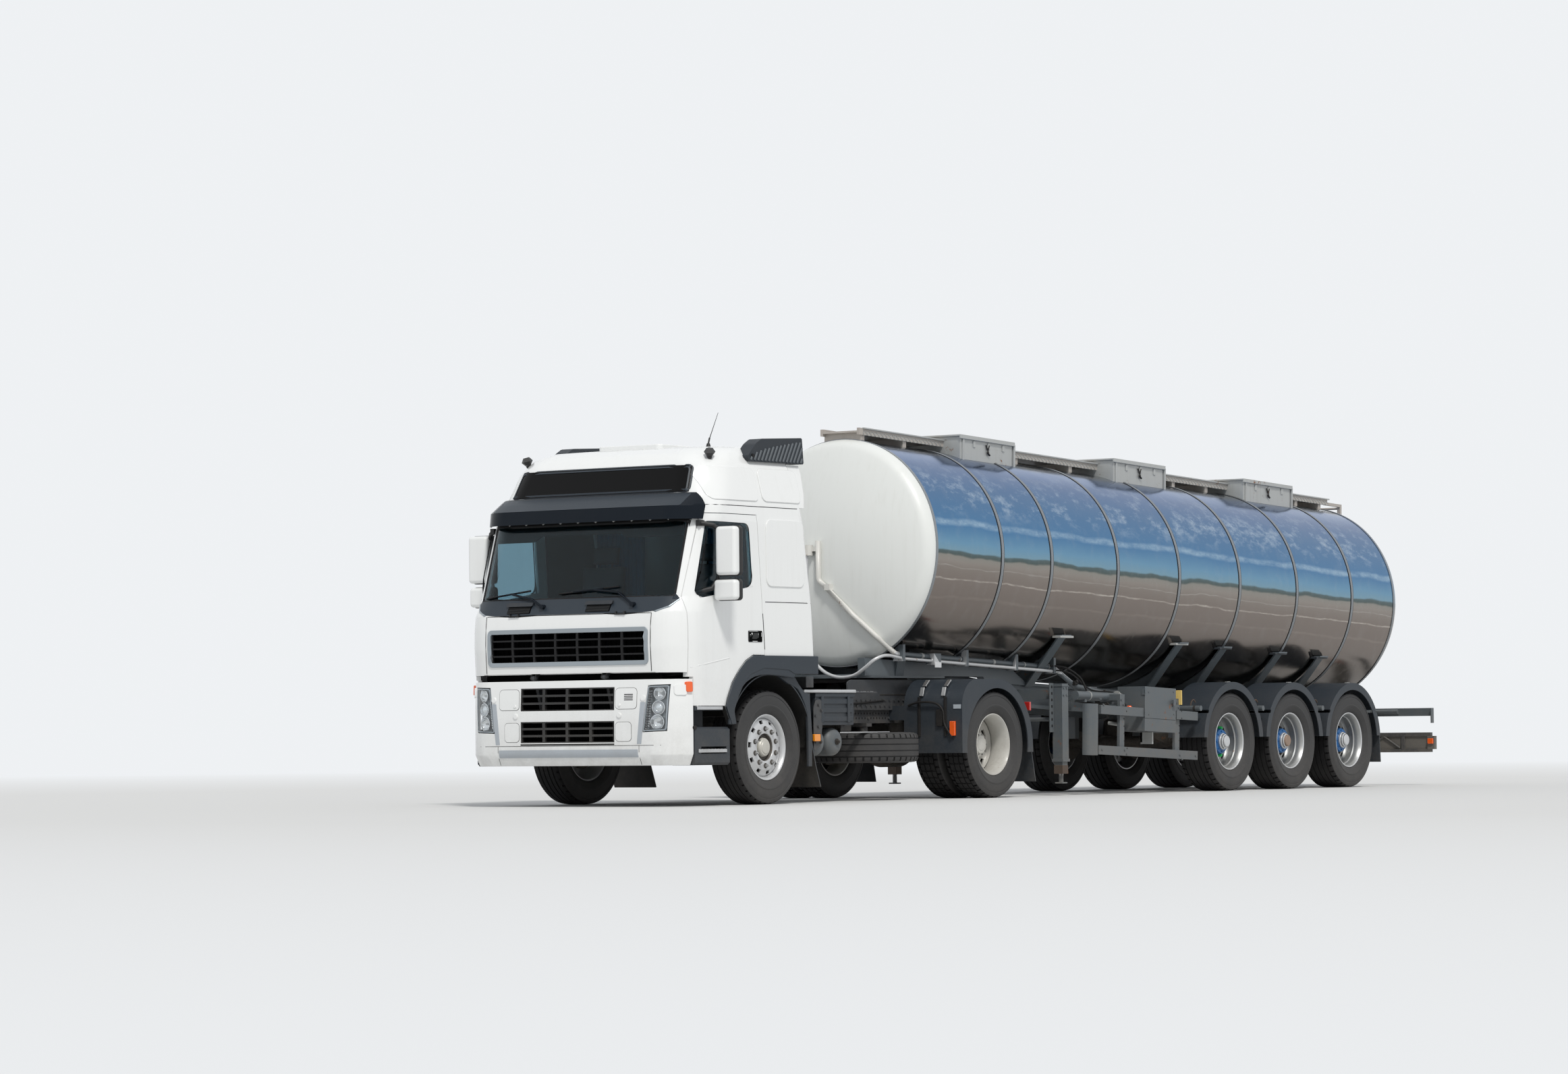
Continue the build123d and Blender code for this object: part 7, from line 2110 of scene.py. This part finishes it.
def cabinet_fittings():
    """Latch and bolts of the cabinet door, a yellow board and brackets."""
    bm = bmesh.new()
    for x, z in ((-6.66, 1.03), (-7.16, 1.03), (-6.66, 0.8), (-7.16, 0.8)):
        y = side_face(["cabinet_door", "valve_cabinet"], x, z, 1)
        bolt(bm, at(x, y, z), (0, 1, 0), 0.006)
    rod(bm, at(-7.13, 1.2, 0.92), at(-7.13, 1.232, 0.92), 0.016, 20)
    slab(bm, at(-7.155, 1.228, 0.89), at(-7.105, 1.238, 0.95))
    new_piece("cabinet_latch", bm, "cabinet_door", "trailer_paint")
    bm = bmesh.new()
    slab(bm, at(-7.335, 1.06, 0.9), at(-7.325, 1.205, 1.05))
    new_piece("yellow_board", bm, "trailer", "yellow_plate", edge=0.004)
    bm = bmesh.new()
    slab(bm, at(-6.85, 1.0, 0.5), at(-6.83, 1.14, 0.62))
    slab(bm, at(-6.98, 1.0, 0.52), at(-6.83, 1.02, 0.62))
    rod(bm, at(-6.7, 0.7, 0.72), at(-6.7, 1.12, 0.66), 0.018, 12)
    new_piece("cabinet_brackets", bm, "trailer", "box_steel")


def pipe_run():
    """Pale couplings, pipe end, hoses and small lamps on the pipe run."""
    bm = bmesh.new()
    for x in (-3.02, -3.34, -3.36, -4.02, -4.62, -4.64, -5.2, -5.66):
        level = tank_level(x)
        rod(bm, at(x - 0.006, 0.618, level - 0.992), at(x + 0.006, 0.618, level - 0.992), 0.0295, 28)
    rod(bm, at(-6.455, 0.93, 0.998), at(-6.47, 0.93, 0.998), 0.034, 28)
    new_piece("pipe_couplings", bm, "trailer", "box_steel")
    bm = bmesh.new()
    level = tank_level(-3.53)
    slab(bm, at(-3.585, 0.688, level - 1.1), at(-3.475, 0.7, level - 1.045))
    new_piece("clamp_block", bm, "trailer", "white_lens", edge=0.005, cuts=3)
    bm = bmesh.new()
    rod(bm, at(-5.56, 1.0, 1.0), at(-6.42, 1.0, 0.975), 0.046, 32)
    for x in (-5.8, -6.36):
        rod(bm, at(x, 1.0, 0.995), at(x - 0.012, 1.0, 0.994), 0.05, 32, 1)
    rod(bm, at(-6.415, 1.0, 0.975), at(-6.428, 1.0, 0.975), 0.049, 32, 2)
    slab(bm, at(-5.74, 0.86, 0.93), at(-5.7, 1.03, 0.96))
    slab(bm, at(-6.26, 0.86, 0.91), at(-6.22, 1.03, 0.935))
    new_piece("hose_tube", bm, "trailer", ("trailer_paint", "box_steel", "aluminium"))
    bm = bmesh.new()
    level = tank_level(-5.72)
    hose(
        bm,
        [
            at(-5.66, 0.65, level - 0.98), at(-5.8, 0.74, level - 1.0), at(-5.92, 0.84, level - 1.1),
            at(-5.96, 0.9, level - 1.24), at(-6.02, 0.98, 0.93), at(-6.1, 1.02, 0.9)
        ], 0.01
    )
    hose(
        bm,
        [
            at(-5.7, 0.64, level - 1.02), at(-5.84, 0.78, level - 1.06), at(-6.02, 0.9, 1.06), at(-6.3, 0.98, 1.03),
            at(-6.44, 0.99, 0.96)
        ], 0.008
    )
    hose(bm, [at(-6.16, 0.95, 0.9), at(-6.3, 0.99, 0.87), at(-6.38, 1.04, 0.86), at(-6.43, 1.06, 0.9)], 0.016)
    hose(bm, [at(-6.2, 0.6, 0.95), at(-6.35, 0.8, 0.9), at(-6.45, 0.85, 0.8), at(-6.6, 0.7, 0.75)], 0.012)
    new_piece("trailer_hoses", bm, "trailer", "black_rubber")
    bm = bmesh.new()
    for x, y, z, radius in (
        (-6.12, 1.02, 0.9, 0.02), (-6.06, 0.96, 0.93, 0.016), (-6.22, 0.93, 1.03, 0.018), (-6.32, 0.95, 1.01, 0.016),
        (-6.02, 0.72, 1.13, 0.022)
    ):
        rod(bm, at(x - 0.03, y, z), at(x + 0.03, y, z - 0.008), radius, 14)
        rod(bm, at(x, y - 0.01, z), at(x, y + 0.03, z + 0.02), radius * 0.7, 6)
    new_piece("pipe_fittings", bm, "trailer", "cast_iron")
    for side, label in SIDES:
        bm = bmesh.new()
        rod(bm, at(-6.455, side * 1.085, 0.87), at(-6.455, side * 1.11, 0.87), 0.026, 24)
        ball(bm, at(-6.455, side * 1.105, 0.87), 0.024, 20)
        new_piece("side_lamp_" + label, bm, "trailer", "orange_lens", smooth=60)


def mudguard_stays():
    """Tube ends and clips that carry the trailer's mudguards."""
    bm = bmesh.new()
    for side in (1, -1):
        for x in TRAILER_AXLES:
            rod(bm, at(x + 0.66, side * 0.95, 0.865), at(x + 0.66, side * 1.225, 0.865), 0.028, 20)
            rod(bm, at(x + 0.66, side * 1.14, 0.865), at(x + 0.66, side * 1.165, 0.865), 0.03, 20, 1)
            hose(
                bm,
                [
                    at(x + 0.66, side * 1.1, 0.88), at(x + 0.645, side * 1.1, 0.93), at(x + 0.615, side * 1.11, 0.955),
                    at(x + 0.6, side * 1.12, 0.93)
                ], 0.007, 8, 2
            )
            top = first_hit(["trailer_mudguards"], Vector((x + 0.02 + SHIFT, side * 1.18, 3)), Vector((0, 0, -1)))
            if top:
                slab(bm, top + Vector((-0.032, -0.014, -0.004)), top + Vector((0.032, 0.014, 0.006)), 3)
    new_piece("guard_stay_ends", bm, "trailer", ("trailer_paint", "cast_iron", "rusty_iron", "box_steel"))


def rear_end():
    """Posts, struts and lamps on the front of the rear bumper."""
    bm = bmesh.new()
    for side in (1, -1):
        for y, width in ((0.84, 0.022), (0.22, 0.018)):
            slab(bm, at(-12.887, side * y - width, 0.398), at(-12.868, side * y + width, 0.556))
        for y0, z0, y1, z1 in ((0.34, 0.415, 0.6, 0.545), (0.6, 0.545, 0.8, 0.415)):
            rod(bm, at(-12.876, side * y0, z0), at(-12.876, side * y1, z1), 0.013, 4)
    new_piece("bumper_posts", bm, "trailer", "frame_paint", edge=0.002)
    for side, label in SIDES:
        bm = bmesh.new()
        slab(bm, at(-12.868, side * 1.195 - 0.034, 0.462), at(-12.846, side * 1.195 + 0.034, 0.522))
        new_piece("end_lamp_" + label, bm, "trailer", "orange_lens", edge=0.005, cuts=3)


class LORRY_OT_trailer_sides(bpy.types.Operator):
    """Bolts, hoses, lamps, latches and plates along the trailer"""

    bl_idname = "lorry.trailer_sides"
    bl_label = "Trailer sides"

    def execute(self, context):
        saddle_strips()
        leg_fittings()
        guard_bolts()
        cabinet_fittings()
        pipe_run()
        mudguard_stays()
        rear_end()
        return {"FINISHED"}


BOX_ROWS = ((-4.37, -5.33), (-7.3, -8.31), (-10.03, -11.07))


class LORRY_OT_tank_top(bpy.types.Operator):
    """Mesh, edges and latches of the walkway and hatch boxes"""

    bl_idname = "lorry.tank_top"
    bl_label = "Tank top"

    def execute(self, context):
        bm = bmesh.new()
        top = 1.105 + 0.06
        place = tank_matrix() @ Matrix.Translation((SHIFT, 0, 0))
        spans = ((-2.905, -4.33), (-5.37, -7.27), (-8.35, -9.99), (-11.11, -12.28))
        for start, end in spans:
            count = int((start - end) / 0.034)
            for number in range(count):
                x = start - 0.017 - number * 0.034
                for side in (1, -1):
                    for row in range(2):
                        z = top - 0.014 + row * 0.022
                        turn = Matrix.Rotation(math.radians(38 if (number + row) % 2 else -38), 4, "Y")
                        slab(
                            bm, (x - 0.017, side * 0.2315 - 0.002, z - 0.003),
                            (x + 0.017, side * 0.2315 + 0.002, z + 0.003), 0, turn
                        )
                for y in range(6):
                    middle = -0.17 + y * 0.068
                    turn = Matrix.Rotation(math.radians(40 if (number + y) % 2 else -40), 4, "Z")
                    slab(
                        bm, (x - 0.018, middle - 0.004, top + 0.017), (x + 0.018, middle + 0.004, top + 0.024), 0, turn
                    )
        bmesh.ops.transform(bm, matrix=place, verts=bm.verts)
        new_piece("deck_mesh", bm, "trailer", "box_steel")
        bm = bmesh.new()
        for start, end in spans:
            for side in (1, -1):
                slab(bm, (end, side * 0.236 - 0.012, top + 0.036), (start, side * 0.236 + 0.012, top + 0.05))
        for start, end in BOX_ROWS:
            for side in (1, -1):
                for share in (0.22, 0.5, 0.78):
                    x = start + (end - start) * share
                    slab(bm, (x - 0.02, side * 0.434 - 0.006, 1.15), (x + 0.02, side * 0.434 + 0.006, 1.214))
                slab(bm, (end + 0.004, side * 0.432 - 0.004, 0.985), (start - 0.004, side * 0.432 + 0.004, 0.999))
            for x in (start - 0.01, end + 0.01):
                for y in (-0.43, 0.43):
                    slab(bm, (x - 0.014, y - 0.014, 0.93), (x + 0.014, y + 0.014, 1.235))
        bmesh.ops.transform(bm, matrix=place, verts=bm.verts)
        new_piece("box_edges", bm, "trailer", "box_steel", edge=0.002)
        bm = bmesh.new()
        for start, end in BOX_ROWS:
            x = start + (end - start) * 0.47
            for side in (1, -1):
                for lean in (1, -1):
                    rod(bm, (x + lean * 0.03, side * 0.44, 1.19), (x - lean * 0.012, side * 0.446, 1.11), 0.007, 10)
                rod(bm, (x + 0.012, side * 0.446, 1.115), (x - 0.03, side * 0.446, 1.09), 0.01, 10)
        bmesh.ops.transform(bm, matrix=place, verts=bm.verts)
        new_piece("box_latches", bm, "trailer", "cast_iron")
        return {"FINISHED"}


def cushion(name, low, high, matrix, thin, seams):
    """A padded piece: a crowned form with sewn channels across it, flat where it rests."""
    bm = bmesh.new()
    bmesh.ops.create_cube(bm, size=2.0)
    bmesh.ops.subdivide_edges(bm, edges=bm.edges, cuts=13, use_grid_fill=True)
    size = (Vector(high) - Vector(low)) / 2
    across = [axis for axis in range(3) if axis != thin]
    for vert in bm.verts:
        spot = vert.co.copy()
        edge = max(abs(spot[axis]) for axis in across)
        crown = 1 - 0.42 * edge ** 5 - 0.06 * edge ** 2
        for seam in seams:
            crown -= 0.16 * math.exp(-((spot[across[1]] - seam) / 0.045) ** 2)
        top = spot[thin] > 0
        vert.co[thin] = spot[thin] * (crown if top else 1 - 0.16 * edge ** 6)
        for axis in across:
            other = across[1 - across.index(axis)]
            vert.co[axis] *= 1 - 0.035 * (1 - spot[other] ** 2) * abs(spot[axis]) ** 3
            vert.co[axis] *= 1 - 0.05 * abs(spot[thin]) ** 4
    bmesh.ops.transform(bm, matrix=matrix @ Matrix.Diagonal((*size, 1)), verts=bm.verts)
    piece = new_piece(name, bm, "cab", "cloth", smooth=60)
    smoother = piece.modifiers.new("rounding", "SUBSURF")
    smoother.levels = 1
    smoother.render_levels = 1


def seats_and_bunk():
    """Seat boxes and bunk base, with their cushions."""
    bm = bmesh.new()
    for side in (1, -1):
        slab(bm, at(0.2, side * 0.62 - 0.2, 1.236), at(0.54, side * 0.62 + 0.2, 1.42))
        for row in range(4):
            slab(
                bm, at(0.175 + 0.006 * row, side * 0.62 - 0.225, 1.422 + row * 0.014),
                at(0.565 - 0.006 * row, side * 0.62 + 0.225, 1.432 + row * 0.014)
            )
        slab(bm, at(0.13, side * 0.62 - 0.235, 1.478), at(0.6, side * 0.62 + 0.235, 1.492))
        for y in (-0.07, 0.07):
            rod(bm, at(0.06, side * 0.62 + y, 2.15), at(0.052, side * 0.62 + y, 2.26), 0.007, 10)
        for y in (-0.255, 0.255):
            slab(bm, at(0.13, side * 0.62 + y - 0.022, 1.69), at(0.42, side * 0.62 + y + 0.022, 1.735))
    slab(bm, at(-0.615, -1.18, 1.236), at(-0.08, 1.18, 1.676))
    for y in (-0.62, 0.0, 0.62):
        slab(bm, at(-0.084, y - 0.29, 1.3), at(-0.072, y + 0.29, 1.62))
    new_piece("seat_boxes_and_bunk", bm, "cab", "leather", node="seats_and_bunk", edge=0.006)
    for side, label in SIDES:
        middle = side * 0.62
        place = Matrix.Translation(at(0.365, middle, 1.556))
        cushion("seat_cushion_" + label, (-0.255, -0.235, -0.062), (0.255, 0.235, 0.062), place, 2, (-0.45, 0.45))
        lean = Matrix.Rotation(math.radians(-7.5), 4, "Y")
        place = Matrix.Translation(at(0.128, middle, 1.885)) @ lean
        cushion("seat_back_" + label, (-0.058, -0.23, -0.32), (0.058, 0.23, 0.32), place, 0, (-0.35, 0.05, 0.45))
        place = Matrix.Translation(at(0.052, middle, 2.3)) @ lean
        cushion("headrest_" + label, (-0.042, -0.14, -0.078), (0.042, 0.14, 0.078), place, 0, ())
    place = Matrix.Translation(at(-0.345, 0, 1.733))
    cushion("mattress", (-0.265, -1.14, -0.054), (0.265, 1.14, 0.054), place, 2, (-0.6, -0.2, 0.2, 0.6))


class LORRY_OT_interior(bpy.types.Operator):
    """Seats, bunk, curtains, shade band and dashboard details seen through the glass"""

    bl_idname = "lorry.interior"
    bl_label = "Interior"

    def execute(self, context):
        seats_and_bunk()
        bm = bmesh.new()
        for number in range(46):
            y = -1.02 + number * 0.0455
            if abs(y + 0.5) > 0.28 and abs(y - 0.72) > 0.2:
                continue
            rod(bm, at(-0.02 + 0.012 * (number % 2), y, 1.86), at(-0.02 + 0.012 * (number % 2), y, 2.56), 0.026, 10)
        new_piece("curtains", bm, "cab", "curtain_cloth", smooth=60)
        bm = bmesh.new()
        plate(
            bm,
            [
                (-1.05, 2.535), (1.05, 2.535), (1.058, 2.405), (0.46, 2.405), (0.4, 2.445), (-0.5, 2.445),
                (-0.58, 2.395), (-1.058, 2.395)
            ], "X", -0.022, -0.016, 0.02
        )
        wrap_front(bm, ["windscreen"])
        new_piece("shade_band", bm, "cab", "black_plastic")
        bm = bmesh.new()
        for y in (-0.62, 0.56):
            slab(bm, at(1.02, y - 0.19, 1.7), at(1.2, y + 0.19, 1.775))
        slab(bm, at(1.0, -0.24, 1.735), at(1.1, 0.2, 1.835))
        slab(bm, at(0.93, 0.4, 1.5), at(0.98, 0.72, 1.66))
        new_piece("dash_top", bm, "cab", "black_plastic", edge=0.015, cuts=3)
        return {"FINISHED"}


CLASSES = (
    LorryColours, LorrySizes, LORRY_OT_stage, LORRY_OT_plain, LORRY_OT_tank, LORRY_OT_tyres, LORRY_OT_rims,
    LORRY_OT_cab_front, LORRY_OT_bumper, LORRY_OT_headlamps, LORRY_OT_cab_sides, LORRY_OT_mirrors,
    LORRY_OT_tractor_sides, LORRY_OT_trailer_sides, LORRY_OT_tank_top, LORRY_OT_interior
)


class LORRY_PT_panel(bpy.types.Panel):
    """Lists the pieces in the order they are made"""

    bl_label = "Tanker lorry"
    bl_idname = "LORRY_PT_panel"
    bl_space_type = "VIEW_3D"
    bl_region_type = "UI"
    bl_category = "Tanker lorry"

    def draw(self, context):
        column = self.layout.column()
        for group in (context.scene.lorry_colours, context.scene.lorry_sizes):
            for name in group.__annotations__:
                column.prop(group, name)
        for item in CLASSES[2:]:
            column.operator(item.bl_idname)


def register():
    """Registers the classes and adds the settings to the scene."""
    for item in (*CLASSES, LORRY_PT_panel):
        bpy.utils.register_class(item)
    bpy.types.Scene.lorry_colours = bpy.props.PointerProperty(type=LorryColours)
    bpy.types.Scene.lorry_sizes = bpy.props.PointerProperty(type=LorrySizes)


def unregister():
    """Takes the settings and classes away again."""
    del bpy.types.Scene.lorry_sizes
    del bpy.types.Scene.lorry_colours
    for item in reversed((*CLASSES, LORRY_PT_panel)):
        bpy.utils.unregister_class(item)


def main():
    """Makes every piece and the stage."""
    register()
    bpy.ops.lorry.stage()
    bpy.ops.lorry.plain()
    bpy.ops.lorry.tank()
    bpy.ops.lorry.tyres()
    bpy.ops.lorry.rims()
    bpy.ops.lorry.cab_front()
    bpy.ops.lorry.bumper()
    bpy.ops.lorry.headlamps()
    bpy.ops.lorry.cab_sides()
    bpy.ops.lorry.mirrors()
    bpy.ops.lorry.tractor_sides()
    bpy.ops.lorry.trailer_sides()
    bpy.ops.lorry.tank_top()
    bpy.ops.lorry.interior()


if __name__ == "__main__":
    main()
